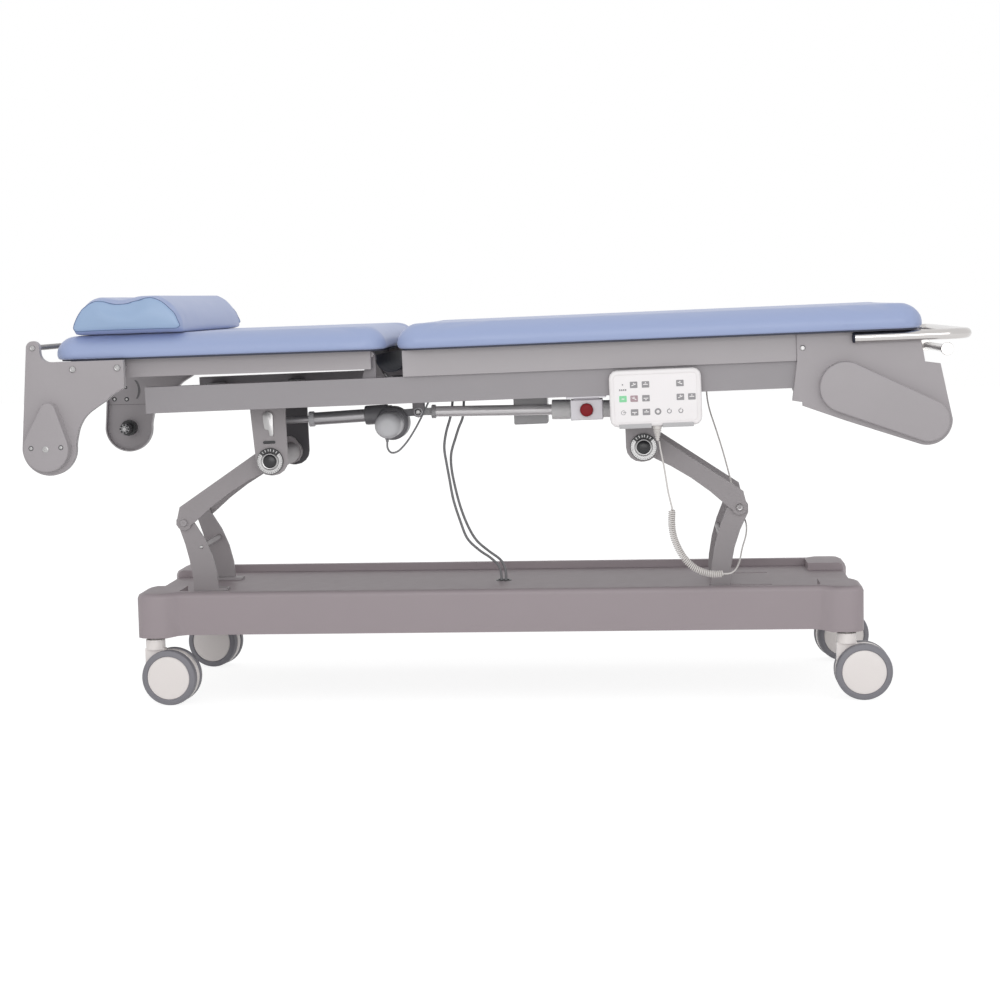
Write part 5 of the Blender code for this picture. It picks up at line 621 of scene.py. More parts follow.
def add_floor():
    """White floor that keeps a soft shadow."""
    material = bpy.data.materials.new("floor")
    material.use_nodes = True
    tree = material.node_tree
    tree.nodes.remove(tree.nodes["Principled BSDF"])
    plain = tree.nodes.new("ShaderNodeBsdfDiffuse")
    plain.inputs["Color"].default_value = (FLOOR_PLAIN, FLOOR_PLAIN, FLOOR_PLAIN, 1)
    shade = tree.nodes.new("ShaderNodeBsdfDiffuse")
    shade.inputs["Color"].default_value = (FLOOR_SHADE, FLOOR_SHADE, FLOOR_SHADE, 1)
    glow = tree.nodes.new("ShaderNodeEmission")
    glow.inputs["Strength"].default_value = FLOOR_GLOW
    both = tree.nodes.new("ShaderNodeAddShader")
    tree.links.new(shade.outputs[0], both.inputs[0])
    tree.links.new(glow.outputs[0], both.inputs[1])
    mix = tree.nodes.new("ShaderNodeMixShader")
    tree.links.new(seen_rays(tree), mix.inputs[0])
    tree.links.new(plain.outputs[0], mix.inputs[1])
    tree.links.new(both.outputs[0], mix.inputs[2])
    tree.links.new(mix.outputs[0], tree.nodes["Material Output"].inputs["Surface"])
    reach = FLOOR_REACH
    corners = [(-reach, -reach, 0), (reach, -reach, 0), (reach, reach, 0), (-reach, reach, 0)]
    floor = add_piece("floor", corners, [[0, 1, 2, 3]])
    floor.data.materials.append(material)


def add_lamps():
    """Broad soft lamps in front and above."""
    for index, (place, aim, width, depth, watts) in enumerate(LAMPS):
        data = bpy.data.lights.new(f"lamp_{index}", "AREA")
        data.shape = "RECTANGLE"
        data.size = width
        data.size_y = depth
        data.energy = watts
        lamp = bpy.data.objects.new(f"lamp_{index}", data)
        bpy.context.scene.collection.objects.link(lamp)
        lamp.location = place
        lamp.rotation_euler = (Vector(aim) - Vector(place)).to_track_quat("-Z", "Y").to_euler()


# Cords

def in_row(points):
    """A route's points in the row frame."""
    return [ROOT @ Vector(point) for point in points]


def free_cord(name, points, diameter, material, slot, nodes, **facts):
    """Free cord as a round tube that rides with the couch."""
    vertices, faces = tube_shell(points, diameter / 2, CORD_SIDES)
    cord = add_piece(name, vertices, faces)
    finished(cord, material, "couch", nodes)
    return cord


def add_cords(made):
    """Handset cord, its tail to the couch, two supply cables and the motor's own cable."""
    step = CORD_DIAMETER * 2
    lead = smooth_route(HANDSET_CORD_ROUTE, step)
    curls = coil_points(HANDSET_COIL_ROUTE)
    lead = in_row(lead[:-1] + curls)
    tail = in_row(smooth_route(HANDSET_TAIL_ROUTE, step))
    rest = free_cord("handset_cord_tail", tail, CORD_DIAMETER, made["cord"], "white_cord", ["handset_tail"],
                     far_end="object", stiffness="limp", lay="hanging")
    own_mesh(rest)
    curly = free_cord("handset_curly_cord", lead, CORD_DIAMETER, made["cord"], "white_cord",
                      ["handset_cord", "handset_coil"], far_end="object", stiffness="limp", lay="hanging")
    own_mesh(curly)
    for mark, route in POWER_CABLE_ROUTES.items():
        points = in_row(smooth_route(route, POWER_CABLE_DIAMETER))
        cable = free_cord(f"power_cable_{mark}", points, POWER_CABLE_DIAMETER, made["cable"], "grey_cable",
                          [f"supply_cable_{mark}"], far_end="object", stiffness="medium", lay="hanging")
        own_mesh(cable)
    points = in_row(smooth_route(MOTOR_CABLE_ROUTE, MOTOR_CABLE_DIAMETER))
    free_cord("head_motor_cable", points, MOTOR_CABLE_DIAMETER, made["cable"], "grey_cable", ["motor_cable"],
              far_end="object", stiffness="medium", lay="hanging")


# Soft pieces

CUSHION_WIDTH = 0.690
CUSHION_EDGE = 0.040
CUSHION_CORNER = 0.050
CUSHION_PULL = 0.004
CUSHION_TIP_SHARE = 0.27
CUSHION_CROWN = 0.005
UNDER_EDGE = 0.012
START_INSET = 0.0015
UNDER_RING_SHARES = (0.9, 0.5)
CROWN_RING_SHARES = (0.2, 0.35, 0.5, 0.65, 0.8, 0.93)
LEAST_CORNER_SHARE = 0.03
RING_LONG_STEPS = 30
RING_SHORT_STEPS = 18
RING_CORNER_STEPS = 8
UNDER_STEP = 18
SHOULDER_STEP = 10
BOARD_GAUGE = 0.0030
BOARD_INSET = 0.0100
CLOTH_VOXEL = 0.006
CLOTH_FRAMES = 20
CLOTH_PRESSURE = 4.0
CLOTH_REACH = 0.005
CLOTH_QUALITY = 4
CLOTH_MASS = 0.4
CLOTH_TENSION = 25
CLOTH_SHEAR = 12
CLOTH_BENDING = 4
HELD_SHARE = 0.6
EVEN_FACTOR = 0.5
EVEN_PASSES = 6
RAIL_TOP = 0.1158
BACK_RAIL_TOP = 0.0075
CUSHION_GAP = 0.0003
HINGE_X = -0.254
RAIL_HEAD_X = -0.184
CUSHIONS = {
    # node: length, thickness, head end, underside, body, frame of its own
    "main_cushion": (1.1280, 0.0522, -0.1932, RAIL_TOP + CUSHION_GAP, "couch", BED),
    "backrest_cushion": (0.7285, 0.0492, -0.6925, BACK_RAIL_TOP + CUSHION_GAP, "backrest", BACK),
}


def rounded_ring(half_x, half_y, radius, pull):
    """Rounded rectangle with a fixed count of points, whose sides pull in a little."""
    ring = []
    flat_x = half_x - radius
    flat_y = half_y - radius
    spans = (
        ((-flat_x, -half_y), (flat_x, -half_y), (0, 1), RING_LONG_STEPS, (flat_x, -flat_y), 270),
        ((half_x, -flat_y), (half_x, flat_y), (-1, 0), RING_SHORT_STEPS, (flat_x, flat_y), 0),
        ((flat_x, half_y), (-flat_x, half_y), (0, -1), RING_LONG_STEPS, (-flat_x, flat_y), 90),
        ((-half_x, flat_y), (-half_x, -flat_y), (1, 0), RING_SHORT_STEPS, (-flat_x, -flat_y), 180),
    )
    for start, end, inward, steps, corner, angle in spans:
        for step in range(steps):
            share = step / steps
            draw = pull * math.sin(math.pi * share)
            x = start[0] + (end[0] - start[0]) * share + inward[0] * draw
            y = start[1] + (end[1] - start[1]) * share + inward[1] * draw
            ring.append((x, y))
        ring += arc(corner, radius, angle, angle + 90, RING_CORNER_STEPS)[:-1]
    return ring


def cushion_shell(length, thickness, bottom, low_x):
    """Crowned cushion: a flat underside, a full lower edge and a long round shoulder."""
    half_x = length / 2
    half_y = CUSHION_WIDTH / 2
    tip = thickness * CUSHION_TIP_SHARE
    rings = [(half_y * share, 0) for share in UNDER_RING_SHARES] + [(UNDER_EDGE * 2, 0)]
    for angle in range(0, 91, UNDER_STEP):
        turn = math.radians(angle)
        rings.append((UNDER_EDGE * (1 - math.sin(turn)), tip * (1 - math.cos(turn))))
    for angle in range(SHOULDER_STEP, 91, SHOULDER_STEP):
        turn = math.radians(angle)
        rings.append((CUSHION_EDGE * (1 - math.cos(turn)), tip + (thickness - tip) * math.sin(turn)))
    for share in CROWN_RING_SHARES:
        rings.append((half_y * share, thickness + CUSHION_CROWN * (1 - (1 - share) ** 2)))
    vertices = []
    faces = []
    count = 0
    for inset, height in rings:
        radius = max(CUSHION_CORNER - inset, half_y * LEAST_CORNER_SHARE)
        pull = CUSHION_PULL * max(1 - inset / (CUSHION_EDGE * 2), 0)
        drawn = inset + START_INSET
        ring = rounded_ring(half_x - drawn, half_y - drawn, radius, pull)
        count = len(ring)
        lift = min(height, thickness + CUSHION_CROWN - START_INSET)
        vertices += [(low_x + half_x + x, y, bottom + lift) for x, y in ring]
    for level in range(len(rings) - 1):
        for index in range(count):
            after = (index + 1) % count
            low = level * count
            high = low + count
            faces.append([low + index, low + after, high + after, high + index])
    faces.append(list(range(count)))
    faces.append(list(range((len(rings) - 1) * count, len(rings) * count)))
    return vertices, faces


def remeshed(piece, voxel):
    """Even skin of small squares over a piece."""
    modifier = piece.modifiers.new("skin", "REMESH")
    modifier.mode = "VOXEL"
    modifier.voxel_size = voxel
    return baked(piece)


def baked(piece):
    """Replace a piece's mesh by what its modifiers make of it."""
    graph = bpy.context.evaluated_depsgraph_get()
    data = bpy.data.meshes.new_from_object(piece.evaluated_get(graph))
    old = piece.data
    piece.modifiers.clear()
    piece.data = data
    data.name = piece.name
    bpy.data.meshes.remove(old)
    return piece


def puffed(piece, bottom, top, reach=CLOTH_REACH, voxel=CLOTH_VOXEL):
    """Blow a cushion's cover up a little, its underside held, and keep it under a height."""
    remeshed(piece, voxel)
    start = [point.co.copy() for point in piece.data.vertices]
    held = piece.vertex_groups.new(name="held")
    resting = [index for index, spot in enumerate(start) if spot.z < bottom + voxel * HELD_SHARE]
    held.add(resting, 1.0, "REPLACE")
    modifier = piece.modifiers.new("cover", "CLOTH")
    settings = modifier.settings
    settings.quality = CLOTH_QUALITY
    settings.mass = CLOTH_MASS
    settings.tension_stiffness = CLOTH_TENSION
    settings.compression_stiffness = CLOTH_TENSION
    settings.shear_stiffness = CLOTH_SHEAR
    settings.bending_stiffness = CLOTH_BENDING
    settings.use_pressure = True
    settings.uniform_pressure_force = CLOTH_PRESSURE
    settings.vertex_group_mass = "held"
    settings.effector_weights.gravity = 0
    modifier.collision_settings.use_collision = False
    modifier.point_cache.frame_end = CLOTH_FRAMES
    scene = bpy.context.scene
    for number in range(1, CLOTH_FRAMES + 1):
        scene.frame_set(number)
    baked(piece)
    scene.frame_set(1)
    piece.vertex_groups.clear()
    for point, first in zip(piece.data.vertices, start):
        shift = point.co - first
        if shift.length > reach:
            shift *= reach / shift.length
        point.co = first + shift
        point.co.z = min(point.co.z, top)
    smoother = piece.modifiers.new("even", "SMOOTH")
    smoother.factor = EVEN_FACTOR
    smoother.iterations = EVEN_PASSES
    finer = piece.modifiers.new("fine", "SUBSURF")
    finer.levels = 1
    finer.render_levels = 1
    return baked(piece)


def fitted(piece, low, high):
    """Stretch a piece to fill the box between two corners."""
    spots = [point.co for point in piece.data.vertices]
    for axis in range(3):
        first = min(spot[axis] for spot in spots)
        last = max(spot[axis] for spot in spots)
        scale = (high[axis] - low[axis]) / (last - first)
        for spot in spots:
            spot[axis] = low[axis] + (spot[axis] - first) * scale
    return piece


def add_cushions(made):
    """The long cushion and the backrest's cushion, each on a dark board that also paints the shade line under
    its edge.
    """
    half = CUSHION_WIDTH / 2
    board_half = half - BOARD_INSET
    for node, (length, thickness, low_x, bottom, body, own) in CUSHIONS.items():
        under = bottom + BOARD_GAUGE
        top = bottom + thickness + CUSHION_CROWN
        shell = cushion_shell(length, thickness - BOARD_GAUGE, under, low_x)
        cushion = add_piece(f"{node}_cover", *shell)
        puffed(cushion, under, top)
        fitted(cushion, (low_x, -half, under), (low_x + length, half, top))
        cushion.data.transform(own)
        finished(cushion, made["vinyl"], body, [node], SOFT_ANGLE)
        flat = rounded_box(length / 2 - BOARD_INSET, board_half, CUSHION_CORNER - BOARD_INSET)
        outline = [(x + low_x + length / 2, y) for x, y in flat]
        vertices, faces = slab(outline, bottom, under + MILLIMETRE)
        board = add_piece(f"{node}_board", [(x, y, z) for x, z, y in vertices], faces, own)
        finished(board, made["board"], body)


PILLOW_REACH = 0.6490
PILLOW_LENGTH = 0.2440
PILLOW_WIDTH = 0.690
PILLOW_THICKNESS = 0.082
PILLOW_EDGE = 0.008
PILLOW_LIFT = 0.010
PILLOW_RUN = 0.050
PILLOW_VOXEL = 0.005
PILLOW_CLOTH_REACH = 0.004
PIPING_RADIUS = 0.0009
PANEL_FACING = 0.50
BACK_CUSHION_THICKNESS = CUSHIONS["backrest_cushion"][1]
PILLOW_BASE = BACK_RAIL_TOP + BACK_CUSHION_THICKNESS + CUSHION_CROWN + CUSHION_GAP * 2
PILLOW_POINT_SPACING = 0.006
PILLOW_FLAT_STEPS = 30
PILLOW_ROWS = 24
PILLOW_MIDDLE_SHARE = 0.42
PILLOW_END_STEP = 20
PILLOW_END_SHARES = (0.5, 0.9)
PANEL_EDGE_SHARE = 1.8
PIPING_OUT = 0.002
PIPING_SCALE = 1.08
PIPING_SIDES = 8
PILLOW_OUTLINE_SHARES = (
    (0.035, 0.0),
    (0.965, 0.0),
    (1.0, 0.07),
    (0.995, 0.28),
    (0.955, 0.55),
    (0.890, 0.79),
    (0.810, 0.945),
    (0.725, 1.0),
    (0.610, 0.965),
    (0.500, 0.905),
    (0.410, 0.890),
    (0.340, 0.930),
    (0.260, 0.965),
    (0.180, 0.900),
    (0.105, 0.740),
    (0.045, 0.500),
    (0.0, 0.12),
)


def pillow_outline():
    """Smooth side view of the pillow, from its underside round its two humps."""
    shares = [Vector((a * PILLOW_LENGTH, 0, b * PILLOW_THICKNESS)) for a, b in PILLOW_OUTLINE_SHARES]
    curved = smooth_route(shares[1:] + shares[:1], PILLOW_POINT_SPACING)
    flat = [shares[0].lerp(shares[1], step / PILLOW_FLAT_STEPS) for step in range(1, PILLOW_FLAT_STEPS)]
    return [(point.x, max(point.z, 0)) for point in curved + flat]


def pillow_shell(outline, half, middle_x, middle_z):
    """Pillow's skin, its ends rounded in and lifted a little off the cushion."""
    along, inwards = PILLOW_END_SHARES
    sections = []
    for angle in range(0, 90, PILLOW_END_STEP):
        edge = PILLOW_EDGE * (1 - math.sin(math.radians(angle)))
        sections.append((-half + edge * along, edge * inwards))
    sections = sorted(sections)
    rows = sections + [(-half + PILLOW_WIDTH * step / PILLOW_ROWS, 0) for step in range(1, PILLOW_ROWS)]
    rows += [(-y, inset) for y, inset in reversed(sections)]
    vertices = []
    count = len(outline)
    for y, inset in rows:
        for x, z in outline:
            across = x - middle_x
            up = z - middle_z
            reach = max(math.hypot(across, up), TINY)
            share = 1 - (inset + START_INSET) / reach
            height = max(middle_z + up * share, 0) if z > TINY * 10 else 0
            from_end = min(abs(abs(y) - half) / PILLOW_RUN, 1)
            height = max(height, PILLOW_LIFT * (1 - from_end) ** 2)
            vertices.append((middle_x + across * share - PILLOW_REACH, y, PILLOW_BASE + height))
    faces = []
    for level in range(len(rows) - 1):
        for index in range(count):
            after = (index + 1) % count
            low = level * count
            high = low + count
            faces.append([low + index, low + after, high + after, high + index])
    faces.append(list(range(count)))
    faces.append(list(range((len(rows) - 1) * count, len(rows) * count)))
    return vertices, faces


def piping_shells(pillow, outline, half, middle_x, middle_z):
    """Thin round welts that lie on the pillow round both of its ends."""
    surface = BVHTree.FromPolygons(
        [point.co for point in pillow.data.vertices],
        [tuple(face.vertices) for face in pillow.data.polygons],
    )
    count = len(outline)
    welts = []
    for side in SIDES.values():
        line = []
        for x, z in outline:
            across = x - middle_x
            up = z - middle_z
            spot_x = middle_x + across * PIPING_SCALE - PILLOW_REACH
            spot_z = PILLOW_BASE + middle_z + up * PIPING_SCALE
            found, normal, _, _ = surface.find_nearest(Vector((spot_x, side * (half + PIPING_OUT), spot_z)))
            line.append(found + normal * (PIPING_RADIUS / 4))
        line = [(line[i - 1] + line[i] * 2 + line[(i + 1) % count]) / 4 for i in range(count)]
        welts.append(tube_shell(line, PIPING_RADIUS, PIPING_SIDES, closed=True))
    return welts


def add_pillow(made):
    """Contoured neck pillow with an end panel and piping at each end, the end faces in a bluer copy of the
    vinyl as painted light.
    """
    outline = pillow_outline()
    half = PILLOW_WIDTH / 2 - START_INSET
    middle = (PILLOW_LENGTH / 2, PILLOW_THICKNESS * PILLOW_MIDDLE_SHARE)
    pillow = add_piece("pillow_cover", *pillow_shell(outline, half, *middle))
    top = PILLOW_BASE + PILLOW_THICKNESS
    puffed(pillow, PILLOW_BASE, top, PILLOW_CLOTH_REACH, PILLOW_VOXEL)
    reach = PILLOW_WIDTH / 2
    fitted(pillow, (-PILLOW_REACH, -reach, PILLOW_BASE), (PILLOW_LENGTH - PILLOW_REACH, reach, top))
    piping = merged("pillow_piping", piping_shells(pillow, outline, half, *middle), BACK)
    finished(pillow, made["vinyl"], "backrest", ["neck_pillow"], SOFT_ANGLE)
    pillow.data.materials.append(made["pillow"])
    # Painted light: faces turned to the sides near each end take the bluer copy of the vinyl.
    for face in pillow.data.polygons:
        at_end = abs(face.center.y) > reach - PILLOW_EDGE * PANEL_EDGE_SHARE
        if at_end and abs(face.normal.y) > PANEL_FACING:
            face.material_index = 1
    pillow.data.transform(BACK)
    finished(piping, made["piping"], "backrest")


APRON_WIDTH = 0.520
APRON_GAUGE = 0.0008
APRON_TOP_SHARE = 0.93
APRON_BOTTOM = 0.069
APRON_INSET = 0.009
APRON_BEND_SHARE = 0.8
APRON_BEND_STEPS = 20
APRON_COLUMNS = 26
APRON_WAVE = 0.0006
APRON_WAVE_TURN = 1.3


def add_apron(made):
    """Translucent film that hangs in a fold between the two sections."""
    left = HINGE_X + APRON_INSET
    right = RAIL_HEAD_X - CUSHION_GAP - APRON_GAUGE
    top = RAIL_TOP * APRON_TOP_SHARE
    half = (right - left) / 2
    bend = APRON_BOTTOM + half * APRON_BEND_SHARE
    line = [(left, top)]
    for step in range(APRON_BEND_STEPS + 1):
        turn = math.pi * step / APRON_BEND_STEPS
        line.append((left + half * (1 - math.cos(turn)), bend - (bend - APRON_BOTTOM) * math.sin(turn)))
    line.append((right, top))
    vertices = []
    for column in range(APRON_COLUMNS + 1):
        y = APRON_WIDTH * (column / APRON_COLUMNS - 0.5)
        wave = APRON_WAVE * math.sin(column * APRON_WAVE_TURN)
        vertices += [(x, y, z + (wave if z < top else 0)) for x, z in line]
    faces = []
    count = len(line)
    for column in range(APRON_COLUMNS):
        for index in range(count - 1):
            low = column * count + index
            faces.append([low, low + 1, low + count + 1, low + count])
    apron = add_piece("gap_film", vertices, faces, BED)
    thicker = apron.modifiers.new("gauge", "SOLIDIFY")
    thicker.thickness = APRON_GAUGE
    thicker.offset = 0
    baked(apron)
    finished(apron, made["film"], "couch", ["gap_apron"])


# Folded plates and covers

HEAD_PLATE_OUTER = 0.357
HEAD_PLATE_INNER = 0.341
HEAD_PLATE_RADIUS = 0.060
HEAD_PLATE_WIDTH = 0.1733
ROLL_REACH = 0.7063
ROLL_DROP = 0.1801
EAR = (-0.0247, 0.2196)
EAR_RADIUS = 0.015
EAR_FILLET = 0.022
HEAD_PLATE_RISE = ROLL_DROP + BACK_RAIL_TOP
HEAD_PLATE_LOWER_SHARES = (
    (0.346, 0.0),
    (0.348, 0.040),
    (0.368, 0.130),
    (0.413, 0.255),
    (0.519, 0.385),
    (0.761, 0.534),
    (0.828, 0.589),
    (0.969, 0.665),
)
FOOT_PLATE_OUTER = 0.310
FOOT_PLATE_INNER = 0.2953
FOOT_PLATE_X = 0.6673
FOOT_PLATE_LENGTH = 0.3273
FOOT_PLATE_HEIGHT = 0.1943
FOOT_PLATE_RADIUS = 0.054
TAKE_UP = (FOOT_PLATE_X + FOOT_PLATE_LENGTH - FOOT_PLATE_RADIUS, 0, RAIL_TOP - FOOT_PLATE_HEIGHT)
FOOT_PLATE_UPPER_SHARES = (
    (0.9288, 0.6155),
    (0.8298, 0.6428),
    (0.8063, 0.8971),
    (0.7873, 1.0),
    (0.0, 1.0),
    (0.0, 0.7025),
)
FOOT_PLATE_TAB_SHARES = ((-0.0364, 0.2687), (0.0302, 0.2475))
FOOT_PLATE_LOWER_SHARES = ((0.0296, 0.2064), (0.3031, 0.0268))
FOOT_PLATE_FAR_SHARES = ((0.1200, 0.1471), (0.3031, 0.0268))
SHEET_GAUGE = 0.003
PLATE_EDGE = 0.0014
COVER_EDGE = 0.0035
HEAD_COVER_RADIUS = 0.050
HEAD_COVER_TOP = (0.0082, 0.083)
HEAD_COVER_TOP_RADIUS = 0.017
HEAD_COVER_DEPTH = 0.0277
BELT_COVER_RADIUS = 0.055
BELT_COVER_SMALL_RADIUS = 0.045
BELT_COVER_FAR = (-0.1734, 0.0776)
BELT_COVER_DEPTH = 0.025


def drawn_in(outline, distance):
    """Outline moved inwards by a distance."""
    count = len(outline)
    area = sum(a[0] * b[1] - b[0] * a[1] for a, b in zip(outline, outline[1:] + outline[:1]))
    side = 1 if area > 0 else -1
    moved_in = []
    for index, (x, z) in enumerate(outline):
        before = outline[index - 1]
        after = outline[(index + 1) % count]
        first = Vector((before[1] - z, x - before[0])).normalized()
        second = Vector((z - after[1], after[0] - x)).normalized()
        normal = (first + second).normalized() * side
        share = max(abs(normal.dot(first)), 0.5)
        moved_in.append((x + normal.x * distance / share, z + normal.y * distance / share))
    return moved_in


def tray_shell(outline, sign, outer, inner, edge):
    """Folded tray: a face with a rounded edge and a rim all round, open inwards."""
    loops = [(SHEET_GAUGE, outer - SHEET_GAUGE), (SHEET_GAUGE, inner), (0, inner)]
    for angle in range(0, 91, 15):
        turn = math.radians(angle)
        loops.append((edge * (1 - math.cos(turn)), outer - edge + edge * math.sin(turn)))
    vertices = []
    for inset, along in loops:
        ring = outline if inset == 0 else drawn_in(outline, inset)
        vertices += [(x, sign * along, z) for x, z in ring]
    count = len(outline)
    faces = [list(range(count)), list(range((len(loops) - 1) * count, len(loops) * count))]
    for level in range(len(loops) - 1):
        for index in range(count):
            after = (index + 1) % count
            low = level * count
            faces.append([low + index, low + after, low + count + after, low + count + index])
    return vertices, faces


def link_outline(first, first_radius, last, last_radius, steps=40):
    """Outline of two round ends joined by their outer tangents."""
    across = last[0] - first[0]
    up = last[1] - first[1]
    base = math.degrees(math.atan2(up, across))
    lean = math.degrees(math.acos((first_radius - last_radius) / math.hypot(across, up)))
    outline = arc(first, first_radius, base + lean, base + 360 - lean, steps)
    return outline + arc(last, last_radius, base - lean, base + lean, steps)


def head_plate_outline():
    """Outline of the head end's side plate, around the roll's axis."""
    top = HEAD_PLATE_RISE
    right = EAR[0] + EAR_RADIUS
    outline = arc((0, 0), HEAD_PLATE_RADIUS, 180, 356, 44)
    lower = [(a * HEAD_PLATE_WIDTH, 0, b * top) for a, b in HEAD_PLATE_LOWER_SHARES]
    outline += [(point.x, point.z) for point in smooth_route(lower, 0.004)]
    outline += [(HEAD_PLATE_WIDTH, top * 0.690), (HEAD_PLATE_WIDTH, top)]
    outline += arc((right + EAR_FILLET, top + EAR_FILLET), EAR_FILLET, 270, 180, 14)
    return outline + arc(EAR, EAR_RADIUS, 0, 180, 20)


def foot_plate_outline(side):
    """Outline of the foot end's side plate, around the take-up roll's axis."""
    edge = FOOT_PLATE_X - TAKE_UP[0]
    outline = arc((0, 0), FOOT_PLATE_RADIUS, -112, 0, 36)
    near_shares = FOOT_PLATE_TAB_SHARES + FOOT_PLATE_LOWER_SHARES
    lower = near_shares if side == "near" else FOOT_PLATE_FAR_SHARES
    for across, up in FOOT_PLATE_UPPER_SHARES + lower:
        outline.append((edge + across * FOOT_PLATE_LENGTH, up * FOOT_PLATE_HEIGHT))
    return outline


def add_plates(made):
    """Side plates of both rolls with their covers."""
    roll = BACK @ Matrix.Translation((-ROLL_REACH, 0, -ROLL_DROP))
    take_up = BED @ Matrix.Translation(TAKE_UP)
    cover = link_outline((0, 0), HEAD_COVER_RADIUS, HEAD_COVER_TOP, HEAD_COVER_TOP_RADIUS)
    for side, sign in SIDES.items():
        plate = tray_shell(head_plate_outline(), sign, HEAD_PLATE_OUTER, HEAD_PLATE_INNER, PLATE_EDGE)
        finished(merged(f"roll_plate_head_{side}", [plate], roll), made["paint"], "backrest",
                 [f"head_plate_{side}"])
        back = HEAD_PLATE_OUTER + CUSHION_GAP
        shell = tray_shell(cover, sign, back + HEAD_COVER_DEPTH, back, COVER_EDGE)
        finished(merged(f"roll_cover_head_{side}", [shell], roll), made["paint"], "backrest",
                 [f"head_cover_{side}"])
        plate = tray_shell(foot_plate_outline(side), sign, FOOT_PLATE_OUTER, FOOT_PLATE_INNER, PLATE_EDGE)
        finished(merged(f"roll_plate_foot_{side}", [plate], take_up), made["paint"], "couch",
                 [f"foot_plate_{side}"])
    belt = link_outline(BELT_COVER_FAR, BELT_COVER_RADIUS, (0, 0), BELT_COVER_SMALL_RADIUS)
    back = FOOT_PLATE_OUTER + CUSHION_GAP
    shell = tray_shell(belt, -1, back + BELT_COVER_DEPTH, back, COVER_EDGE)
    finished(merged("take_up_cover", [shell], take_up), made["paint"], "couch", ["belt_cover"])


# Turned and bent pieces

ALONG_X = Matrix.Rotation(-math.pi / 2, 4, "Z")
UPRIGHT = Matrix.Rotation(math.pi / 2, 4, "X")
TUBE_STEPS = 32
CASTER_KEYS = [(end, side) for end in ("head", "foot") for side in SIDES]
WHEEL_RADIUS = 0.0625
WHEEL_OUTER = 0.031
WHEEL_INNER = 0.0107
WHEEL_DISC_RADIUS = 0.0490
WHEEL_EDGE = 0.0030
WHEEL_STEPS = 72
WHEEL_WELL_RADIUS = 0.014
WHEEL_HUB_RADIUS = 0.012
AXLE_RADIUS = 0.006
HOOD_RADIUS = 0.0616
HOOD_HALF = 0.0092
HOOD_BORE = 0.0085
# Profiles: a radius and what to add to it in edges, a place along the axis and what to add to it in edges
TREAD_PROFILE = (
    (WHEEL_DISC_RADIUS, 1, WHEEL_INNER, 1),
    (WHEEL_RADIUS, -1, WHEEL_INNER, 0),
    (WHEEL_RADIUS, 0, WHEEL_INNER, 1),
    (WHEEL_RADIUS, 0, WHEEL_OUTER, -2.4),
    (WHEEL_RADIUS, -0.4, WHEEL_OUTER, -1),
    (WHEEL_RADIUS, -1.5, WHEEL_OUTER, -0.25),
    (WHEEL_DISC_RADIUS, 0.4, WHEEL_OUTER, -0.1),
    (WHEEL_DISC_RADIUS, 0, WHEEL_OUTER, -0.8),
    (WHEEL_DISC_RADIUS, -1, WHEEL_OUTER, -2),
)
DISC_PROFILE = (
    (0, 0, WHEEL_OUTER, -0.05),
    (WHEEL_DISC_RADIUS * 0.5, 0, WHEEL_OUTER, -0.12),
    (WHEEL_DISC_RADIUS * 0.86, 0, WHEEL_OUTER, -0.34),
    (WHEEL_DISC_RADIUS * 0.975, 0, WHEEL_OUTER, -0.62),
    (WHEEL_DISC_RADIUS * 0.995, 0, WHEEL_OUTER, -1.1),
    (WHEEL_DISC_RADIUS * 0.95, 0, WHEEL_OUTER, -2.4),
    (WHEEL_DISC_RADIUS * 0.95, 0, WHEEL_INNER, 1.4),
    (WHEEL_DISC_RADIUS, 1.6, WHEEL_INNER, 0.5),
    (WHEEL_DISC_RADIUS, 1.6, WHEEL_INNER, 0.1),
    (WHEEL_DISC_RADIUS * 0.80, 0, WHEEL_INNER, 0),
    (WHEEL_DISC_RADIUS * 0.74, 0, WHEEL_INNER, 1),
    (WHEEL_WELL_RADIUS, 0, WHEEL_INNER, 1),
    (WHEEL_HUB_RADIUS, 0, WHEEL_INNER, 0),
    (0, 0, WHEEL_INNER, 0),
)
HOOD_PROFILE = (
    (HOOD_BORE, -HOOD_HALF), (HOOD_RADIUS, -HOOD_HALF),
    (HOOD_RADIUS, HOOD_HALF), (HOOD_BORE, HOOD_HALF),
)


def edged(rows, edge=MILLIMETRE, sign=1):
    """Profile from rows of a radius and a place, each with what to add in edges."""
    return [(radius + out * edge, sign * (along + on * edge)) for radius, out, along, on in rows]


def rod_profile(radius, start, end):
    """Profile of a plain round rod between two places."""
    return [(0, start), (radius, start), (radius, end), (0, end)]


def add_wheels(made):
    """Twin wheels of each caster: soft treads on white discs, with a hood between them."""
    for end, side in CASTER_KEYS:
        key = f"{end}_{side}"
        joint = f"wheel_spin_{key}"
        turn = math.atan2(-AXES[joint].x, AXES[joint].y)
        matrix = Matrix.Translation(PLACES[joint]) @ Matrix.Rotation(turn, 4, "Z")
        treads = []
        discs = [turned_shell(rod_profile(AXLE_RADIUS, -WHEEL_INNER, WHEEL_INNER), SMALL_STEPS)]
        for sign in (-1, 1):
            treads.append(turned_shell(edged(TREAD_PROFILE, WHEEL_EDGE, sign), WHEEL_STEPS, closed=True))
            discs.append(turned_shell(edged(DISC_PROFILE, WHEEL_EDGE, sign), WHEEL_STEPS))
        body = f"wheels_{key}"
        wheel = merged(f"wheel_treads_{key}", treads, matrix)
        finished(wheel, made["tread"], body, [f"caster_wheels_{key}"])
        finished(merged(f"wheel_discs_{key}", discs, matrix), made["white"], body)
        hood = bevelled(turned(f"caster_hood_{key}", HOOD_PROFILE, matrix, WHEEL_STEPS), MILLIMETRE)
        finished(hood, made["white"], f"caster_{key}")


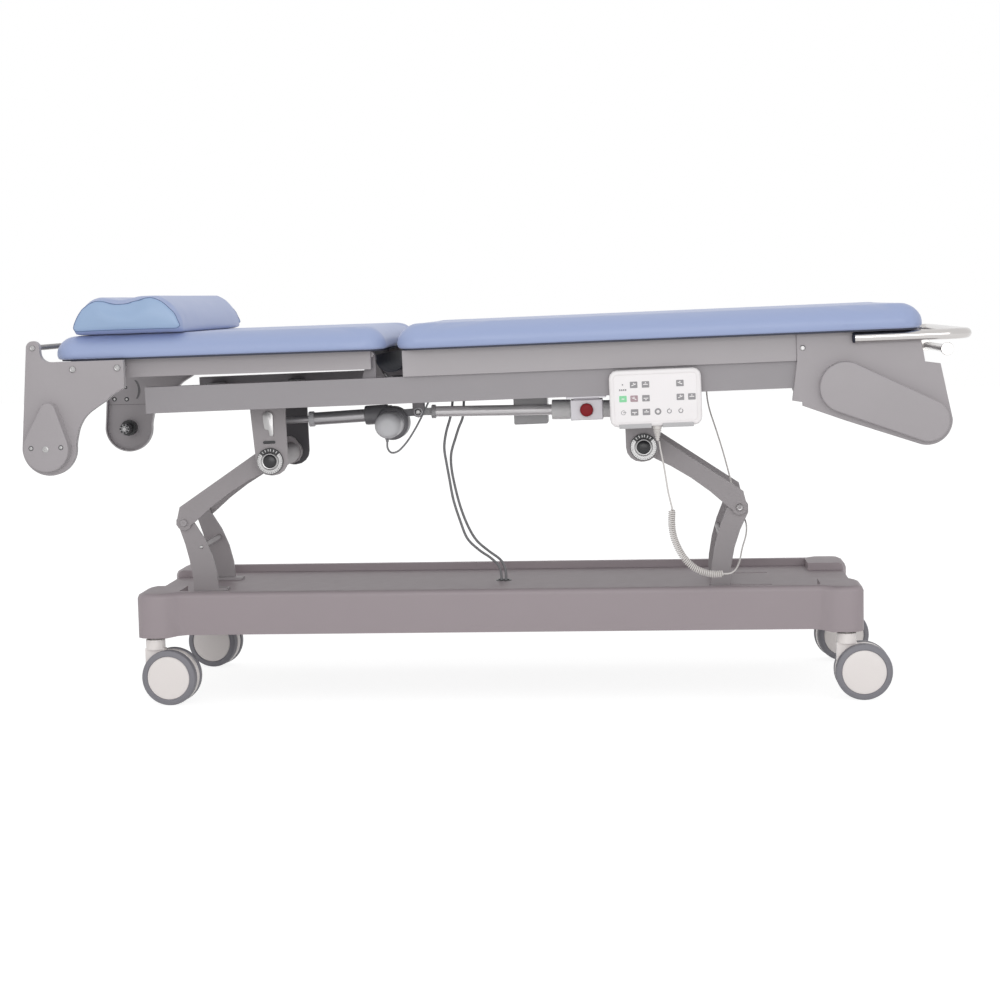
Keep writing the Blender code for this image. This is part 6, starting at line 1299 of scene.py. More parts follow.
HANDLE_RADIUS = 0.01125
HANDLE_HEAD_X = 0.785
HANDLE_FOOT_X = 1.0310
HANDLE_HEIGHT = 0.1035
HANDLE_BEND = 0.045
HANDLE_BEND_STEPS = 14
HANDLE_LEG_Y = FOOT_PLATE_OUTER + CUSHION_GAP + HANDLE_RADIUS
PLUG_LENGTH = 0.005
PLUG_RADIUS = HANDLE_RADIUS * 0.98
PLUG_PROFILE = (
    (0, 0, 0, 0),
    (HANDLE_RADIUS * 0.8, 0, 0, 0),
    (PLUG_RADIUS, 0, 0, 1),
    (PLUG_RADIUS, 0, PLUG_LENGTH, 1),
    (0, 0, PLUG_LENGTH, 1),
)


def add_handle(made):
    """Chrome push handle with a dark plug in each end."""
    corner_x = HANDLE_FOOT_X - HANDLE_BEND
    corner_y = HANDLE_LEG_Y - HANDLE_BEND
    start = HANDLE_HEAD_X + PLUG_LENGTH
    path = [(start, -HANDLE_LEG_Y), (start + PLUG_LENGTH * 2, -HANDLE_LEG_Y)]
    path += arc((corner_x, -corner_y), HANDLE_BEND, -90, 0, HANDLE_BEND_STEPS)
    path += arc((corner_x, corner_y), HANDLE_BEND, 0, 90, HANDLE_BEND_STEPS)
    path += [(start + PLUG_LENGTH * 2, HANDLE_LEG_Y), (start, HANDLE_LEG_Y)]
    points = [Vector((x, y, HANDLE_HEIGHT)) for x, y in path]
    handle = merged("chrome_handle", [tube_shell(points, HANDLE_RADIUS, TUBE_STEPS)], BED)
    finished(handle, made["chrome"], "couch", ["push_handle"])
    plugs = []
    for side in SIDES.values():
        place = Matrix.Translation((HANDLE_HEAD_X, side * HANDLE_LEG_Y, HANDLE_HEIGHT)) @ ALONG_X
        plugs.append(moved(turned_shell(edged(PLUG_PROFILE), TUBE_STEPS), place))
    finished(merged("handle_plugs", plugs, BED), made["film"], "couch")


ROLLER_X = 1.0054
ROLLER_HEIGHT = 0.0673
ROLLER_RADIUS = 0.00875
ROLLER_DISC_RADIUS = 0.014
ROLLER_HALF = 0.1775
ROLLER_DISC_IN = ROLLER_HALF - 0.006
ROLLER_PROFILE = (
    (ROLLER_RADIUS, 0, ROLLER_DISC_IN, 0),
    (ROLLER_DISC_RADIUS, -1, ROLLER_DISC_IN, 0),
    (ROLLER_DISC_RADIUS, 0, ROLLER_DISC_IN, 1),
    (ROLLER_DISC_RADIUS, 0, ROLLER_HALF, -1),
    (ROLLER_DISC_RADIUS, -1, ROLLER_HALF, 0),
    (ROLLER_RADIUS, 1, ROLLER_HALF, 0),
    (ROLLER_RADIUS, 0.5, ROLLER_HALF, -1.5),
    (ROLLER_RADIUS, -1, ROLLER_HALF, -1.5),
    (ROLLER_RADIUS, -1.5, ROLLER_HALF, -0.4),
    (0, 0, ROLLER_HALF, -0.4),
)


def add_roller(made):
    """Chrome guide roller with a ringed disc at each end."""
    half = edged(ROLLER_PROFILE)
    profile = [(radius, -along) for radius, along in reversed(half)] + half
    roller = turned("foot_roller", profile, BED @ Matrix.Translation((ROLLER_X, 0, ROLLER_HEIGHT)))
    finished(roller, made["chrome"], "guide_roll", ["guide_roller"])


# Dials and lever

BRACKET_FACE = 0.148 + 0.0086
DIAL_BACK = BRACKET_FACE + CUSHION_GAP
DIAL_FACE = -0.0048
DIAL_RADIUS = 0.030
DIAL_RIM = 0.0205
DIAL_SCALE_ANGLES = (142, 398)
SCALE_PROUD = 0.0009
SCALE_ROOT = 0.0004
DIAL_BLOCK_ANGLES = (52, 68, 84, 96, 112, 128)
DIAL_TICK_ANGLES = (150, 390)
DIAL_TICKS = 24
LONG_TICK = 0.0045
SHORT_TICK = 0.0028
TICKS_A_GROUP = 4
TICK_HALF = 0.0004
BLOCK_HALF = 0.0008
KNOB_RADIUS = 0.0152
KNOB_RIM = 0.0040
KNOB_RISE = 0.0135 + DIAL_FACE - KNOB_RIM
KNOB_STEPS = 9
DIAL_PLATE_PROFILE = (
    (0, 0, 0, 0),
    (DIAL_RADIUS, -0.6, 0, 0),
    (DIAL_RADIUS, 0, 0, -0.6),
    (DIAL_RADIUS, 0, 0, -4),
    (DIAL_RADIUS, -0.8, DIAL_FACE, 0),
    (0, 0, DIAL_FACE, 0),
)
DIAL_RING_PROFILE = (
    (KNOB_RADIUS, 0.4, DIAL_FACE, 0),
    (KNOB_RADIUS, 0.4, DIAL_FACE, -3.4),
    (KNOB_RADIUS, 2.2, DIAL_FACE, -3.8),
    (DIAL_RIM, -0.8, DIAL_FACE, -2.2),
    (DIAL_RIM, -0.4, DIAL_FACE, 0),
)


def sector(inner, outer, start, end, low, high, steps=40):
    """Flat ring sector between two angles, as a slab facing the near side."""
    outline = arc((0, 0), outer, start, end, steps) + arc((0, 0), inner, end, start, steps)
    return slab(outline, low, high)


def turned_block(low, high, angle):
    """Small block turned about the Y axis by an angle in degrees."""
    return moved(block(low, high), Matrix.Rotation(-math.radians(angle), 4, "Y"))


def dial_scale():
    """Bright scale sector, ring and short blocks of one dial."""
    start, end = DIAL_SCALE_ANGLES
    rim = DIAL_RADIUS - MILLIMETRE * 1.2
    shells = [
        sector(DIAL_RIM, rim, start, end, DIAL_FACE - SCALE_PROUD, DIAL_FACE + SCALE_ROOT),
        turned_shell(edged(DIAL_RING_PROFILE), FINE_STEPS, closed=True),
    ]
    for angle in DIAL_BLOCK_ANGLES:
        low = (DIAL_RIM + MILLIMETRE * 2, DIAL_FACE - BLOCK_HALF, -BLOCK_HALF)
        shells.append(turned_block(low, (DIAL_RADIUS - MILLIMETRE * 2, DIAL_FACE, BLOCK_HALF), angle))
    return shells


def dial_ticks():
    """Dark ticks of one dial's scale."""
    start, end = DIAL_TICK_ANGLES
    rim = DIAL_RADIUS - MILLIMETRE * 1.8
    shells = []
    for step in range(DIAL_TICKS):
        length = SHORT_TICK if step % TICKS_A_GROUP else LONG_TICK
        low = (rim - length, DIAL_FACE - MILLIMETRE * 1.2, -TICK_HALF)
        high = (rim, DIAL_FACE - MILLIMETRE * 0.6, TICK_HALF)
        shells.append(turned_block(low, high, start + (end - start) * step / (DIAL_TICKS - 1)))
    return shells


def add_dials(made):
    """Scale ring with a dark upper field and a black domed knob on each near bracket."""
    dome = [(KNOB_RADIUS, DIAL_FACE), (KNOB_RADIUS, DIAL_FACE - KNOB_RIM)]
    for step in range(1, KNOB_STEPS + 1):
        turn = math.pi / 2 * step / KNOB_STEPS
        radius = KNOB_RADIUS * math.cos(turn) if step < KNOB_STEPS else 0
        dome.append((radius, DIAL_FACE - KNOB_RIM - KNOB_RISE * math.sin(turn)))
    for end, x in (("head", HEAD_PIVOT_X), ("foot", HEAD_PIVOT_X + PIVOT_SPACING)):
        place = BED @ Matrix.Translation((x, -DIAL_BACK, -PIVOT_DROP))
        plate = turned(f"dial_plate_{end}", edged(DIAL_PLATE_PROFILE), place)
        finished(plate, made["black"], "couch", [f"tilt_dial_{end}"])
        finished(merged(f"dial_scale_{end}", dial_scale(), place), made["steel"], "couch")
        finished(merged(f"dial_ticks_{end}", dial_ticks(), place), made["black"], "couch")
        finished(turned(f"dial_knob_{end}", dome, place), made["black"], "couch")


POINTER_TOP = -0.012
POINTER_RADIUS = 0.0118
POINTER_GAUGE = 0.0040
POINTER_BEVEL = 0.0009
POINTER_LOWER = (
    (-0.0112, -0.034),
    (-0.0095, -0.0500),
    (-0.0060, -0.0535),
    (-0.0005, -0.0545),
    (0.0010, -0.0600),
    (0.0018, -0.0680),
    (0.0095, -0.0690),
    (0.0112, -0.0640),
    (0.0118, -0.0400),
)
SLOT_HEIGHT = -0.0825
SLOT_RIM_SIZE = (0.0150, 0.0042, 0.0041)
SLOT_SIZE = (0.0145, 0.0036, 0.0035)
SLOT_RIM_RADIUS = 0.0007
SLOT_DEPTH = 0.0012
SLOT_PROUD = 0.0001


def add_pointer(made):
    """Bright cast lever and the oblong slot under it on the head end's near bracket, the slot's opening a
    black slab of painted shade.
    """
    outline = arc((0, POINTER_TOP - POINTER_RADIUS), POINTER_RADIUS, 0, 180, 12) + list(POINTER_LOWER)
    place = BED @ Matrix.Translation((HEAD_PIVOT_X, 0, 0))
    blade = slab(outline, -DIAL_BACK - POINTER_GAUGE, -DIAL_BACK)
    lever = bevelled(merged("pointer_lever", [blade], place), POINTER_BEVEL)
    finished(lever, made["steel"], "couch", ["tilt_pointer"])
    rim = [Vector((x, -DIAL_BACK - SLOT_PROUD * 2, z + SLOT_HEIGHT)) for x, z in rounded_box(*SLOT_RIM_SIZE)]
    ring = merged("slot_rim", [tube_shell(rim, SLOT_RIM_RADIUS, 8, closed=True)], place)
    finished(ring, made["paint"], "couch")
    # Painted shade: a black slab stands for the shaded opening of the slot.
    dark = [(x, z + SLOT_HEIGHT) for x, z in rounded_box(*SLOT_SIZE)]
    gap = merged("slot_gap", [slab(dark, -DIAL_BACK - SLOT_PROUD, -DIAL_BACK + SLOT_DEPTH)], place)
    finished(gap, made["black"], "couch")


# Motors

def motor_frame(start, end):
    """Frame on a motor's pivot, with its x axis along the motor."""
    slope = math.atan((end.z - start.z) / (end.x - start.x))
    return Matrix.Translation(start) @ Matrix.Rotation(-slope, 4, "Y")


GEAR_RADIUS = 0.039
GEAR_HALF = 0.030
GEAR_EDGE = GEAR_HALF / 3
GEAR_OFFSET = 0.0624
GEAR_Z = -GEAR_RADIUS * 0.56
GEAR_END = -GEAR_OFFSET - GEAR_RADIUS
MOTOR_RADIUS = 0.030
MOTOR_REACH = 0.120
HEAD_TUBE_END = GEAR_END - 0.157
HEAD_TUBE_BORE = 0.0080
HEAD_TUBE_RADIUS = 0.0150
HEAD_NECK_RADIUS = 0.0200
HEAD_COLLAR_RADIUS = 0.0180
HEAD_CUP_RADIUS = 0.0225
HEAD_TUBE_PROFILE = (
    (HEAD_TUBE_BORE, 0, HEAD_TUBE_END, 4),
    (HEAD_TUBE_RADIUS, 0, HEAD_TUBE_END, 4),
    (HEAD_TUBE_RADIUS, 0, GEAR_END - GEAR_EDGE, 0),
    (HEAD_NECK_RADIUS, 0, GEAR_END - GEAR_EDGE, 2),
    (HEAD_NECK_RADIUS, 0, -GEAR_OFFSET, 0),
    (HEAD_TUBE_BORE, 0, -GEAR_OFFSET, 0),
)
HEAD_COLLAR_PROFILE = (
    (HEAD_TUBE_RADIUS, -0.2, HEAD_TUBE_END, 12.5),
    (HEAD_COLLAR_RADIUS, -0.5, HEAD_TUBE_END, 12.5),
    (HEAD_COLLAR_RADIUS, 0, HEAD_TUBE_END, 11.5),
    (HEAD_COLLAR_RADIUS, 0, HEAD_TUBE_END, 1),
    (HEAD_COLLAR_RADIUS, -1, HEAD_TUBE_END, 0),
    (HEAD_TUBE_BORE, 0, HEAD_TUBE_END, 0),
    (HEAD_TUBE_BORE, 0, HEAD_TUBE_END, 3),
)
HEAD_CUP_PROFILE = (
    (HEAD_TUBE_RADIUS, 0, GEAR_END, -26),
    (HEAD_CUP_RADIUS, -1, GEAR_END, -24),
    (HEAD_CUP_RADIUS, 0, GEAR_END, -20),
    (HEAD_CUP_RADIUS, 0, -GEAR_OFFSET, -10),
    (HEAD_TUBE_RADIUS, 0, -GEAR_OFFSET, -8),
)
CAN_END_PROFILE = (
    (MOTOR_RADIUS, 0, -GEAR_HALF, -4),
    (MOTOR_RADIUS, -1.5, -GEAR_HALF, -3),
    (MOTOR_RADIUS, -1.5, -GEAR_HALF, 0),
    (0, 0, -GEAR_HALF, 0),
)
CAN_FLAT_SHARE = 0.30
CAN_DOME = 0.0175
CAN_STEPS = 7
BOOT_PROFILE = ((0, 0.0140), (0.0052, 0.0140), (0.0050, 0.0060), (0.0036, 0.0048), (0.0034, 0), (0, 0))
PIN_EYE_RADIUS = 0.0115
PIN_EYE_BORE = 0.0053
PIN_EYE_FACES = (0.001, 0.010)
NECK_START = 0.006
NECK_FACES = (0.0020, 0.0088)
NECK_HALF = 0.0086
CRANK_EYE_RADIUS = 0.0190
CRANK_EYE_BORE = 0.0126
CRANK_EYE_HALF = 0.0055
CRANK_NECK_HALF = 0.0048
HEAD_ROD_RADIUS = 0.00735
HEAD_ROD_INSERT = 0.090
HEAD_ROD_NECK = (0.014, 0.030)
HEAD_ROD_END = 0.026
HEAD_ROD_NECK_HALF = 0.0055


def eye_shell(x, radius, bore, low, high):
    """Bored eye across the motor, as a closed ring."""
    rows = ((bore, 0, low, 0), (radius, -1, low, 0), (radius, 0, low, 1),
            (radius, 0, high, -1), (radius, -1, high, 0), (bore, 0, high, 0))
    return moved(turned_shell(edged(rows), SMALL_STEPS, closed=True), Matrix.Translation((x, 0, 0)))


def gear_shell(radius, place):
    """Round gear case with rounded rims, across the motor."""
    flat = radius - GEAR_EDGE
    half = [(0, -GEAR_HALF), (flat, -GEAR_HALF)]
    half += [(flat + a, -b) for a, b in reversed(arc((0, GEAR_HALF - GEAR_EDGE), GEAR_EDGE, 0, 90, 6))][1:]
    half += [(reach, -along) for reach, along in reversed(half)]
    return moved(turned_shell(half, FINE_STEPS), place)


def tube_on_axis(rows, steps=SMALL_STEPS):
    """Closed ring from profile rows, along the motor."""
    return moved(turned_shell(edged(rows), steps, closed=True), ALONG_X)


def add_head_motor(made):
    """Head lift motor: gear case, domed motor can, guide tube and collar."""
    start = PLACES["head_motor_swing"]
    place = motor_frame(start, PLACES["head_rod_slide"])
    spot = Matrix.Translation((-GEAR_OFFSET, 0, GEAR_Z))
    near, far = NECK_FACES
    low, high = PIN_EYE_FACES
    case = [
        gear_shell(GEAR_RADIUS, spot),
        tube_on_axis(HEAD_CUP_PROFILE),
        block((-GEAR_OFFSET, -far, -NECK_HALF), (-NECK_START, -near, NECK_HALF)),
        eye_shell(0, PIN_EYE_RADIUS, PIN_EYE_BORE, -high, -low),
    ]
    finished(merged("head_motor_case", case, place), made["motor"], "head_motor",
             ["head_lift_motor"])
    tube = merged("head_motor_tube", [tube_on_axis(HEAD_TUBE_PROFILE)], place)
    finished(tube, made["piston"], "head_motor")
    flat = MOTOR_RADIUS * CAN_FLAT_SHARE
    can = [(0, -MOTOR_REACH), (flat, -MOTOR_REACH + MILLIMETRE * 0.3)]
    for step in range(1, CAN_STEPS + 1):
        turn = math.pi / 2 * step / CAN_STEPS
        radius = flat + (MOTOR_RADIUS - flat) * math.sin(turn)
        can.append((radius, -MOTOR_REACH + CAN_DOME * (1 - math.cos(turn))))
    can += edged(CAN_END_PROFILE)
    piece = merged("head_motor_can", [moved(turned_shell(can, FINE_STEPS), spot)], place)
    finished(piece, made["motor_cap"], "head_motor")
    ring = merged("head_motor_collar", [tube_on_axis(HEAD_COLLAR_PROFILE, TUBE_STEPS)], place)
    finished(ring, made["motor_cap"], "head_motor")
    upright = Matrix.Translation(ROOT @ Vector(MOTOR_CABLE_ROUTE[0])) @ UPRIGHT
    boot = turned("head_motor_boot", BOOT_PROFILE, upright, SMALL_STEPS)
    finished(boot, made["motor"], "head_motor")
    end = -(start - PLACES["head_rod_slide"]).length
    neck_start, neck_end = HEAD_ROD_NECK
    rod = rod_profile(HEAD_ROD_RADIUS, -GEAR_OFFSET - HEAD_ROD_INSERT, end + HEAD_ROD_END)
    slider = [
        moved(turned_shell(rod, SMALL_STEPS), ALONG_X),
        block((end + neck_start, -CRANK_NECK_HALF, -HEAD_ROD_NECK_HALF),
              (end + neck_end, CRANK_NECK_HALF, HEAD_ROD_NECK_HALF)),
        eye_shell(end, CRANK_EYE_RADIUS, CRANK_EYE_BORE, -CRANK_EYE_HALF, CRANK_EYE_HALF),
    ]
    finished(merged("head_motor_rod", slider, place), made["piston"], "head_rod",
             ["head_lift_rod"])


PISTON_RADIUS = 0.0123
PISTON_PLACES = (0.038, 0.3795)
FERRULE_RADIUS = 0.0160
FERRULE_PLACES = (0.030, 0.040)
FERRULE_PROFILE = (
    (0, 0, FERRULE_PLACES[0], 0),
    (FERRULE_RADIUS, -1, FERRULE_PLACES[0], 0),
    (FERRULE_RADIUS, 0, FERRULE_PLACES[0], 1),
    (FERRULE_RADIUS, 0, FERRULE_PLACES[1], -1),
    (FERRULE_RADIUS, -1, FERRULE_PLACES[1], 0),
    (0, 0, FERRULE_PLACES[1], 0),
)
FOOT_COLLAR_X = 0.3102
FOOT_COLLAR_END = FOOT_COLLAR_X + 0.043
FOOT_COLLAR_RADIUS = 0.0230
FOOT_BARREL_RADIUS = 0.0200
FOOT_BORE = 0.0129
FOOT_GEAR_RADIUS = 0.026
FOOT_GEAR_OFFSET = 0.054
FOOT_NECK_START = 0.010
FOOT_NECK_END = 0.0135
FOOT_NECK_HALF = 0.0140
FOOT_CAN_RADIUS = FOOT_GEAR_RADIUS - GEAR_EDGE
FOOT_CAN_PROFILE = (
    (0, 0, GEAR_HALF, -2),
    (FOOT_CAN_RADIUS, 0, GEAR_HALF, -2),
    (FOOT_CAN_RADIUS, 0, MOTOR_REACH, -6),
    (FOOT_CAN_RADIUS, -4, MOTOR_REACH, -1),
    (0, 0, MOTOR_REACH, 0),
)


def add_foot_motor(made):
    """Foot lift motor: bright piston, ringed collar, housing, gear case and motor can, the piston and housing
    brightened past their own colour with painted light.
    """
    start = PLACES["foot_rod_swing"]
    end = PLACES["foot_motor_slide"]
    place = motor_frame(start, end)
    distance = (end - start).length
    rod = [moved(turned_shell(rod_profile(PISTON_RADIUS, *PISTON_PLACES), TUBE_STEPS), ALONG_X)]
    finished(merged("foot_motor_piston", rod, place), made["bright_tube_and_painted_light"], "foot_rod",
             ["foot_lift_rod"])
    near, far = NECK_FACES
    tip = [
        moved(turned_shell(edged(FERRULE_PROFILE), TUBE_STEPS), ALONG_X),
        block((NECK_START, near, -NECK_HALF), (FERRULE_PLACES[0] + MILLIMETRE, far, NECK_HALF)),
        eye_shell(0, PIN_EYE_RADIUS, PIN_EYE_BORE, *PIN_EYE_FACES),
    ]
    finished(merged("foot_motor_ferrule", tip, place), made["holder"], "foot_rod")
    gear_x = distance - FOOT_GEAR_OFFSET
    barrel_end = gear_x - GEAR_EDGE
    barrel = (
        (FOOT_BORE, 0, FOOT_COLLAR_X, 0),
        (FOOT_COLLAR_RADIUS, -1, FOOT_COLLAR_X, 0),
        (FOOT_COLLAR_RADIUS, 0, FOOT_COLLAR_X, 1),
        (FOOT_COLLAR_RADIUS, 0, FOOT_COLLAR_END, -1),
        (FOOT_COLLAR_RADIUS, -1, FOOT_COLLAR_END, 0),
        (FOOT_BARREL_RADIUS, 0, FOOT_COLLAR_END, 0),
        (FOOT_BARREL_RADIUS, 0, barrel_end, 0),
        (FOOT_BORE, 0, barrel_end, 0),
    )
    spot = Matrix.Translation((gear_x, 0, 0))
    case = [
        tube_on_axis(barrel, FINE_STEPS),
        gear_shell(FOOT_GEAR_RADIUS, spot),
        moved(turned_shell(edged(FOOT_CAN_PROFILE), FINE_STEPS), spot),
        block((gear_x + FOOT_NECK_START, -CRANK_NECK_HALF, -FOOT_NECK_HALF),
              (distance - FOOT_NECK_END, CRANK_NECK_HALF, FOOT_NECK_HALF)),
        eye_shell(distance, CRANK_EYE_RADIUS, CRANK_EYE_BORE, -CRANK_EYE_HALF, CRANK_EYE_HALF),
    ]
    finished(merged("foot_motor_case", case, place), made["light_motor"], "foot_motor",
             ["foot_lift_motor"])


BUTTON_RADIUS = 0.014
BUTTON_HEIGHT = 0.012
BUTTON_DOME = 0.0038
BUTTON_ROUND_SHARE = 0.8
BUTTON_STEPS = 7
BUTTON_STEM_RADIUS = 0.006
BUTTON_STEM = 0.0150
BUTTON_RIM_PROFILE = (
    (BUTTON_RADIUS, 0, 0, -0.6),
    (BUTTON_RADIUS, -0.8, 0, 0),
    (BUTTON_STEM_RADIUS, 0, 0, 0),
    (BUTTON_STEM_RADIUS, 0, BUTTON_STEM, 0),
    (0, 0, BUTTON_STEM, 0),
)


def add_button(made):
    """Red mushroom button."""
    place = Matrix.Translation(PLACES["emergency_press"]) @ Matrix.Rotation(-BED_TILT, 4, "Y")
    profile = [(0, -BUTTON_HEIGHT)]
    for step in range(1, BUTTON_STEPS + 1):
        turn = math.pi / 2 * step / BUTTON_STEPS
        radius = BUTTON_RADIUS * math.sin(turn) ** BUTTON_ROUND_SHARE
        profile.append((radius, -BUTTON_HEIGHT + BUTTON_DOME * (1 - math.cos(turn))))
    profile += edged(BUTTON_RIM_PROFILE)
    button = turned("red_button", profile, place)
    finished(button, made["red"], "emergency_button", ["estop_button"])


# Handset

HANDSET_X = 0.3622
HANDSET_MIDDLE = -0.00725
HANDSET_FRONT = 0.3266
HANDSET_HALF_WIDTH = 0.099
HANDSET_HALF_HEIGHT = 0.06125
PANEL_INSET = 0.0112
PANEL_CORNER = 0.0068
PANEL_DEPTH = 0.0012
PANEL_LOW = -HANDSET_FRONT + PANEL_DEPTH - 0.0004
PANEL_HIGH = -HANDSET_FRONT + PANEL_DEPTH + 0.0006
PANEL_BEVEL = 0.0002
KEY_COLUMNS = (-0.0700, -0.0460, -0.0206, 0.0042, 0.0286, 0.0532, 0.0778)
KEY_ROWS = (0.02925, -0.00045, -0.03005)
KEYS = (
    # column, row, kind, ink
    (1, 0, "rise", "ink"),
    (2, 0, "bed_up", "ink"),
    (5, 0, "fall", "ink"),
    (0, 1, "plain", "green_ink"),
    (1, 1, "fall", "red_ink"),
    (2, 1, "bed_down", "ink"),
    (5, 1, "rise", "ink"),
    (6, 1, "bed_up", "ink"),
    (0, 2, "dial", "ink"),
    (1, 2, "bed_down", "ink"),
    (2, 2, "bed_up", "ink"),
    (3, 2, "round", "ink"),
    (4, 2, "turn", "ink"),
    (5, 2, "turn", "ink"),
)
PRINT_LOW = -0.0005
PRINT_HIGH = 0.0006
SIGN_LOW = -0.0009
KEY_SIZE = (0.0080, 0.0068, 0.0012, 3)
DASH_SIZE = (0.0030, 0.0010, 0.0005, 2)
BAR_HALF = (0.0052, 0.0009)
BAR_TILTS = {"rise": 24, "fall": -24}
ARROW_HALF = 0.0022
ARROW_TIP = 0.0050
KEY_SECTORS = {
    # kind: inner radius, outer radius, first angle, last angle, steps
    "round": (0.0036, 0.0072, 0, 359.9, 24),
    "turn": (0.0034, 0.0052, 110, 410, 20),
    "dial": (0.0040, 0.0050, 20, 340, 20),
}
KEY_HANDS = {
    # kind: low x, low z, high x, high z
    "turn": (-0.0007, 0.0024, 0.0007, 0.0062),
    "dial": (-0.0008, -0.0006, 0.0060, 0.0008),
}
LAMP_PROFILE = ((0, 0.0004), (0.0016, 0.0004), (0.0016, -0.0005), (0, -0.0008))
LAMP_STEPS = 16
LAMP_RISE = 0.0010
MARKS = 4
MARK_START = -0.0762
MARK_STEP = 0.0042
MARK_DROP = 0.0104
MARK_SIZE = (0.0015, 0.0018, 0.0004, 2)
MARK_LOW = -0.0003
MARK_HIGH = 0.0004


def pressed_key(kind):
    """Printed square key: its ink part and the pale sign on it."""
    ink = [slab(rounded_box(*KEY_SIZE), PRINT_LOW, PRINT_HIGH)]
    if kind == "plain":
        return ink, [slab(rounded_box(*DASH_SIZE), SIGN_LOW, PRINT_HIGH)]
    half_x, half_z = BAR_HALF
    bar = turned_block((-half_x, SIGN_LOW, -half_z), (half_x, PRINT_HIGH, half_z), BAR_TILTS.get(kind, 0))
    arrow = [(-ARROW_HALF, ARROW_HALF), (ARROW_HALF, ARROW_HALF), (0, ARROW_TIP)]
    if kind == "bed_down":
        arrow = [(x, -z) for x, z in reversed(arrow)]
    return ink, [bar, slab(arrow, SIGN_LOW, PRINT_HIGH)]


def key_shells(kind):
    """Raised print of one key, around its own middle: ink parts and pale parts."""
    if kind not in KEY_SECTORS:
        return pressed_key(kind)
    inner, outer, first, last, steps = KEY_SECTORS[kind]
    ink = [sector(inner, outer, first, last, PRINT_LOW, PRINT_HIGH, steps)]
    if kind in KEY_HANDS:
        low_x, low_z, high_x, high_z = KEY_HANDS[kind]
        ink.append(block((low_x, PRINT_LOW, low_z), (high_x, PRINT_HIGH, high_z)))
    return ink, []


def add_handset(made):
    """Key panel, raised print and small lamps on the handset."""
    place = BED @ Matrix.Translation((HANDSET_X, 0, HANDSET_MIDDLE))
    outline = rounded_box(HANDSET_HALF_WIDTH - PANEL_INSET, HANDSET_HALF_HEIGHT - PANEL_INSET, PANEL_CORNER)
    panel = bevelled(merged("handset_panel", [slab(outline, PANEL_LOW, PANEL_HIGH)], place), PANEL_BEVEL, 1)
    finished(panel, made["panel"], "couch")
    prints = {"ink": [], "green_ink": [], "red_ink": [], "panel": []}
    for column, row, kind, colour in KEYS:
        spot = Matrix.Translation((KEY_COLUMNS[column], PANEL_LOW, KEY_ROWS[row]))
        ink, pale = key_shells(kind)
        prints[colour] += [moved(shell, spot) for shell in ink]
        prints["panel"] += [moved(shell, spot) for shell in pale]
    lamp = Matrix.Translation((KEY_COLUMNS[0], PANEL_LOW, KEY_ROWS[0] + LAMP_RISE))
    prints["ink"].append(moved(turned_shell(LAMP_PROFILE, LAMP_STEPS), lamp))
    for step in range(MARKS):
        spot = Matrix.Translation((MARK_START + step * MARK_STEP, PANEL_LOW, KEY_ROWS[0] - MARK_DROP))
        prints["ink"].append(moved(slab(rounded_box(*MARK_SIZE), MARK_LOW, MARK_HIGH), spot))
    for colour, shells in prints.items():
        finished(merged(f"keys_{colour}", shells, place), made[colour], "couch")


RELIEF_TOP_RADIUS = 0.0094
RELIEF_END_RADIUS = 0.0034
RELIEF_LENGTH = 0.0325
RELIEF_CUFF = 0.0070
RELIEF_RINGS = 5
RING_SHARES = ((0.80, 0), (0.80, 0.2), (1, 0.3), (0.97, 0.9))


def add_relief(made):
    """Ribbed strain relief under the handset."""
    low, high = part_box("handset_relief")
    centre = Vector(((low.x + high.x) / 2, (low.y + high.y) / 2, high.z))
    profile = [(0, 0), (RELIEF_TOP_RADIUS, 0), (RELIEF_TOP_RADIUS, RELIEF_CUFF)]
    first = RELIEF_CUFF + MILLIMETRE
    pitch = (RELIEF_LENGTH - first - MILLIMETRE) / RELIEF_RINGS
    for ring in range(RELIEF_RINGS):
        share = (ring + 0.5) / RELIEF_RINGS
        radius = RELIEF_TOP_RADIUS + (RELIEF_END_RADIUS - RELIEF_TOP_RADIUS) * share
        profile += [(radius * out, first + pitch * (ring + along)) for out, along in RING_SHARES]
    profile += [(RELIEF_END_RADIUS * 0.8, RELIEF_LENGTH), (0, RELIEF_LENGTH)]
    place = Matrix.Translation(centre) @ Matrix.Rotation(-BED_TILT, 4, "Y") @ UPRIGHT.inverted()
    relief = turned("cord_relief", profile, place, TUBE_STEPS)
    finished(relief, made["cord"], "couch", ["handset_relief"])


# Fasteners and small trim

BOLT_SHARES = ((0, 0.45), (0.42, 0.45), (0.46, 0.95), (0.62, 1), (0.88, 0.72), (1, 0.30))
BOLT_ROOT = -0.0004
RING_RADIUS = 0.0058
SMALL_RING_RADIUS = 0.0040
SCREW_SHARE = 0.62
SCREW_RADIUS = RING_RADIUS * SCREW_SHARE
SMALL_SCREW_RADIUS = SMALL_RING_RADIUS * SCREW_SHARE
PLATE_LEFT = -ROLL_REACH
BOLT_HEIGHT = BACK_RAIL_TOP - 0.017
BOLT_SPOTS = [PLATE_LEFT + HEAD_PLATE_WIDTH * share for share in (0.355, 0.923)]
COVER_FACE = 0.3850
SHEET_FACE = HEAD_PLATE_OUTER - SHEET_GAUGE
KNEE_FACE = 0.1118
POST_FACE = 0.1026
CLEVIS_X = -0.1862
CLEVIS_Z = -0.0346
CLEVIS_OUTER = 0.016
LEVEL = Matrix.Identity(4)
HEAD_KNEE = PLACES["lift"]
FOOT_KNEE = PLACES["foot_post_turn"]
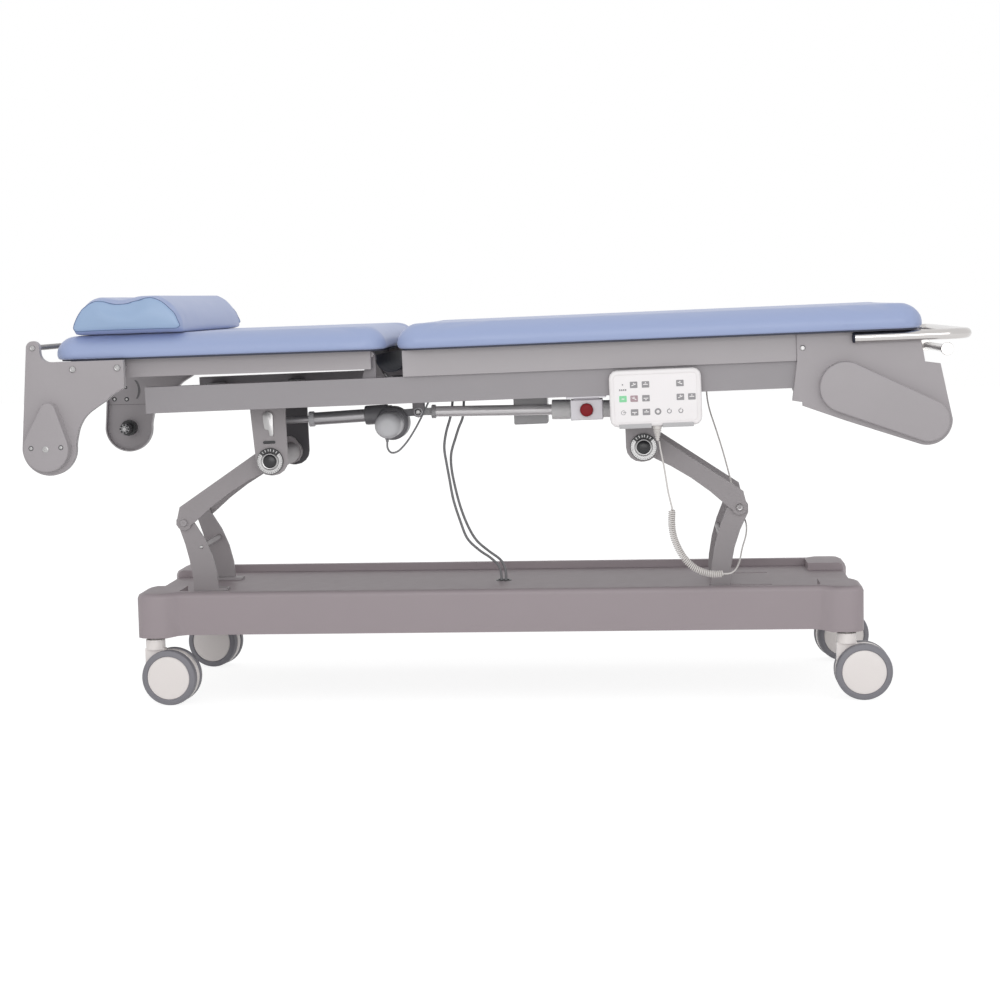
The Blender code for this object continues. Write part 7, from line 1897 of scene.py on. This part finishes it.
BOLT_SETS = {
    # set: body, finish, slot, own frame
    "head_bolts": ("backrest", "steel", "bright_steel", BACK),
    "cover_rings": ("backrest", "dark", "dark_paint", BACK),
    "cover_screws": ("backrest", "steel", "bright_steel", BACK),
    "plate_rings": ("backrest", "black", "black_plastic", BACK),
    "plate_screws": ("backrest", "steel", "bright_steel", BACK),
    "foot_bolt": ("couch", "steel", "bright_steel", BED),
    "knee_bolt_head": ("base", "paint", "grey_paint", LEVEL),
    "knee_bolt_foot": ("foot_carriage", "steel", "bright_steel", LEVEL),
    "post_bolt_head": ("base", "steel", "bright_steel", LEVEL),
}
BOLTS = (
    # set, x, distance from the middle, z, outwards or inwards, radius, height
    ("head_bolts", BOLT_SPOTS[0], HEAD_PLATE_OUTER, BOLT_HEIGHT, 1, 0.0074, 0.0040),
    ("head_bolts", BOLT_SPOTS[1], HEAD_PLATE_OUTER, BOLT_HEIGHT, 1, 0.0074, 0.0040),
    ("head_bolts", PLATE_LEFT + EAR[0], HEAD_PLATE_OUTER, EAR[1] - ROLL_DROP, 1, 0.0064, 0.0036),
    ("cover_rings", PLATE_LEFT - 0.032, COVER_FACE, 0.003 - ROLL_DROP, 1, 0.0056, 0.0006),
    ("cover_screws", PLATE_LEFT - 0.032, COVER_FACE, 0.003 - ROLL_DROP, 1, 0.0040, 0.0018),
    ("cover_rings", PLATE_LEFT + 0.034, COVER_FACE, 0.003 - ROLL_DROP, 1, 0.0056, 0.0006),
    ("cover_screws", PLATE_LEFT + 0.034, COVER_FACE, 0.003 - ROLL_DROP, 1, 0.0040, 0.0018),
    ("cover_screws", PLATE_LEFT, COVER_FACE, -ROLL_DROP, 1, 0.0075, 0.0022),
    ("plate_rings", PLATE_LEFT - 0.0364, SHEET_FACE, 0.0729 - ROLL_DROP, -1, RING_RADIUS, 0.0008),
    ("plate_screws", PLATE_LEFT - 0.0364, SHEET_FACE, 0.0729 - ROLL_DROP, -1, SCREW_RADIUS, 0.0016),
    ("plate_rings", PLATE_LEFT - 0.0050, SHEET_FACE, 0.0719 - ROLL_DROP, -1, RING_RADIUS, 0.0008),
    ("plate_screws", PLATE_LEFT - 0.0050, SHEET_FACE, 0.0719 - ROLL_DROP, -1, SCREW_RADIUS, 0.0016),
    ("plate_rings", PLATE_LEFT - 0.0060, SHEET_FACE, 0.1016 - ROLL_DROP, -1, SMALL_RING_RADIUS, 0.0008),
    ("plate_screws", PLATE_LEFT - 0.0060, SHEET_FACE, 0.1016 - ROLL_DROP, -1, SMALL_SCREW_RADIUS, 0.0016),
    ("foot_bolt", FOOT_PLATE_X + 0.0128, FOOT_PLATE_OUTER, RAIL_TOP - 0.030, 1, 0.0062, 0.0030),
    ("knee_bolt_head", HEAD_KNEE.x, KNEE_FACE, HEAD_KNEE.z, 1, 0.0088, 0.0066),
    ("knee_bolt_foot", FOOT_KNEE.x, KNEE_FACE, FOOT_KNEE.z, 1, 0.0088, 0.0066),
    ("post_bolt_head", HEAD_KNEE.x + 0.0366, POST_FACE, HEAD_KNEE.z - 0.0574, 1, 0.0045, 0.0022),
)
CLEVIS_PIECES = {
    # name: finish, radius, height
    "clevis_washer": ("motor_cap", 0.0105, 0.0012),
    "clevis_bolt": ("steel", 0.0078, 0.0052),
}
MARK_FACES = (0.3532, 0.3542)
PLATE_SLOT_CENTRE = (-0.010, 0.095)
PLATE_SLOT_RADIUS = 0.038
PLATE_SLOT_ANGLES = (40, -36)
PLATE_SLOT_HALF = 0.0026
FOLD_HALF = 0.0560
FOLD_HEIGHTS = (0.0590, 0.0572)
FOLD_GAUGE = 0.0009


def bolt_shell(radius, height, sign):
    """Round-headed bolt with a socket, its head towards -Y for sign -1."""
    profile = [(radius * out, sign * height * along) for out, along in BOLT_SHARES]
    profile += [(radius, sign * BOLT_ROOT), (0, sign * BOLT_ROOT)]
    return turned_shell(profile, SMALL_STEPS)


def add_bolts(made):
    """Bolt heads on the side plates, posts, knees, covers and clevis."""
    for side, sign in SIDES.items():
        sets = {name: [] for name in BOLT_SETS}
        for name, x, y, z, facing, radius, height in BOLTS:
            place = BOLT_SETS[name][3] @ Matrix.Translation((x, sign * y, z))
            sets[name].append(moved(bolt_shell(radius, height, sign * facing), place))
        for name, shells in sets.items():
            body, key, slot, _ = BOLT_SETS[name]
            finished(merged(f"{name}_{side}", shells), made[key], body)
    clevis = BED @ Matrix.Translation((CLEVIS_X, -CLEVIS_OUTER, CLEVIS_Z))
    for name, (key, radius, height) in CLEVIS_PIECES.items():
        shell = moved(bolt_shell(radius, height, -1), clevis)
        finished(merged(name, [shell]), made[key], "couch")


def add_plate_marks(made):
    """Curved slot and fold line on the inner face of each head plate, drawn as flat dark slabs of painted
    shade.
    """
    bent = arc(PLATE_SLOT_CENTRE, PLATE_SLOT_RADIUS, *PLATE_SLOT_ANGLES, 12)
    slot = [(x - PLATE_SLOT_HALF, z) for x, z in bent] + [(x + PLATE_SLOT_HALF, z) for x, z in reversed(bent)]
    left, right = FOLD_HEIGHTS
    fold = [(-FOLD_HALF, left), (FOLD_HALF, right)]
    fold += [(FOLD_HALF, right + FOLD_GAUGE), (-FOLD_HALF, left + FOLD_GAUGE)]
    place = BACK @ Matrix.Translation((PLATE_LEFT, 0, -ROLL_DROP))
    for side, sign in SIDES.items():
        low, high = sorted(sign * face for face in MARK_FACES)
        # Painted shade: the dark slabs stand for the shaded opening of the slot and the shade along the fold.
        marks = merged(f"plate_slot_{side}", [slab(slot, low, high), slab(fold, low, high)], place)
        finished(marks, made["dark"], "backrest")


CHUCK_RADIUS = 0.0140
CHUCK_TEETH = 8
TOOTH_SHARES = (0.54, 0.86)
TOOTH_HALF = 0.0026
CHUCK_DISC_PROFILE = (
    (0, 0, 0, 0.3),
    (CHUCK_RADIUS * 0.88, 0, 0, 0.3),
    (CHUCK_RADIUS * 0.88, 0, 0, -0.6),
    (0, 0, 0, -0.6),
)
CHUCK_TOOTH_FACES = (-0.0012, 0.0004)
CHUCK_CAP_PROFILE = (
    (0, 0, 0, -2),
    (CHUCK_RADIUS * 0.30, 0, 0, -1.8),
    (CHUCK_RADIUS * 0.38, 0, 0, -0.6),
    (0, 0, 0, -0.4),
)


def add_chucks(made):
    """Toothed faces of the four chucks."""
    inner, outer = (CHUCK_RADIUS * share for share in TOOTH_SHARES)
    for end, side in CASTER_KEYS:
        sign = SIDES[side]
        centre = PLACES[f"{end}_chuck_spin_{side}"]
        low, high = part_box(f"{end}_chuck_{side}")
        face = high.y if sign < 0 else low.y
        place = Matrix.Translation((centre.x, face, centre.z))
        body = f"{end}_roll_{side}"
        profile = edged(CHUCK_DISC_PROFILE, MILLIMETRE, sign)
        disc = turned(f"{end}_chuck_disc_{side}", profile, place, TUBE_STEPS)
        finished(disc, made["holder"], body)
        low_y, high_y = sorted(sign * spot for spot in CHUCK_TOOTH_FACES)
        teeth = []
        for step in range(CHUCK_TEETH):
            tooth = block((inner, low_y, -TOOTH_HALF), (outer, high_y, TOOTH_HALF))
            teeth.append(moved(tooth, Matrix.Rotation(2 * math.pi * step / CHUCK_TEETH, 4, "Y")))
        finished(merged(f"{end}_chuck_teeth_{side}", teeth, place), made["black"], body)
        profile = edged(CHUCK_CAP_PROFILE, MILLIMETRE, sign)
        cap = turned(f"{end}_chuck_cap_{side}", profile, place, SMALL_STEPS)
        finished(cap, made["steel"], body)


GROMMET_PLACE = (-0.010, 0.0200, 0.2352)
GROMMET_RADIUS = 0.0152
GROMMET_PROFILE = (
    (GROMMET_RADIUS, 0, 0, -2),
    (GROMMET_RADIUS, 3.3, 0, -1.2),
    (GROMMET_RADIUS, 3.3, 0, 0.8),
    (GROMMET_RADIUS, 1.3, 0, 1.8),
    (GROMMET_RADIUS, -1.2, 0, 1.4),
    (GROMMET_RADIUS, -2, 0, -3),
    (GROMMET_RADIUS, -1.2, 0, -3.6),
)


def add_grommet(made):
    """Black grommet where the supply cables go down into the base."""
    place = Matrix.Translation(GROMMET_PLACE) @ UPRIGHT
    grommet = turned("cable_grommet", edged(GROMMET_PROFILE), place, closed=True)
    finished(grommet, made["black"], "base")


CARRIED = {
    # node: finish, edge
    "base_cover": ("base", 0.0030),
    "base_frame": ("dark", 0.0010),
    "head_posts": ("arm_paint", 0.0012),
    "foot_posts": ("arm_paint", 0.0012),
    "head_lift_arm": ("arm_paint", 0.0012),
    "foot_lift_arm": ("arm_paint", 0.0012),
    # Painted shade: the lower frame's beams take the darker copy of the powder coat.
    "lower_frame": ("shaded_beam_paint", 0.0016),
    "main_frame": ("paint", 0.0016),
    "backrest_frame": ("paint", 0.0016),
    "lift_bracket_head_near": ("arm_paint", 0.0010),
    # Painted shade: the far head bracket takes the dark coat for the shade it sits in, while the near one has
    # the arm paint.
    "lift_bracket_head_far": ("dark", 0.0010),
    "lift_bracket_foot_near": ("arm_paint", 0.0010),
    "lift_bracket_foot_far": ("arm_paint", 0.0010),
    "estop_box": ("box", 0.0010),
    "control_box": ("holder", 0.0015),
    "handset": ("handset", 0.0006),
    "handset_holder": ("holder", 0.0008),
    "head_cross_rod": ("rod", 0.0006),
    "backrest_motor": ("dark", 0.0010),
    "backrest_rod": ("piston", 0.0005),
    "head_chuck_near": ("black", 0.0008),
    "head_chuck_far": ("black", 0.0008),
    "foot_chuck_near": ("black", 0.0008),
    "foot_chuck_far": ("black", 0.0008),
    "caster_fork_head_near": ("white", 0.0010),
    "caster_fork_head_far": ("white", 0.0010),
    "caster_fork_foot_near": ("white", 0.0010),
    "caster_fork_foot_far": ("white", 0.0010),
}
BEVEL_ANGLE = math.radians(50)
JOIN_DISTANCE = 0.00002
NORMAL_WEIGHT = 80


def dress_frame(made):
    """Give each carried node its finish and softly rounded edges."""
    for node, (name, edge) in CARRIED.items():
        piece = frame["nodes"][node]
        piece.data.materials.clear()
        piece.data.materials.append(made[name])
        weld = piece.modifiers.new("join", "WELD")
        weld.merge_threshold = JOIN_DISTANCE
        rounding = piece.modifiers.new("edges", "BEVEL")
        rounding.width = edge
        rounding.segments = 2
        rounding.limit_method = "ANGLE"
        rounding.angle_limit = BEVEL_ANGLE
        rounding.use_clamp_overlap = True
        even = piece.modifiers.new("normals", "WEIGHTED_NORMAL")
        even.keep_sharp = False
        even.weight = NORMAL_WEIGHT


def build_scene():
    """Dress the whole table."""
    bpy.context.scene.view_settings.view_transform = "Standard"
    add_camera()
    made = make_finishes()
    add_cords(made)
    add_world()
    add_floor()
    add_lamps()
    dress_frame(made)
    add_cushions(made)
    add_pillow(made)
    add_apron(made)
    add_plates(made)
    add_wheels(made)
    add_handle(made)
    add_roller(made)
    add_dials(made)
    add_pointer(made)
    add_head_motor(made)
    add_foot_motor(made)
    add_button(made)
    add_handset(made)
    add_relief(made)
    add_bolts(made)
    add_plate_marks(made)
    add_chucks(made)
    add_grommet(made)


build_scene()
